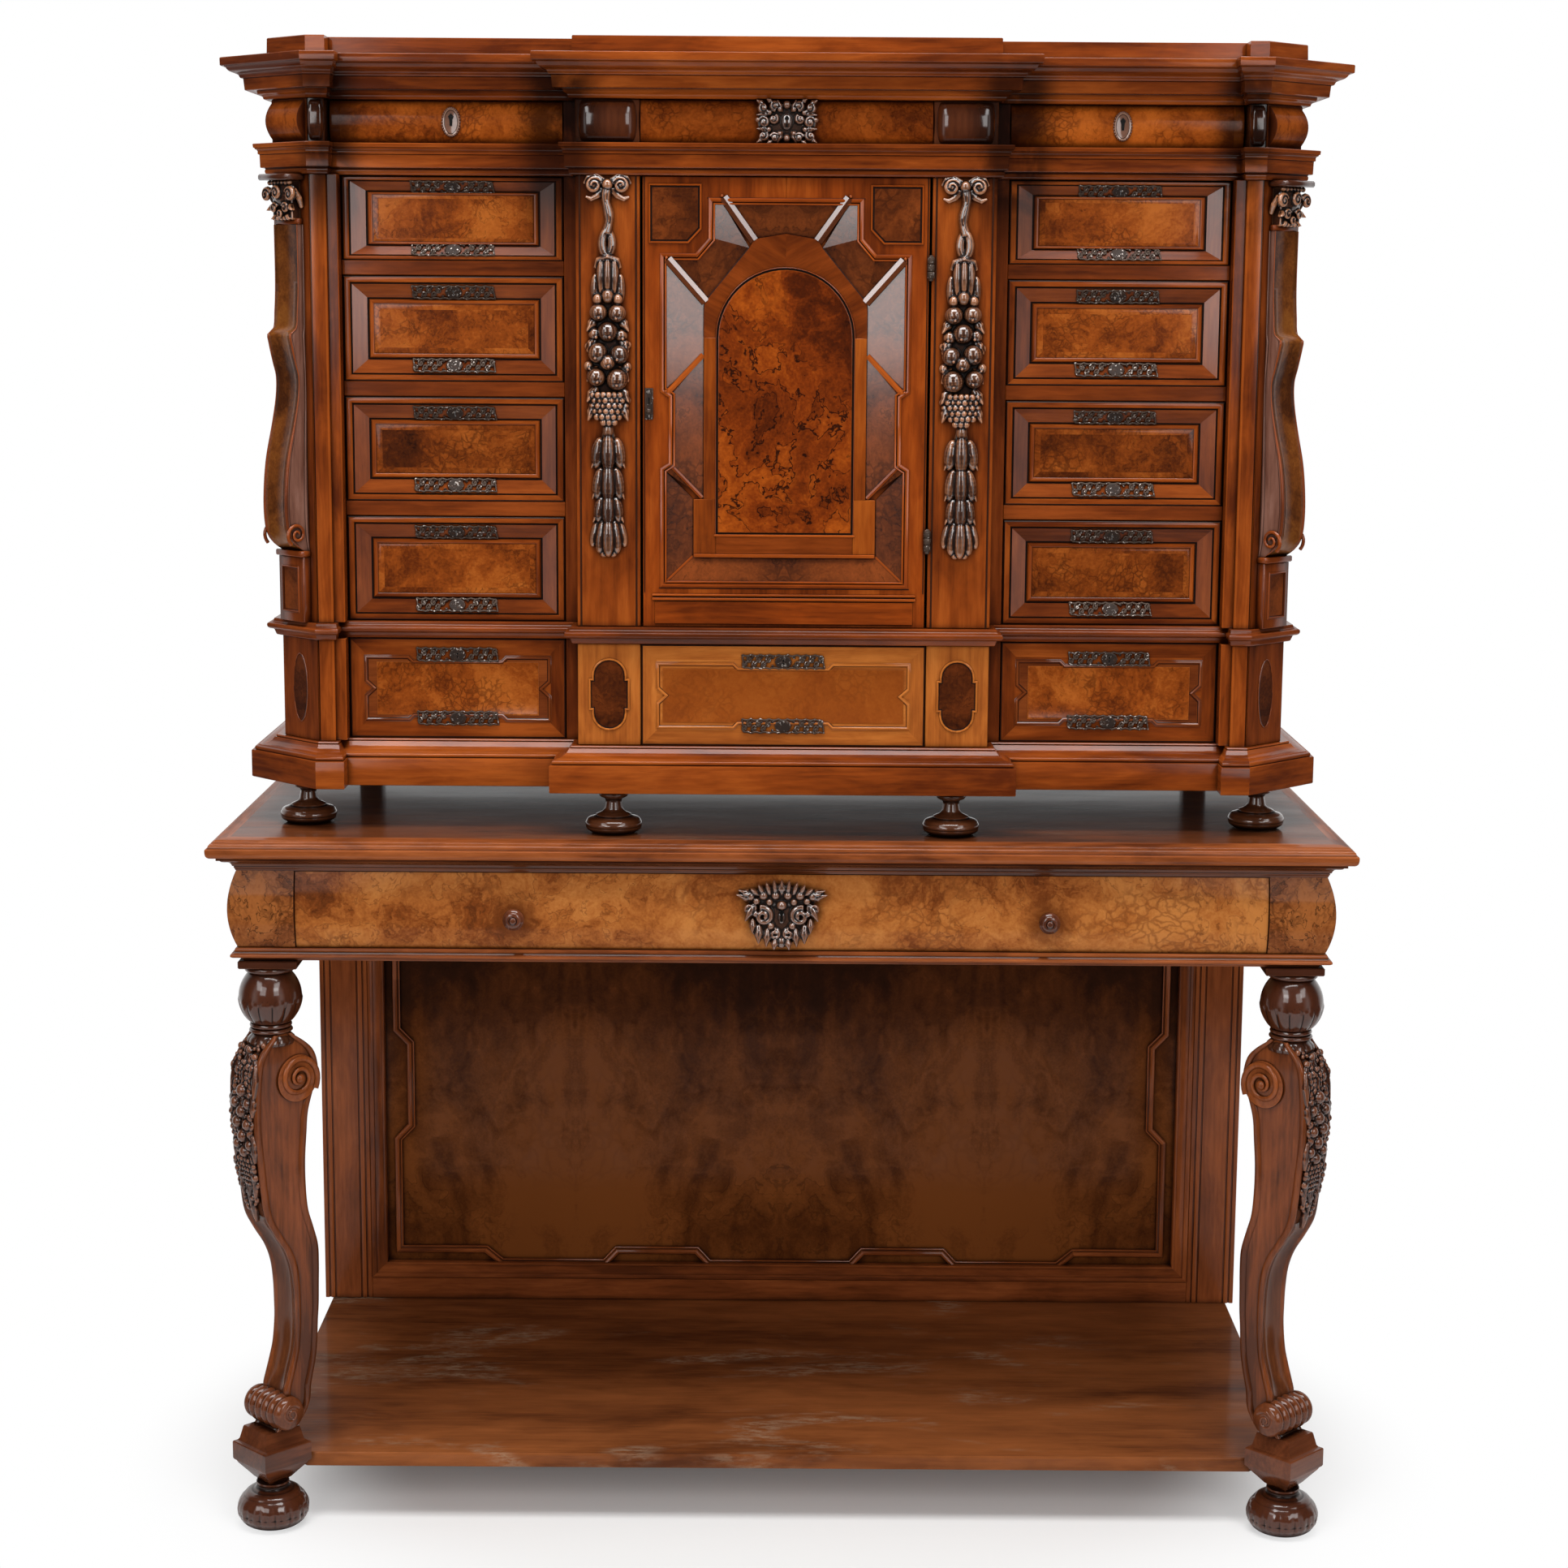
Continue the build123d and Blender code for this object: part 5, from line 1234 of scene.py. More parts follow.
def make_case_mouldings():
    """Plinth, waist, architrave, cornice and top: each a run of moulding round the breaks."""
    runs = (
        ("plinth_run", "cabinet_plinth", PLINTH_BOTTOM, "case_walnut",
         bent((0, 20), (0, 34.6), (0.8, 35.8), (2, 36), (35.4, 36), (36.6, 35.4), (37.1, 34), (37.2, 31.4),
              (38.4, 32.2, 0.5), (42, 31.6), (43, 30.2), (43.4, 28.6), (44.4, 27.6, -2.4), (55, 11.4), (55.8, 10.8),
              (56, 9), (57.6, 9.6), (59, 8.6), (59, 4), (59, 0))),
        ("waist_run", "waist_moulding", BASE_TOP, "dark_moulding",
         bent((0, 0), (0, 5.8), (1, 7), (6.8, 9, 0.3), (7.8, 9.6), (8, 13.6), (9.2, 15.6, 0.8), (14.6, 16.2),
              (15.6, 15), (16, 13.4, -1.4), (21, 9.2), (22, 8.6), (22, 4), (22, 0))),
        ("architrave_run", "architrave", MAIN_TOP, "case_walnut",
         bent((0, 0), (0, 5.6), (1, 7, 0.7), (6.4, 8.2), (7.2, 7.6), (9, 8.4), (9.2, 12.4), (10, 13), (25, 13.4),
              (26, 13.6), (26.4, 15), (28, 15.4, -1.2), (33, 18), (34.4, 18.4), (34.8, 19.8), (39, 20.4), (40, 19.6),
              (40, 14), (40, 4), (40, 0))),
        ("cornice_run", "cornice", FRIEZE_TOP, "case_walnut",
         bent((0, 0), (0, 6), (1, 8, -1.2), (7, 13), (8, 14.2), (11.4, 14.6), (12, 15), (12.3, 26), (13, 27),
              (26.6, 28.2), (27.6, 28.4), (28.2, 31), (29.6, 32, -1.2), (35, 37.5, 1.4), (42, 46), (43.4, 47.6),
              (44, 50.8), (45, 51.8), (53.6, 52), (54.6, 51.4), (55, 50), (55, 40), (55, 10), (55, 4))),
        ("top_run", "cabinet_top", CAP_BOTTOM, "case_walnut",
         bent((0, 3), (0.4, 4), (22, 3.4), (23, 2.4), (23, -4), (23, -8))),
    )
    for name, node, start, finish, profile in runs:
        piece = Piece(name)
        run_moulding(piece, case_outline, start, profile, finish)
        done(piece, "case", "walnut", node)


TIERS = ((BASE_BOTTOM, BASE_TOP), (MAIN_BOTTOM, MAIN_TOP), (FRIEZE_BOTTOM, FRIEZE_TOP))


def make_case_boards():
    right = Piece("case_half")
    lap, inner = 18 * (math.sqrt(2) - 1), 18 / math.sqrt(2)
    corner = [(PIER_OUTER + 0.2, FACE_PIER + 0.2), (CASE_SIDE, FACE_PIER + CANT),
              (CASE_SIDE - 18, FACE_PIER + CANT + lap), (PIER_OUTER + 0.2, FACE_PIER + 2 * inner + 0.2)]
    for bottom, top in TIERS:
        box(right, CASE_SIDE - 18, CASE_SIDE, FACE_PIER + CANT + lap + 0.2, CASE_BACK, bottom, top, "case_walnut",
            UP if top - bottom > 100 else BACK)
        prism(right, corner, bottom, top, "dark_moulding")
    piece = Piece("case_board_set")
    both_sides(piece, right)
    for bottom, top in TIERS:
        box(piece, -CASE_SIDE + 18.2, CASE_SIDE - 18.2, CASE_BACK - 12, CASE_BACK, bottom, top, "oak", ACROSS)
    done(piece, "case", "walnut", "case_boards")


def make_inner_boards():
    right = Piece("partition_half")
    for bottom, top in TIERS:
        box(right, 270, PARTITION_OUTER, FACE_BAY, 299.8, bottom, top, "dark_moulding", UP, 0.4)
        box(right, PIER_INNER, 595, FACE_BAY + 23.2, 299.8, bottom, top, "oak", UP, 0.4)
    for bottom, top in (TIERS[0], TIERS[2]):
        box(right, 185.8, 197.8, FACE_CENTRE + 22.2, 299.8, bottom, top, "oak", UP, 0.4)
    done(both_sides(Piece("partition_boards"), right), "case", "oak", "partitions")
    right = Piece("rail_half")
    for z, _ in MAIN_DRAWERS[:-1]:
        box(right, PARTITION_OUTER, PIER_INNER, FACE_BAY, 299.8, z - 19, z, "dark_moulding", ACROSS, 1.0)
    done(both_sides(Piece("drawer_rails"), right), "case", "walnut", "dust_boards")


def stepped_pier(piece, z0, z1, finish, swell=0.0):
    """A pier: an outer strip with an edge bead, and an inner strip set back beside the drawers."""
    front = [(x, FACE_PIER + dip) for x, dip in ((591, 1.6), (592, 0.3), (594, 0), (610.4, 0.1), (611, 1.4),
                                                 (611.8, 1.4), (612.3, 0.3), (613, 1.0))]
    prism(piece, front + [(613, FACE_BAY + 22), (591, FACE_BAY + 22)], z0, z1, finish)
    if not swell:
        strip = [(577.2, FACE_PIER + 9.6), (578.4, FACE_PIER + 8.4), (591, FACE_PIER + 8.4), (591, FACE_BAY + 22),
                 (577.2, FACE_BAY + 22)]
        prism(piece, strip, z0, z1, finish)
    else:
        pillow(piece, 602, 11, z0 + 2, z1 - 2, FACE_PIER, swell, "pillow_walnut", 12)


def shouldered_oval(cx, cz, half, rise, shoulder=5.0, steps=12):
    """An upright oval panel with a small step where its rounded ends begin."""
    r = half - shoulder
    straight = rise - r
    points = [(cx + half, cz - straight + shoulder), (cx + half, cz + straight - shoulder),
              (cx + r, cz + straight - shoulder)]
    for k in range(steps + 1):
        a = math.pi * k / steps
        points.append((cx + r * math.cos(a), cz + straight + r * math.sin(a)))
    points += [(cx - r, cz + straight - shoulder), (cx - half, cz + straight - shoulder),
               (cx - half, cz - straight + shoulder), (cx - r, cz - straight + shoulder)]
    for k in range(steps + 1):
        a = math.pi * (1 + k / steps)
        points.append((cx + r * math.cos(a), cz - straight + r * math.sin(a)))
    points.append((cx + r, cz - straight + shoulder))
    return points


BEAD_PANEL = [(0, -1), (0, 1.2), (0.7, 2.0), (1.9, 2.2), (2.8, 1.2), (3.3, 0.3), (4.3, 0.2), (7.5, 0.2)]


def make_face_frame():
    right = Piece("face_half")
    for tier, (bottom, top) in enumerate(TIERS):
        pilaster, pier, swell = (("honey_walnut", "case_walnut", 0), ("case_walnut", "case_walnut", 0),
                                 ("foot_walnut", "foot_walnut", 10))[tier]
        box(right, PILASTER_INNER, CENTRE_HALF, FACE_CENTRE, FACE_CENTRE + 22, bottom, top, pilaster, UP, 1.2)
        box(right, CENTRE_HALF - 18, CENTRE_HALF, FACE_CENTRE + 22.2, FACE_BAY + 22, bottom, top, "dark_moulding",
            UP)
        stepped_pier(right, bottom, top, pier, swell)
        # Near-black strips down the middle tier's pilasters: painted shade of their grooves.
        for x in (PILASTER_INNER + 5, CENTRE_HALF - 5):
            if tier == 1:
                box(right, x - 1.1, x + 1.1, FACE_CENTRE - 0.7, FACE_CENTRE + 2, bottom, top, "groove", UP, 0.3)
    # The oval panel's sunk ring takes the near-black groove finish: painted shade.
    stepped(right, shouldered_oval(228, 1146.5, 27, 48, 4.0), BEAD_PANEL, front_place(FACE_CENTRE),
            ["honey_walnut"] * 4 + ["groove"] * 2 + ["dark_burl"] * 2, UP)
    done(both_sides(Piece("face_frame_boards"), right), "case", "walnut", "face_frame")


CANT_TURN = (Matrix.Translation((PIER_OUTER + CANT / 2, FACE_PIER + CANT / 2, 0))
             @ Matrix.Rotation(math.radians(45), 4, "Z"))


def make_frieze_blocks():
    right = Piece("frieze_half")
    z0, z1 = FRIEZE_BOTTOM + 2, FRIEZE_TOP - 2
    pillow(right, 228, 37.5, z0, z1, FACE_CENTRE, 11, "pillow_walnut")
    corner = Piece("frieze_corner")
    cushion(corner, -34, 34, z0, z1, -0.2, 0.4, 13, ("frieze_burl", "dark_moulding"), UP)
    take(right, corner, CANT_TURN)
    done(both_sides(Piece("frieze_cushions"), right), "case", "burl_walnut", "frieze_blocks")


CONSOLE_OUT = [(1330, 9), (1337, 20), (1350, 31), (1372, 36), (1408, 36), (1450, 31), (1495, 20), (1530, 13),
               (1556, 12), (1575, 17), (1600, 23), (1611, 24), (1617, 15), (1640, 12), (1675, 10), (1750, 10)]


def make_corner_consoles():
    """On each canted corner a pedestal, a scrolled console and a leafy capital."""
    corner = Piece("console_corner")
    box(corner, -27, 27, -12, 0.3, MAIN_BOTTOM, 1322, "dark_moulding", UP)
    stepped(corner, rectangle(-19, 19, 1248, 1310), BEAD_PANEL, front_place(-12),
            ["dark_moulding"] * 6 + ["dark_burl"] * 2, UP)
    box(corner, -29, 29, -16, 0.3, 1322, 1330, "dark_moulding", ACROSS, 1.5)
    foot, head = CONSOLE_OUT[0][0], CONSOLE_OUT[-1][0]
    heights = [foot + (head - foot) * k / 105 for k in range(106)]
    limb(corner, lambda u, w, z: (w, -u, z), heights, lambda z: smooth_line(CONSOLE_OUT, z), lambda z: -0.3, 25.5,
         "dark_moulding", lambda z: 2.2, border=6.0, panel=1.0, face_finish="console_burl",
         side_finish="console_side")
    ellipse = [(16.5 * math.cos(math.pi * k / 20), 1147 + 46 * math.sin(math.pi * k / 20)) for k in range(40)]
    stepped(corner, ellipse, [(0, -1), (0, 0.5), (0.6, 1.0), (1.2, 0.5), (1.8, 0.3), (3.5, 0.3)], front_place(0),
            ["dark_moulding"] * 4 + ["dark_burl"] * 2, UP)
    for side in (-1, 1):
        line = spiral((side * 26, -20, 1352), BACK, (0, 0, -1), 16, 2.5, 1.6, 2.2, (side * 1.5, 0, 0), 40)
        rope(corner, line, tapered(2.6, 1.1, 40), "dark_moulding", 8, 0.9, ACROSS)
    box(corner, -26, 26, -9, 0.3, 1750, 1758, "dark_moulding", ACROSS, 1.5)
    box(corner, -31, 31, -30, 0.3, 1806, 1814, "polished_dark", ACROSS, 2.0)
    one = Piece("console_right")
    take(one, corner, CANT_TURN)
    done(both_sides(Piece("corner_console_forms"), one), "case", "walnut", "corner_consoles", sharp=48)
    crown = Piece("capital_corner")
    box(crown, -21, 21, -14, 0.3, 1756, 1806, "carving", UP)
    ball(crown, (0, -10, 1790), (25, 12, 18), "carving")
    for x, z, r, turns in ((-25, 1788, 9.5, 1.6), (0, 1790, 9.0, 1.6), (25, 1788, 9.5, 1.6), (-12, 1771, 7.0, 1.3),
                           (12, 1771, 7.0, 1.3), (0, 1763, 5.5, 1.1)):
        lift = 22 - abs(x) * 0.12 if z > 1780 else 17
        line = spiral((x, -lift, z), (-1 if x > 0 else 1, 0, 0), UP, r, 2.0, turns, 0.3, (0, -2.5, 0), 28)
        rope(crown, line, [r * 0.30 * (1 - 0.4 * k / 28) for k in range(29)], flat=1.3)
        ball(crown, (x, -lift - 1, z), r * 0.34)
    for side in (-1, 1):
        leaf(crown, (side * 13, -12, 1776), (side * 27, -16, 1768), 9, 4, 2)
        leaf(crown, (side * 8, -12, 1762), (side * 20, -14, 1757), 8, 4, 2)
        rope(crown, [(side * 26, -2, 1772), (side * 29, -8, 1783), (side * 27, -15, 1794)], [3, 4, 4], "carving")
    for k in range(-3, 4):
        ball(crown, (k * 7.2, -17, 1803), (3.6, 3.6, 3.2), "carving")
    for k in range(-2, 3):
        ball(crown, (k * 7.6, -15, 1758), (3.2, 3.2, 3.0), "carving")
    one = Piece("capital_right")
    take(one, crown, CANT_TURN)
    carve(both_sides(Piece("capital_leaves"), one), "case", "carved_walnut", grid=1.0, rounds=1)


def make_garlands():
    """Fruit garlands hung from ribbon bows on the pilasters."""
    right = Piece("garland_half")
    x, y = 228, FACE_CENTRE
    chance = random.Random(7)

    def at(dx, z, out=0.0):
        return Vector((x + dx, y - out, z))
    for side in (-1, 1):
        curl = spiral(at(side * 17, 1801, 5), (-side, 0, 0), UP, 10.5, 3.0, 1.5, 0.2, (0, -3, 0), 34)
        rope(right, curl, tapered(3.4, 1.2, 34), flat=1.2)
        ball(right, at(side * 17, 1801, 6), 4)
        tail = [at(side * 6, 1796, 5), at(side * 13, 1788, 5), at(side * 21, 1784, 4), at(side * 28, 1787, 3)]
        rope(right, tail, [4.2, 4.0, 3.2, 1.6], flat=0.7)
        band = [at(side * 4, 1806, 5), at(side * 14, 1813, 5), at(side * 25, 1811, 4), at(side * 30, 1803, 3)]
        rope(right, band, [4.0, 3.8, 3.0, 1.6], flat=0.7)
    ball(right, at(0, 1802, 7), (7, 6, 7))
    line = [at(2.2 * math.sin(7 * t), 1799 - 58 * t, 6) for t in [k / 14 for k in range(15)]]
    rope(right, line, [5.6 + 0.6 * math.sin(k) for k in range(15)], flat=0.8)
    for side in (-1, 1):
        line = [at(side * 6.2 * math.sin(math.pi * t) ** 0.7 + 0.8, 1745 - 34 * t, 6 + side) for t in
                [k / 12 for k in range(13)]]
        rope(right, line, [4.4 + 1.0 * math.sin(math.pi * k / 12) for k in range(13)], flat=0.8)
    ball(right, at(0, 1590, -1), (23, 7, 66), rows=14, sides=20)
    ball(right, at(0, 1440, -1), (13, 6, 60), rows=14, sides=20)

    def pod(dx, z0, z1, radius, out, lean=0.0):
        """A plump bud that hangs from z0 down to z1."""
        half = (z0 - z1) / 2
        ball(right, at(dx, (z0 + z1) / 2, out), (radius, radius * 0.95, half), turn=lean, rows=12, sides=14)
    for dx, z0, z1, r, out in ((0, 1712, 1666, 5.5, 9), (-8.5, 1711, 1664, 5.5, 7), (8.5, 1711, 1664, 5.5, 7),
                               (-16, 1690, 1652, 6, 3), (16, 1690, 1652, 6, 3)):
        pod(dx, z0, z1, r, out)
    rope(right, [at(-15, 1697, 3), at(-12, 1707, 5), at(0, 1711, 9), at(12, 1707, 5), at(15, 1697, 3)],
         [3.2, 4.2, 4.6, 4.2, 3.2], flat=0.9)
    for dx, z, r in ((0, 1662, 8), (-13, 1658, 6), (13, 1658, 6)):
        ball(right, at(dx, z, 8), (r, r, r * 1.1), rows=10, sides=14)
    fruits = ((-12, 1640, 11.5, 15), (12, 1641, 11.5, 15), (0, 1617, 13, 15), (-17, 1612, 8, 9), (17, 1614, 8, 9),
              (-15, 1588, 12, 15), (13, 1590, 12.5, 15), (0, 1578, 10, 20), (-25, 1600, 5, 6), (25, 1598, 5, 6),
              (-12, 1556, 13.5, 16), (15, 1559, 12, 14), (-24, 1572, 6, 6), (25, 1573, 6, 6))
    for dx, z, r, out in fruits:
        ball(right, at(dx, z, out * 0.5), (r, r * 0.95, r * chance.uniform(0.94, 1.1)),
             turn=chance.uniform(-0.5, 0.5), rows=12, sides=18)
        ball(right, at(dx + chance.uniform(-3, 3), z - r * 0.55, out * 0.5 + r * 0.78), 2.0)
    for side in (-1, 1):
        for z, width in ((1630, 12), (1604, 13), (1566, 13), (1540, 14)):
            leaf(right, at(side * 14, z + 7, 2), at(side * 27, z - 13, 5), width, 5.0, 2)
    for row in range(6):
        reach = (3.2, 3.6, 3.2, 2.7, 2.0, 1.2)[row]
        k = -reach
        while k <= reach + 0.01:
            ball(right, at(k * 6.9, 1536 - row * 6.9, 13 - 0.8 * k * k + chance.uniform(-1, 1.5)), (4.6, 4.6, 4.6),
                 rows=7, sides=10)
            k += 1
    for side in (-1, 1):
        leaf(right, at(side * 13, 1534, 3), at(side * 26, 1503, 6), 15, 5, 3, 0.4)
    pod(0, 1502, 1480, 7, 8)
    for top, bottom, spread, r in ((1484, 1440, 13, 9.5), (1446, 1400, 12, 9), (1408, 1370, 11, 8.5)):
        for side in (-1, 1):
            pod(side * spread, top - 2, bottom + 2, r * 0.92, 5, side * -0.14)
        pod(0, top + 3, bottom - 3, r, 9)
        for side in (-1, 1):
            leaf(right, at(side * 5, top - 6, 3), at(side * (spread + 9), bottom + 2, 5), 9, 4, 1)
    for side in (-1, 1):
        pod(side * 9, 1376, 1332, 8, 6, side * -0.12)
        pod(side * 18, 1374, 1340, 5.5, 3, side * -0.2)
        ball(right, at(side * 6, 1332, 5), 5)
    pod(0, 1378, 1328, 8.5, 10)
    for side, node in ((1, "right"), (-1, "left")):
        piece = Piece("garland_" + node)
        take(piece, right, Matrix.Diagonal((side, 1, 1, 1)))
        carve(piece, "case", "carved_walnut", *(("garlands",) if side > 0 else ()), grid=1.0, rounds=1)


# ======================= drawers =======================

def box_boards(piece, centre, half, front, rear, z0, z1, drop=8):
    """Sides, back and bottom of a drawer box behind its front."""
    top = z1 - drop
    for x0 in (centre - half, centre + half - 10):
        box(piece, x0, x0 + 10, front + 0.2, rear, z0, top, "oak", BACK)
    inner = half - 10.2
    box(piece, centre - inner, centre + inner, rear - 10, rear, z0, top, "oak", ACROSS)
    box(piece, centre - inner, centre + inner, front + 0.2, rear - 10.2, z0 + 4, z0 + 10, "oak", ACROSS, 0.3)


# Each front's outer rings take the near-black groove finish as a painted shadow line round the drawer, its sunk rings
# as painted shade.
FRONT_PROFILE = [
    (0, -22, "groove"), (0, -1.0, "groove"), (0.6, -0.2, "groove"), (2.0, 0.4, "case_walnut"),
    (5.0, 0.6, "case_walnut"), (8.2, 0.4, "case_walnut"), (9.0, -0.6, "groove"), (9.5, -2.2, "groove"),
    (10.9, -2.2, "facet_walnut"), (11.4, -0.095, "facet_walnut"), (30.0, -8.0, "groove"),
    (30.6, -9.6, "groove"), (32.2, -9.6, "case_walnut"), (32.8, -7.6, "case_walnut"),
    (34.4, -6.2, "case_walnut"), (36.8, -6.2, "case_walnut"), (38.2, -6.8, "dark_moulding"), (38.8, -7.6, "red_burl"),
    (40.6, -7.5, "red_burl"), (41.2, -7.4, "red_burl"), (44.0, -7.2, "red_burl"), (47, -7.2, "red_burl"),
]


def squared_front(piece, x0, x1, z0, z1, y, profile, squeeze=1.0, field="red_burl"):
    """A framed front on a rectangle; squeeze narrows its top and bottom members."""
    place = front_place(y)
    rings = [[place(x, z, out) for x, z in rectangle(x0 + by, x1 - by, z0 + by * squeeze, z1 - by * squeeze)]
             for by, out, _ in profile]
    rails = [piece.grain(a) for a in (ACROSS, UP, (-1, 0, 0), (0, 0, -1))]
    *sides, rear, front = capped(4, len(rings))
    kinds, boards = ["case_walnut"], [rails[0]]
    for _, _, kind in profile[:-1]:
        level = "rail_facet" if kind == "facet_walnut" else field if kind == "red_burl" else kind
        upright = field if kind == "red_burl" else kind
        kinds += [level, upright, level, upright]
        boards += rails
    piece.add(flat(rings), [rear, *sides, front], kinds + [field], boards + [piece.grain(ACROSS)])


def make_cabinet_drawer(name, x0, x1, bottom, height, centre, squeeze, field):
    z0, z1 = bottom + RUN, bottom + height - REVEAL
    piece = Piece(name + "_joinery")
    squared_front(piece, x0, x1, z0, z1, FACE_BAY, FRONT_PROFILE, squeeze, field)
    box_boards(piece, centre, BAY_HALF, FACE_BAY + 22, DRAWER_REAR, z0, z1)
    done(piece, name, "walnut", name)


def build_plate(keyhole):
    """An openwork iron plate of curled bars between studs, lying flat: x along, y across, z out."""
    piece = Piece("plate_pattern")
    half, tall = 54, 7.6
    rim = []
    waves = 9
    for k in range(72):
        t = k / 72
        if t < 0.5:
            x, side = -half + 2 * half * (t / 0.5), 1
        else:
            x, side = half - 2 * half * ((t - 0.5) / 0.5), -1
        rim.append((x, side * (tall - 1.3 * abs(math.sin(math.pi * waves * (x + half) / (2 * half)))), 0.8))
    rope(piece, rim + [rim[0]], 0.95, "iron", 6, 0.7, UP)
    for x in (-47, -34.5, -22, 22, 34.5, 47):
        for side in (-1, 1):
            line = spiral((x + side * 3.0, side * 2.4, 0.9), ACROSS, (0, side, 0), 4.2, 1.0, 1.2, math.pi / 2,
                          steps=14)
            rope(piece, line, 0.95, "iron", 6, 0.7, UP)
        rope(piece, [(x - 6, -5, 0.7), (x, 0, 0.8), (x + 6, 5, 0.7)], 0.9, "iron", 6, 0.7, UP)
    shield = [(11, 0), (8.5, 4.5), (4, 6.6), (0, 7.4), (-4, 6.6), (-8.5, 4.5), (-11, 0), (-8.5, -4.5), (-4, -6.6),
              (0, -7.4), (4, -6.6), (8.5, -4.5)]
    stepped(piece, shield, [(0, 0.1), (0, 1.2), (0.6, 1.6), (2.2, 1.6)], lambda x, y, out: (x, y, out), ["iron"] * 4)
    if keyhole:
        # Keyhole ring, its opening near-black: painted shade.
        turning(piece, [(1.4, 1.9), (2.3, 1.9), (2.3, 1.2)], (0, 1.4, 0), "iron", UP, 14)
        turning(piece, [(1.5, 1.2), (2.35, 1.15)], (0, 1.4, 0), "hole", UP, 12)
        stepped(piece, [(-0.6, -3.4), (0.6, -3.4), (0.5, 0.8), (-0.5, 0.8)], [(0, 1.2), (0, 1.75)],
                lambda x, y, out: (x, y, out), ["hole"] * 2)
    return piece


def studs_on(piece_name, places, radius, rise, facing, finish):
    """Small domed studs set at every given place, made with nodes and kept as plain mesh."""
    mesh = bpy.data.meshes.new(piece_name)
    mesh.from_pydata([tuple(c / 1000 for c in p) for p in places], [], [])
    holder = bpy.data.objects.new(piece_name + "_places", mesh)
    bpy.context.scene.collection.objects.link(holder)
    tree = bpy.data.node_groups.new(piece_name + "_nodes", "GeometryNodeTree")
    for label, way in (("Places", "INPUT"), ("Studs", "OUTPUT")):
        tree.interface.new_socket(label, in_out=way, socket_type="NodeSocketGeometry")
    kinds = {"start": "NodeGroupInput", "dome": "GeometryNodeMeshUVSphere", "real": "GeometryNodeRealizeInstances",
             "turn": "FunctionNodeAlignRotationToVector", "spread": "GeometryNodeInstanceOnPoints",
             "end": "NodeGroupOutput"}
    nodes = {role: tree.nodes.new(kind) for role, kind in kinds.items()}
    for role, socket, value in (("dome", "Segments", 10), ("dome", "Rings", 6), ("dome", "Radius", radius / 1000),
                                ("turn", "Vector", facing), ("spread", "Scale", (1, 1, rise / radius))):
        nodes[role].inputs[socket].default_value = value
    for source, output, target, socket in (
            ("start", "Places", "spread", "Points"), ("turn", "Rotation", "spread", "Rotation"),
            ("dome", "Mesh", "spread", "Instance"), ("spread", "Instances", "real", "Geometry"),
            ("real", "Geometry", "end", "Studs")):
        tree.links.new(nodes[source].outputs[output], nodes[target].inputs[socket])
    holder.modifiers.new("studs", "NODES").node_group = tree
    bpy.context.view_layer.update()
    result = bpy.data.meshes.new_from_object(holder.evaluated_get(bpy.context.evaluated_depsgraph_get()))
    bpy.data.objects.remove(holder)
    bpy.data.node_groups.remove(tree)
    result.name = piece_name
    result.materials.clear()
    result.materials.append(FINISHES[finish])
    result.shade_smooth()
    return result


# The plates are drawn 15 mm tall and stretched to their height; studs sit in pairs along them, one at each end.
PLATE_STRETCH = 1.22
STUD_ROW, STUD_REACH, STUD_RADIUS, STUD_RISE = (-51, -40.7, -28.3, -14, 14, 28.3, 40.7, 51), 5.6, 1.7, 1.3


def lay_plates(name, spots):
    """Iron plates at spots (place, tilt, keyhole) on one drawer; gives back each one's studs and its facing."""
    piece = Piece(name + "_ironwork")
    studs = []
    for origin, tilt, keyhole in spots:
        normal = Vector((0, -math.cos(tilt), -math.sin(tilt)))
        upward = Vector((0, -math.sin(tilt), math.cos(tilt)))
        matrix = Matrix.Translation(origin) @ Matrix((ACROSS, upward, normal)).transposed().to_4x4()
        take(piece, build_plate(keyhole), matrix @ Matrix.Diagonal((1, PLATE_STRETCH, 1, 1)))
        studs.append(([matrix @ Vector((x, v, 0.8)) for x in STUD_ROW
                       for v in ((-STUD_REACH, STUD_REACH) if abs(x) < STUD_ROW[-1] else (0,))], normal))
    done(piece, name, "iron", name + "_plates", sharp=60)
    return studs


def make_plates(name, x, bottom, height, squeeze):
    """The two iron plates of a drawer, on the bevels above and below its field."""
    z0, z1 = bottom + RUN, bottom + height - REVEAL
    tilt = math.atan2(6.8, 16.8 * squeeze)
    y, reach = FACE_BAY + 3.4, 22.2 * squeeze
    spots = ((x, y, z1 - reach), tilt, True), ((x, y, z0 + reach), -tilt, False)
    for label, (places, facing) in zip(("upper", "lower"), lay_plates(name, spots)):
        mesh = studs_on(f"{name}_studs_{label}", places, STUD_RADIUS, STUD_RISE, facing, "iron")
        place_piece(mesh, name, "iron")


# The outer rings take the near-black groove finish as a painted shadow line round the drawer.
BASE_PROFILE = [
    (0, -22, "groove"), (0, -0.8, "groove"), (0.8, 0, "groove"), (2.0, 0, "case_walnut"),
    (12, 0, "case_walnut"), (20, 0, "case_walnut")]


def beaked(x0, x1, z0, z1, beak=9, step=58, rise=6):
    """A rectangle with a pointed notch in each end and a stepped middle below and above."""
    m, zm = (x0 + x1) / 2, (z0 + z1) / 2
    left = [(x0, zm + beak), (x0 + beak * 1.1, zm), (x0, zm - beak)]
    right = [(x1, zm - beak), (x1 - beak * 1.1, zm), (x1, zm + beak)]
    low = [(m - step - rise, z0), (m - step, z0 + rise), (m + step, z0 + rise), (m + step + rise, z0)]
    high = [(m + step + rise, z1), (m + step, z1 - rise), (m - step, z1 - rise), (m - step - rise, z1)]
    return [(x0, z0)] + low + [(x1, z0)] + right + [(x1, z1)] + high + [(x0, z1)] + left


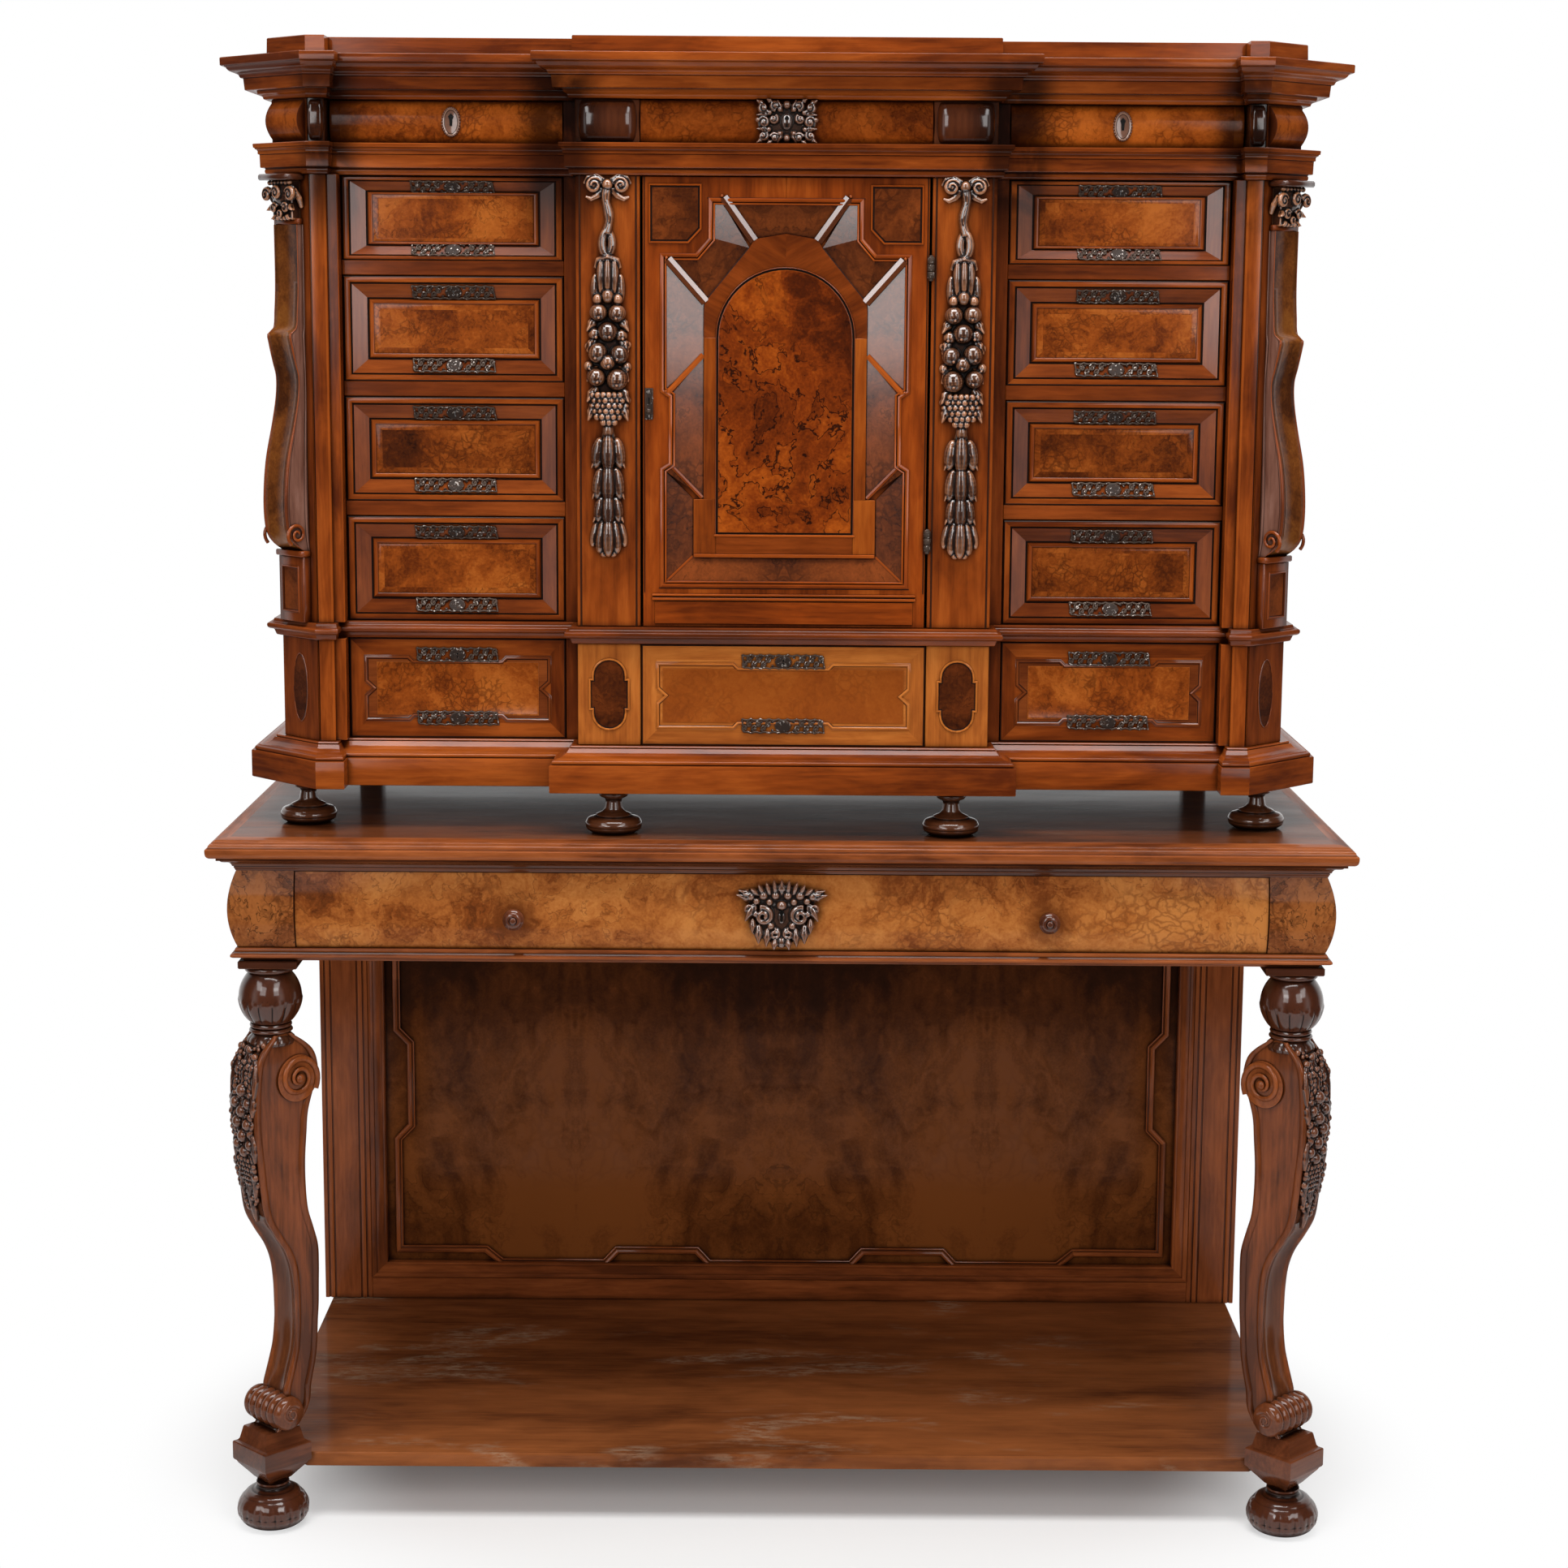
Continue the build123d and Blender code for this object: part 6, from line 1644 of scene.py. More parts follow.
def make_base_drawer(name, x0, x1, y, centre, half, finish, field):
    z0, z1 = BASE_BOTTOM + RUN, BASE_TOP - REVEAL
    piece = Piece(name + "_joinery")
    rim = [(by, out, kind if kind == "groove" else finish) for by, out, kind in BASE_PROFILE]
    squared_front(piece, x0, x1, z0, z1, y, rim, 1.0, finish)
    outline = beaked(x0 + 19, x1 - 19, 1101, 1190)
    run, end = ("facet_walnut", 17) if finish == "case_walnut" else ("honey_walnut", 9)
    # The beaked and inner mouldings begin with near-black groove finish: painted shade.
    stepped(piece, outline, [(0, -0.5), (0, 0.5), (0.8, 0.8), (1.6, 1.9), (3.0, 2.3), (4.4, 1.4), (5.0, 0.6),
                             (6.0, 0.4)], front_place(y), ["groove"] + [run] * 4 + ["groove"] + [run] * 2)
    stepped(piece, rectangle(x0 + 19 + end, x1 - 19 - end, 1110, 1181), [(0, 0.2), (0, 0.9), (0.8, 1.0), (2.0, 0.6)],
            front_place(y), ["groove"] + [field] * 3)
    box_boards(piece, centre, half, y + 22, DRAWER_REAR, z0, z1)
    done(piece, name, "walnut", name)


def make_base_plates(name, x, y):
    (upper, _), (lower, _) = lay_plates(name, (((x, y - 1.6, 1191), 0, True), ((x, y - 1.6, 1106), 0, False)))
    place_piece(studs_on(name + "_studs", upper + lower, STUD_RADIUS, STUD_RISE, FORWARD, "iron"), name, "iron")


BAY_MIDDLE, BAY_HALF = (PARTITION_OUTER + PIER_INNER) / 2, (PIER_INNER - PARTITION_OUTER) / 2 - RUN


def bay_front(sign):
    """The left and right edges of a drawer front in the bay on one side."""
    return sorted((sign * (PARTITION_OUTER + REVEAL), sign * (PIER_INNER - REVEAL)))


def make_main_drawers():
    for side, sign in SIDES:
        x0, x1 = bay_front(sign)
        for number, (bottom, height) in enumerate(MAIN_DRAWERS, 1):
            name = f"side_drawer_{side}_{number}"
            field = "deep_burl" if (side, number) in (("left", 3), ("right", 3), ("right", 4)) else "red_burl"
            squeeze = 0.60 if height < 120 else 0.92
            make_cabinet_drawer(name, x0, x1, bottom, height, sign * BAY_MIDDLE, squeeze, field)
            make_plates(name, sign * BAY_MIDDLE, bottom, height, squeeze)
        name = f"base_drawer_{side}"
        make_base_drawer(name, x0, x1, FACE_BAY, sign * BAY_MIDDLE, BAY_HALF, "case_walnut", "red_burl")
        make_base_plates(name, sign * BAY_MIDDLE, FACE_BAY)
    half = PILASTER_INNER - REVEAL
    make_base_drawer("base_drawer_centre", -half, half, FACE_CENTRE, 0, half - RUN - REVEAL, "honey_walnut",
                     "honey_burl")
    make_base_plates("base_drawer_centre", 0, FACE_CENTRE)


def keyhole(piece, x, z, foot, neck, bow, crown, place, outs):
    """A keyhole about (x, z): (half width, rise) of its foot, neck and bow, the rise of its crown; painted near-black
    as shade.
    """
    right = [(x + half, z + rise) for half, rise in (foot, neck, bow)]
    left = [(x - half, z + rise) for half, rise in (bow, neck)]
    outline = [(x - foot[0], z + foot[1])] + right + [(x, z + crown)] + left
    stepped(piece, outline, [(0, out) for out in outs], place, ["hole"] * 2)


def oval(x, z, half, rise, sides):
    angles = [2 * math.pi * k / sides for k in range(sides)]
    return [(x + half * math.cos(a), z + rise * math.sin(a)) for a in angles]


FRIEZE_MIDDLE = (FRIEZE_BOTTOM + FRIEZE_TOP) / 2


def make_frieze_drawers():
    z0, z1, zm = FRIEZE_BOTTOM + RUN, FRIEZE_TOP - REVEAL, FRIEZE_MIDDLE
    for side, sign in SIDES:
        name, middle = f"frieze_drawer_{side}", sign * BAY_MIDDLE
        piece = Piece(name + "_joinery")
        cushion(piece, *bay_front(sign), z0, z1, FACE_BAY + 4, 18, 7, ("side_frieze_burl", "case_walnut"))
        reach = sorted((sign * (PIER_INNER - REVEAL + 0.1), sign * (PIER_STEP - REVEAL)))
        cushion(piece, *reach, z0, z1, FACE_BAY + 4, 14, 7, ("side_frieze_burl", "case_walnut"))
        box_boards(piece, middle, BAY_HALF, FACE_BAY + 22, DRAWER_REAR, z0, z1)
        done(piece, name, "walnut", name)
        piece = Piece(name + "_keyplate")
        y = FACE_BAY - 2
        stepped(piece, oval(middle, zm, 11, 17.5, 28), [(0, -1), (0, 1.6), (0.8, 2.4), (2.2, 1.8), (3, 1.6)],
                front_place(y), ["bronze"] * 5)
        keyhole(piece, middle, zm, (1.6, -5), (2.0, 3), (3.6, 7), 11, front_place(y), (1, 2.2))
        done(piece, name, "iron", name + "_escutcheon", sharp=50)
        places = [(x, y - 1.6, z) for x, z in oval(middle, zm, 11.2, 17.7, 30)]
        place_piece(studs_on(name + "_beads", places, 1.5, 1.4, FORWARD, "bronze"), name, "iron")


def make_centre_frieze_drawer():
    z0, z1, zm = FRIEZE_BOTTOM + RUN, FRIEZE_TOP - REVEAL, FRIEZE_MIDDLE
    half = PILASTER_INNER - REVEAL
    name = "frieze_drawer_centre"
    piece = Piece(name + "_joinery")
    cushion(piece, -half, half, z0, z1, FACE_CENTRE + 4, 18, 6, ("frieze_burl", "case_walnut"))
    box_boards(piece, 0, half - RUN - REVEAL, FACE_CENTRE + 22, DRAWER_REAR, z0, z1)
    done(piece, name, "walnut", name)
    right = Piece("cartouche_half")
    y = FACE_CENTRE - 2

    def at(x, z, out=3.0):
        return (x, y - out, zm + z)
    for x, z, start, begin in ((30, 17, 7.0, 3.6), (29, -1, 6.5, 0.6), (30, -18, 7.0, 1.4), (15, 20, 6.0, 4.6),
                               (15, -20, 6.0, 0.2), (17, 3, 5.5, 2.0)):
        rope(right, spiral(at(x, z, 7), ACROSS, UP, start, 1.5, 1.3, begin, (0, -2, 0), 24),
             tapered(2.7, 1.0, 24), flat=1.2)
        ball(right, at(x, z, 9), 2.6)
    for root, tip, width in (((28, 20), (39, 27), 8), ((28, -20), (39, -27), 8), ((20, 10), (39, 8), 8),
                             ((20, -10), (39, -9), 8), ((6, 12), (12, 27), 8), ((6, -12), (12, -27), 8),
                             ((18, 24), (26, 28), 7), ((18, -24), (26, -28), 7)):
        leaf(right, at(*root, 4), at(*tip, 5), width, 4.5, 2)
    for x, z in ((22, 11), (23, -10), (9, 15), (9, -15), (37, 2)):
        ball(right, at(x, z, 8), 3.2)
    piece = both_sides(Piece(name + "_shell"), right)
    ball(piece, at(0, 0, 0), (38, 6, 25), rows=14, sides=24)
    ball(piece, at(0, 0, 0), (10, 9, 13), rows=14, sides=22)
    ball(piece, at(0, 21, 6), 5)
    ball(piece, at(0, -21, 6), (4.5, 5, 5), "carving")
    carve(piece, name, "carved_walnut", name + "_cartouche", grid=0.8, rounds=1, finish="mask_carving")
    piece = Piece(name + "_keyhole")
    keyhole(piece, 0, zm, (1.3, -7), (1.6, 1), (3, 4), 7.5, front_place(y), (4, 8.7))
    done(piece, name, "iron")


def make_stand_drawer():
    z0, z1 = APRON_BOTTOM + RUN, APRON_TOP - REVEAL
    face = APRON_FRONT + 2
    crest, zm = face - 9, (z0 + z1) / 2
    piece = Piece("stand_drawer_joinery")
    half = BLOCK_INNER - REVEAL
    cushion(piece, -half, half, z0, z1, face, 22, 9, ("tan_burl", "stand_walnut"))
    box_boards(piece, 0, BLOCK_INNER - 10 - RUN, face + 22, BACK_FACE - 20, z0, z1)
    done(piece, "stand_drawer", "walnut", "stand_drawer")
    piece = Piece("stand_drawer_turned_knobs")
    knob = bent((-4, 8), (0, 8.5), (2, 9, 0.6), (4, 7, -1.0), (10, 6.5), (12, 9), (15, 12.5, 0.8), (20, 14, 1.2),
                (26, 11.5, 1.0), (29.5, 6.5), (30, 4.2), (30.4, 4), (30.9, 2.5), (31, 1), steps=6)
    for x in (-350, 350):
        turning(piece, knob, (x, crest, zm - 6), "knob_walnut", FORWARD, 36)
    done(piece, "stand_drawer", "walnut", "stand_drawer_knobs", sharp=50)
    right = Piece("mask_half")

    def at(x, z, out=3.0):
        return (x, crest - out, zm + z)
    for centre, start, turns, begin, width in (((24, -1), 12.5, 1.5, 1.2, 4.4), ((9, -25), 6.5, 1.2, 1.6, 3.0),
                                               ((42, 9), 7.5, 1.2, 2.6, 3.4)):
        rope(right, spiral(at(centre[0], centre[1], 9), ACROSS, UP, start, 2.5, turns, begin, (0, -3, 0), 30),
             [width * (1 - 0.4 * k / 30) for k in range(31)], flat=1.2)
    for root, tip, width in (((34, 22), (60, 28), 13), ((36, 27), (57, 34), 10), ((36, 16), (48, -8), 13),
                             ((30, -12), (30, -38), 14), ((18, -16), (20, -42), 13), ((8, -30), (10, -46), 11),
                             ((38, -4), (38, -24), 11)):
        leaf(right, at(*root, 6), at(*tip, 8), width, 6.5, 2)
    for x, z, r in ((41, 26, 6), (24, 27, 6), (8, 27, 5.5), (16, 18, 4.5), (33, 19, 4.5), (14, -14, 4.5), (34, 2, 4)):
        ball(right, at(x, z, 11), r)
    piece = both_sides(Piece("stand_drawer_shell"), right)
    for k in range(-5, 6):
        leaf(piece, at(k * 7.5, 27, 6), at(k * 10.2, 48 - 0.75 * k * k, 9), 10, 7, 1, 0.6)
    ball(piece, at(0, 37, 11), (6.5, 6, 6.5), "carving")
    ball(piece, at(0, 14, 12), (6.5, 6, 6), "carving")
    ball(piece, at(0, 22, 3), (48, 8, 16), rows=14, sides=24)
    ball(piece, at(0, -8, 3), (34, 8, 32), rows=14, sides=24)
    ball(piece, at(0, -4, 3), (9, 9, 15), rows=14, sides=18)
    ball(piece, at(0, -36, 6), (7, 7, 9), "carving")
    carve(piece, "stand_drawer", "carved_walnut", "stand_drawer_mask", grid=1.0, rounds=1, finish="mask_carving")
    piece = Piece("stand_drawer_keyhole")
    keyhole(piece, 0, zm, (1.4, -8), (1.7, 1), (3.2, 4), 8, front_place(crest), (6, 12.8))
    done(piece, "stand_drawer", "iron")


# ======================= back of the stand =======================

def contour(piece, outline, profile, place, finish):
    """A small moulding laid round a closed outline, its profile a loop of (inset, out)."""
    rings = [[place(x, z, out) for x, z in inset(outline, by)] for by, out in profile]
    rails = side_boards(piece, rings[0])
    piece.add(flat(rings), bands(len(outline), len(rings), loop=True), finish, rails * len(rings))


MATCHED_LEAVES = 7.7, 0.2, 0.3     # where the four veneers are cut from the same figure


def make_stand_back():
    right = Piece("back_frame_half")
    front = [(x, BACK_FACE + dip) for x, dip in (
        (642, 0.8), (643, 0), (648, 0), (648.6, 2), (650.4, 2), (651, 0), (654, -0.8), (657, 0), (657.6, 2),
        (659.4, 2), (660, 0), (698, 0), (698.6, 2), (700.4, 2), (701, 0), (704, -0.8), (707, 0), (707.6, 2),
        (709.4, 2), (710, 0), (715, 0), (716, 0.8))]
    prism(right, front + [(716, BACK_REAR), (642, BACK_REAR)], SHELF_TOP, SLAB_BOTTOM, "stand_walnut")
    piece = Piece("back_frame_boards")
    both_sides(piece, right)
    box(piece, -641.8, 641.8, BACK_FACE, BACK_REAR, SHELF_TOP, 132, "stand_walnut")
    box(piece, -641.8, 641.8, BACK_FACE, BACK_REAR, ABACUS_TOP, SLAB_BOTTOM, "stand_walnut")
    done(piece, "case", "walnut", "back_frame")
    piece = Piece("back_veneers")
    y0 = BACK_REAR - 10
    for x0, x1, fold in ((-641.8, -321, -321), (-321, 0, -321), (0, 321, 321), (321, 641.8, 321)):
        points = [(x0, y0, 132.2), (x1, y0, 132.2), (x1, y0, 793.8), (x0, y0, 793.8)]
        rear = [(x, BACK_REAR, z) for x, _, z in points]
        board = piece.grain(UP, fold)
        piece.frames[board] = (axes_for(UP), np.array(MATCHED_LEAVES), fold)
        faces = [[0, 1, 2, 3], [7, 6, 5, 4], [0, 4, 5, 1], [1, 5, 6, 2], [2, 6, 7, 3], [3, 7, 4, 0]]
        piece.add(points + rear, faces, ["back_burl", "oak"] + ["stand_walnut"] * 4, board)
    done(piece, "case", "burl_walnut", "back_panel")
    piece = Piece("back_moulding_runs")
    place = front_place(BACK_FACE)
    contour(piece, rectangle(-641.8, 641.8, 132.2, 793.8),
            [(0, -12), (0, 0.5), (1, 2), (4, 3), (7, 2), (8, 0), (10, -0.5), (20, -0.5), (21, 1), (23, 1.6),
             (24.4, 0.6), (25, -3), (25, -12)], place, "stand_walnut")
    whole = mirrored([(112, 155), (131, 176), (256, 176), (275, 155), (438, 155), (463, 176), (599, 176), (599, 356),
                      (578, 378), (578, 510), (599, 532), (599, 612), (599, 793)])
    inner = whole[-7:] + whole[:-7]
    contour(piece, inner, [(-5, -12), (-5, -6.6), (-3.8, -4.6), (-1.2, -3.6), (1.4, -4.6), (2.4, -6.6), (4, -7),
                           (5, -6.4), (6, -7), (6, -12)], place, "stand_walnut")
    done(piece, "case", "walnut", "back_mouldings")


# ======================= door =======================


DOOR_OPENING = [(0, 1292), (157, 1292), (157, 1440), (146, 1447), (146, 1536), (157, 1543), (157, 1712), (114, 1712),
                (95, 1734), (95, 1782), (0, 1782)]


# Depths of the splays' outer and inner edges and of their backs, the depth of the band round the arched panel,
# the panel's arch, and where the stiles' grooves run.
SPLAY_OUT, SPLAY_DEEP, SPLAY_REAR, BAND = DOOR_FACE + 0.4, DOOR_FACE + 11.4, DOOR_FACE + 12.5, DOOR_FACE + 8.4
ARCH_RISE, ARCH_RADIUS, ARCH_STEPS, STILE_GROOVE = 1610, 89, 40, 181.4


def facet(piece, corners, rear, finish, along):
    """A flat facet given by its front corners (x, y, z), closed behind at depth rear; its sides and back near-black
    as painted shade.
    """
    count = len(corners)
    points = list(corners) + [(x, rear, z) for x, _, z in corners]
    faces = [list(range(count)), list(range(2 * count - 1, count - 1, -1))]
    faces += [[i, (i + 1) % count, count + (i + 1) % count, count + i] for i in range(count)]
    piece.add(points, faces, [finish] + ["groove"] * (count + 1), piece.grain(along))


def bar(piece, start, end, half, rise, finish):
    """A raised bar between two places, its top a low ridge and its sides painted dark as shade."""
    a, b = Vector(start), Vector(end)
    across = (b - a).cross(Vector(FORWARD)).normalized() * half
    section = (-1, -3.5), (-1, rise), (0, rise + half * 0.29), (1, rise), (1, -3.5)
    points = [p + across * share + Vector((0, -out, 0)) for p in (a, b) for share, out in section]
    piece.add(points, capped(5, 2), ["groove", finish, finish] + ["groove"] * 4, piece.grain(b - a))


SPLAY_EDGE = [(105, 1330), (105, 1652), (103, 1656), (47, 1724), (41, 1735), (0, 1742), (-41, 1735), (-47, 1724),
              (-103, 1656), (-105, 1652), (-105, 1330)]


def splay_edge_at(angle):
    """Where a ray from the arch's centre meets the inner edge of the splays."""
    dx, dz = math.cos(angle), math.sin(angle)
    best = 200.0
    for (x0, z0), (x1, z1) in zip(SPLAY_EDGE, SPLAY_EDGE[1:]):
        ex, ez = x1 - x0, z1 - z0
        turn = dx * ez - dz * ex
        if abs(turn) < 1e-9:
            continue
        reach = (x0 * ez - (z0 - ARCH_RISE) * ex) / turn
        share = (x0 * dz - (z0 - ARCH_RISE) * dx) / turn
        if reach > 0 and -1e-6 <= share <= 1 + 1e-6:
            best = min(best, reach)
    return (best * dx, ARCH_RISE + best * dz)


def splay_half():
    """The sloping facets round the door's opening, its right half, with the bars on their mitres."""
    right = Piece("splay_half")
    for outer, inner, along in (
            (((0, 1784), (84, 1784)), ((40, 1736), (0, 1742)), ACROSS),
            (((84, 1784), (94, 1784), (94, 1736)), ((47, 1724),), UP),
            (((94, 1736), (115, 1713)), ((103, 1656), (47, 1724)), (-1, 0, 1)),
            (((115, 1713), (152, 1712)), ((103, 1656),), (1, 0, 0.3)),
            (((156, 1709), (156, 1543)), ((105, 1588), (105, 1652)), UP),
            (((156, 1543), (147, 1536)), ((105, 1587),), UP),
            (((147, 1536), (147, 1447)), ((105, 1404), (105, 1586)), UP),
            (((147, 1447), (156, 1440)), ((107, 1404),), UP),
            (((156, 1440), (156, 1292)), ((119, 1328), (119, 1402)), UP),
            (((156, 1292), (0, 1292)), ((0, 1328), (119, 1328)), ACROSS)):
        corners = [(x, SPLAY_OUT, z) for x, z in outer] + [(x, SPLAY_DEEP, z) for x, z in inner]
        facet(right, corners, SPLAY_REAR, "splay_burl", along)
    for (x0, z0), (x1, z1), wide, rise in (((80, 1787), (41, 1733), 5.6, 2.6), ((151, 1709), (103, 1655), 5.6, 2.6),
                                           ((152, 1539), (106, 1588), 3.4, 1.8), ((149, 1448), (107, 1404), 2.4, 1.4),
                                           ((156, 1293), (119, 1328), 1.4, 0.9)):
        bar(right, (x0, SPLAY_OUT, z0), (x1, SPLAY_DEEP, z1), wide, rise, "bar_walnut" if wide > 5 else "door_walnut")
        if wide > 3:
            ball(right, (x0 + 2, SPLAY_OUT - 2.2, z0 + 2), (2.0, 2.0, 2.0), "door_walnut")
    return right


def lay_arch(piece):
    """The band between the splays and the arched panel, the strips beside and below it, and the panel."""
    angles = [math.pi * k / ARCH_STEPS for k in range(ARCH_STEPS + 1)]
    arch = [(ARCH_RADIUS * math.cos(a), ARCH_RISE + ARCH_RADIUS * math.sin(a)) for a in angles]
    edge = [splay_edge_at(a) for a in angles]
    ribs = [piece.grain((1, 0, 0.55)), piece.grain((1, 0, -0.55))]
    for k in range(ARCH_STEPS):
        ring = [(x, BAND, z) for x, z in edge[k:k + 2]] + [(x, BAND + 1.4, z) for x, z in (arch[k + 1], arch[k])]
        back = [(x, SPLAY_REAR, z) for x, _, z in ring]
        faces = [[0, 1, 2, 3], [7, 6, 5, 4], [0, 4, 5, 1], [2, 6, 7, 3]]
        piece.add(ring + back, faces, "band_walnut", ribs[0 if k < ARCH_STEPS / 2 else 1])
    for side in (-1, 1):
        for x0, x1, z0, z1 in ((89, 105, 1402, 1610), (89, 118, 1331, 1402)):
            box(piece, *sorted((side * x0, side * x1)), BAND, SPLAY_REAR, z0, z1, "strip_walnut", UP, 0.5)
    for half, out, z0, z1, finish, ease in ((88.8, 0.6, 1331, 1356, "band_walnut", 0.6),
                                            (118, 2.2, 1326.5, 1331, "door_walnut", 0.8),
                                            (92, 1.8, 1353.5, 1356.5, "door_walnut", 0.8)):
        box(piece, -half, half, BAND - out, SPLAY_REAR, z0, z1, finish, ACROSS, ease)
    # The ring between the band and the arched panel is near-black groove finish: painted shade.
    stepped(piece, arched(89.5, 1356, 1699.5), [(-0.5, -12), (-0.5, -7.8), (0.3, -7.4), (1.2, -9.4), (2.6, -9.4),
                                                (3.2, -8.2), (4.2, -8.0), (6, -8.2), (9, -8.4), (12, -8.4)],
            front_place(DOOR_FACE), ["band_walnut"] * 2 + ["groove"] * 3 + ["door_burl"] * 5, UP)


def lay_corner_panels(piece):
    """The rails below the opening, and a burl panel and a groove beside it on each side."""
    # Near-black lines between the rails below the opening: painted shade.
    for half, z0, z1, rise, finish in (
            (168, 1240, 1269.5, 2.2, "door_walnut"), (172, 1271, 1274.5, 3.4, "door_walnut"),
            (170, 1269.5, 1271, 1.0, "groove"), (170, 1274.5, 1276.5, 0.8, "groove"),
            (172, 1276.5, 1279.5, 2.6, "door_walnut")):
        box(piece, -half, half, DOOR_FACE - rise, DOOR_FACE + 4, z0, z1, finish, ACROSS, 0.8)
    for side in (-1, 1):
        square = [(108, 1747), (125, 1729), (176, 1729), (176, 1804), (108, 1804)]
        if side < 0:
            square = [(-x, z) for x, z in square[::-1]]
        # The squares' sunk rings are near-black groove finish: painted shade.
        stepped(piece, square, [(0, -1), (0, 1.2), (0.7, 2.2), (2.0, 2.2), (2.6, 1.0), (3.0, 0.4), (4.2, 0.4),
                                (4.8, 0.9), (10, 0.9)], front_place(DOOR_FACE),
                ["door_walnut"] * 4 + ["groove"] * 3 + ["dark_burl"] * 2, UP)
        # Near-black strip down each stile: painted shade of its groove.
        x = side * STILE_GROOVE
        box(piece, x - 0.7, x + 0.7, DOOR_FACE - 0.6, DOOR_FACE + 2, 1281, DOOR_TOP, "groove", UP, 0.3)


def make_door():
    right = Piece("door_half")
    half = DOOR_OPENING + [(0, DOOR_TOP), (DOOR_HALF, DOOR_TOP), (DOOR_HALF, DOOR_BOTTOM), (0, DOOR_BOTTOM)]
    stepped(right, half[::-1], [(0, -12), (0, -0.5), (0.5, 0)], front_place(DOOR_FACE), ["door_walnut"] * 3, UP)
    box(right, 0, DOOR_HALF, DOOR_FACE + 12, DOOR_FACE + 22, DOOR_BOTTOM, DOOR_TOP, "case_walnut", UP)
    done(both_sides(Piece("door_boards"), right), "door", "walnut", "door_frame")

    piece = both_sides(Piece("door_splays"), splay_half())
    whole = mirrored(DOOR_OPENING[1:-1])
    contour(piece, whole[-1:] + whole[:-1],
            [(-4.6, -3), (-4.6, 0.3), (-3.8, 1.8), (-1.6, 2.4), (0.2, 1.8), (0.9, 0.2), (1.5, 0.2), (2.1, 1.4),
             (3.4, 1.6), (4.2, 0.6), (4.6, -4)], front_place(DOOR_FACE), "door_walnut")
    # Near-black strips above and below the opening: painted shade.
    for reach, z0, z1 in ((101, 1785.5, 1787), (163, 1286, 1287.6)):
        box(piece, -reach, reach, DOOR_FACE - 0.5, DOOR_FACE + 2, z0, z1, "groove", ACROSS, 0.3)
    lay_arch(piece)
    lay_corner_panels(piece)
    done(piece, "door", "burl_walnut", "door_panels", sharp=20)


HINGE_RISES, LOCK_RISE = (MAIN_BOTTOM + 100.5, MAIN_BOTTOM + 450.5), 1525


def make_hinges():
    """Hinge leaves with their knuckles and pins at the door's right edge, and the lock plate with its key."""
    piece, iron = Piece("hinge_barrels"), Piece("door_iron_parts")
    x, y = PILASTER_INNER - REVEAL - 0.05, FACE_CENTRE - 4.5
    outer = bent((0, 3), (0.4, 4.2), (1, 4.5), (7.7, 4.5), (8.3, 4.2), (8.7, 3))
    middle = bent((9.1, 3), (9.5, 4.2), (10, 4.5), (17, 4.5), (17.5, 4.2), (17.9, 3))
    for z in HINGE_RISES:
        for low in (z, z + 18.3):
            turning(piece, outer, (x, y, low), "iron", sides=20)
            box(piece, 185.8, 187, y, FACE_CENTRE + 18, low, low + 8.7, "iron", UP, 0.3)
        turning(piece, [(0, 2), (27, 2)], (x, y, z), "iron", sides=12)
        for low in (-1.6, 27):
            ball(piece, (x, y, z + low + 0.6), (3.2, 3.2, 2.2), "iron")
        turning(iron, middle, (x, y, z), "iron", sides=20)
        box(iron, DOOR_HALF, DOOR_HALF + 1.2, y, DOOR_FACE + 18, z + 9, z + 18, "iron", UP, 0.3)
    done(piece, "case", "iron", "hinge_leaves", sharp=50)
    place = front_place(DOOR_FACE)
    left, zl = -DOOR_HALF, LOCK_RISE
    stepped(iron, rectangle(left + 3, left + 13, zl - 20, zl + 20), [(0, -0.5), (0, 1.2), (0.6, 1.6), (2, 1.6)],
            place, ["iron"] * 4)
    turning(iron, [(0, 2.6), (4, 2.2), (7, 2.6), (9, 3.4), (11, 2.6), (12, 0.8)], (left + 8, DOOR_FACE - 1, zl - 10),
            "iron", FORWARD, 16)
    # Keyhole painted near-black: shade.
    stepped(iron, [(left + 7.3, zl), (left + 8.7, zl), (left + 9, zl + 7), (left + 8, zl + 9), (left + 7, zl + 7)],
            [(0, 1), (0, 1.75)], place, ["hole"] * 2)
    done(iron, "door", "iron", "door_ironwork", sharp=50)


# ======================= room =======================

FLOOR_HALF = 1.75                      # metres
FLOOR_NEAR, FLOOR_FAR = 0.52, 0.95     # where the floor starts to fade into the white surround, and where it has
PAPER, FAR_PAPER, WHITE = (0.93, 0.93, 0.925), (0.95, 0.95, 0.95), (1, 1, 1)
SOFT, SURROUND, DIM, PANE = 0.40, 1.0, 0.03, 5.0     # strengths of the world's light, and of what polish mirrors
LAMPS = (       # place, aim, width, height, watts
    ("left_lamp", (-1.9, -4.2, 2.45), (0, -0.3, 1.1), 1.6, 2.1, 42),
    ("right_lamp", (1.9, -4.2, 2.45), (0, -0.3, 1.1), 1.6, 2.1, 38),
    ("top_lamp", (0, -1.5, 4.6), (0, -0.1, 1.2), 3.2, 1.5, 135))


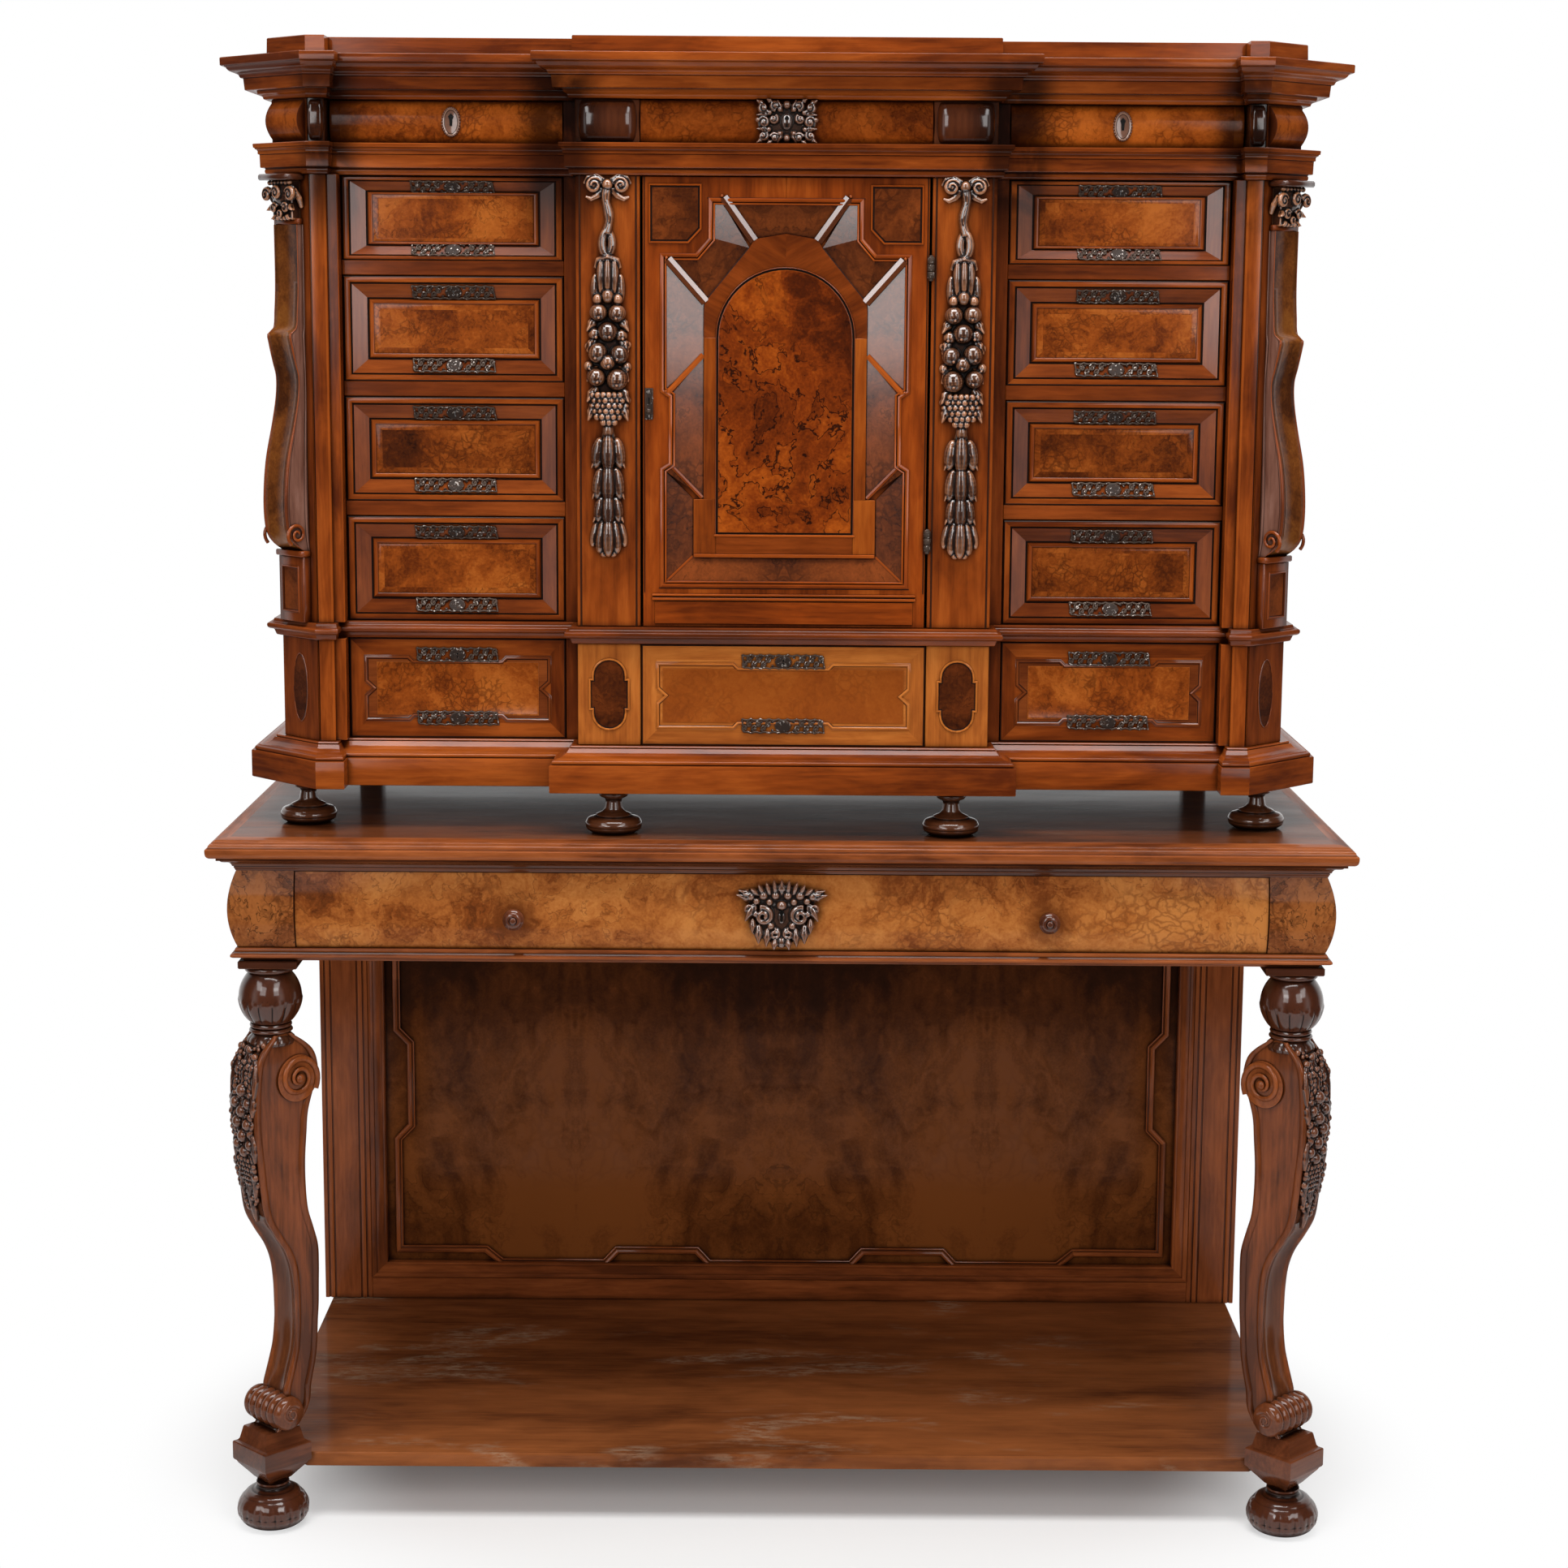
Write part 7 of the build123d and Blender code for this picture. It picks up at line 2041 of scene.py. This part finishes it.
def lay_floor():
    mesh = bpy.data.meshes.new("floor")
    corners = [(x * FLOOR_HALF, y * FLOOR_HALF, 0) for x, y in ((-1, -1), (1, -1), (1, 1), (-1, 1))]
    mesh.from_pydata(corners, [], [(0, 1, 2, 3)])
    floor = bpy.data.objects.new("floor", mesh)
    bpy.context.scene.collection.objects.link(floor)
    s = Shader(bpy.data.materials.new("pale_floor"))
    far = (s.place() * (0.98, 1.15, 0.0)).length().between(FLOOR_NEAR, FLOOR_FAR)
    paper = s.mix(far, PAPER, FAR_PAPER)
    lit = s.node("ShaderNodeBsdfPrincipled", {}, {"Base Color": paper, "Roughness": 0.8})
    glow = s.node("ShaderNodeEmission", {}, {"Color": WHITE, "Strength": 1.0})
    seen = s.node("ShaderNodeLightPath", {}, {}, "Is Camera Ray")
    # Camera rays see white glow where the floor fades into the surround; near the stand a 7% share of it is painted
    # light that lifts the shadows.
    blend = s.node("ShaderNodeMixShader", {}, {0: (far * 0.93 + 0.07) * seen, 1: lit, 2: glow})
    mesh.materials.append(s.surface_of(blend))


def light_world():
    """A white surround; polish mirrors a dim room with a bright far side and two windows."""
    world = bpy.data.worlds.new("soft_room")
    bpy.context.scene.world = world
    s = Shader(world)
    seen, gloss, clear = (s.node("ShaderNodeLightPath", {}, {}, f"Is {kind} Ray")
                          for kind in ("Camera", "Glossy", "Transmission"))
    way = s.node("ShaderNodeTexCoord", {}, {}, "Generated")
    depth, width, height = (way.part(axis) for axis in "YXZ")
    behind = depth.between(0.15, 0.50)
    beside = (width * width).between(0.22, 0.60) * (1 - depth.between(-0.66, -0.38))
    bright = behind + beside * (1 - behind)
    side = (width * width).within(0.11, 0.17, 0.36, 0.46)
    window = side * height.within(0.34, 0.42, 0.66, 0.76) * (1 - depth.between(-0.40, -0.30))
    soft, white, dim, pane = (s.node("ShaderNodeBackground", {}, {"Color": WHITE, "Strength": strength})
                              for strength in (SOFT, SURROUND, DIM, PANE))
    mirrored_room = s.node("ShaderNodeMixShader", {}, {0: bright, 1: dim, 2: white})
    mirrored_room = s.node("ShaderNodeMixShader", {}, {0: window, 1: mirrored_room, 2: pane})
    unseen = s.node("ShaderNodeMixShader", {}, {0: gloss + clear, 1: soft, 2: mirrored_room})
    whole = s.node("ShaderNodeMixShader", {}, {0: seen, 1: unseen, 2: white})
    s.node("ShaderNodeOutputWorld", {}, {"Surface": whole})


def hang_lamps():
    for name, place, aim, wide, tall, power in LAMPS:
        lamp = bpy.data.lights.new(name, "AREA")
        lamp.shape = "RECTANGLE"
        lamp.size, lamp.size_y, lamp.energy = wide, tall, power
        holder = bpy.data.objects.new(name, lamp)
        holder.location = place
        holder.rotation_euler = (Vector(aim) - Vector(place)).to_track_quat("-Z", "Y").to_euler()
        bpy.context.scene.collection.objects.link(holder)


SENSOR, FRAME, FOCAL = 36, 1932, 3600     # millimetres, and pixels for the frame's width and the focal length
CAMERA_PLACE, CAMERA_PITCH, CAMERA_ROLL, CAMERA_SIGHT = (0.002, -4.0824, 1.670), 9.58, 0.385, 80


def make_camera():
    lens = bpy.data.cameras.new("view")
    lens.sensor_width, lens.lens, lens.clip_end = SENSOR, SENSOR * FOCAL / FRAME, CAMERA_SIGHT
    camera = bpy.data.objects.new("view", lens)
    pitch, roll = math.radians(CAMERA_PITCH), math.radians(CAMERA_ROLL)
    right, up = Vector(ACROSS), Vector((0, math.sin(pitch), math.cos(pitch)))
    ahead = Vector((0, math.cos(pitch), -math.sin(pitch)))
    side = right * math.cos(roll) + up * math.sin(roll)
    top = up * math.cos(roll) - right * math.sin(roll)
    camera.matrix_world = Matrix.Translation(CAMERA_PLACE) @ Matrix((side, top, -ahead)).transposed().to_4x4()
    bpy.context.scene.collection.objects.link(camera)
    bpy.context.scene.camera = camera
    bpy.context.scene.view_settings.view_transform = "Standard"


make_camera()
lay_floor()
light_world()
hang_lamps()
make_stand_top()
make_stand_mouldings()
make_stand_frame()
make_legs()
make_leg_heads()
make_feet()
make_shelf()
make_stand_back()
make_cabinet_feet()
make_case_mouldings()
make_case_boards()
make_inner_boards()
make_face_frame()
make_frieze_blocks()
make_corner_consoles()
make_garlands()
make_main_drawers()
make_frieze_drawers()
make_centre_frieze_drawer()
make_stand_drawer()
make_door()
make_hinges()
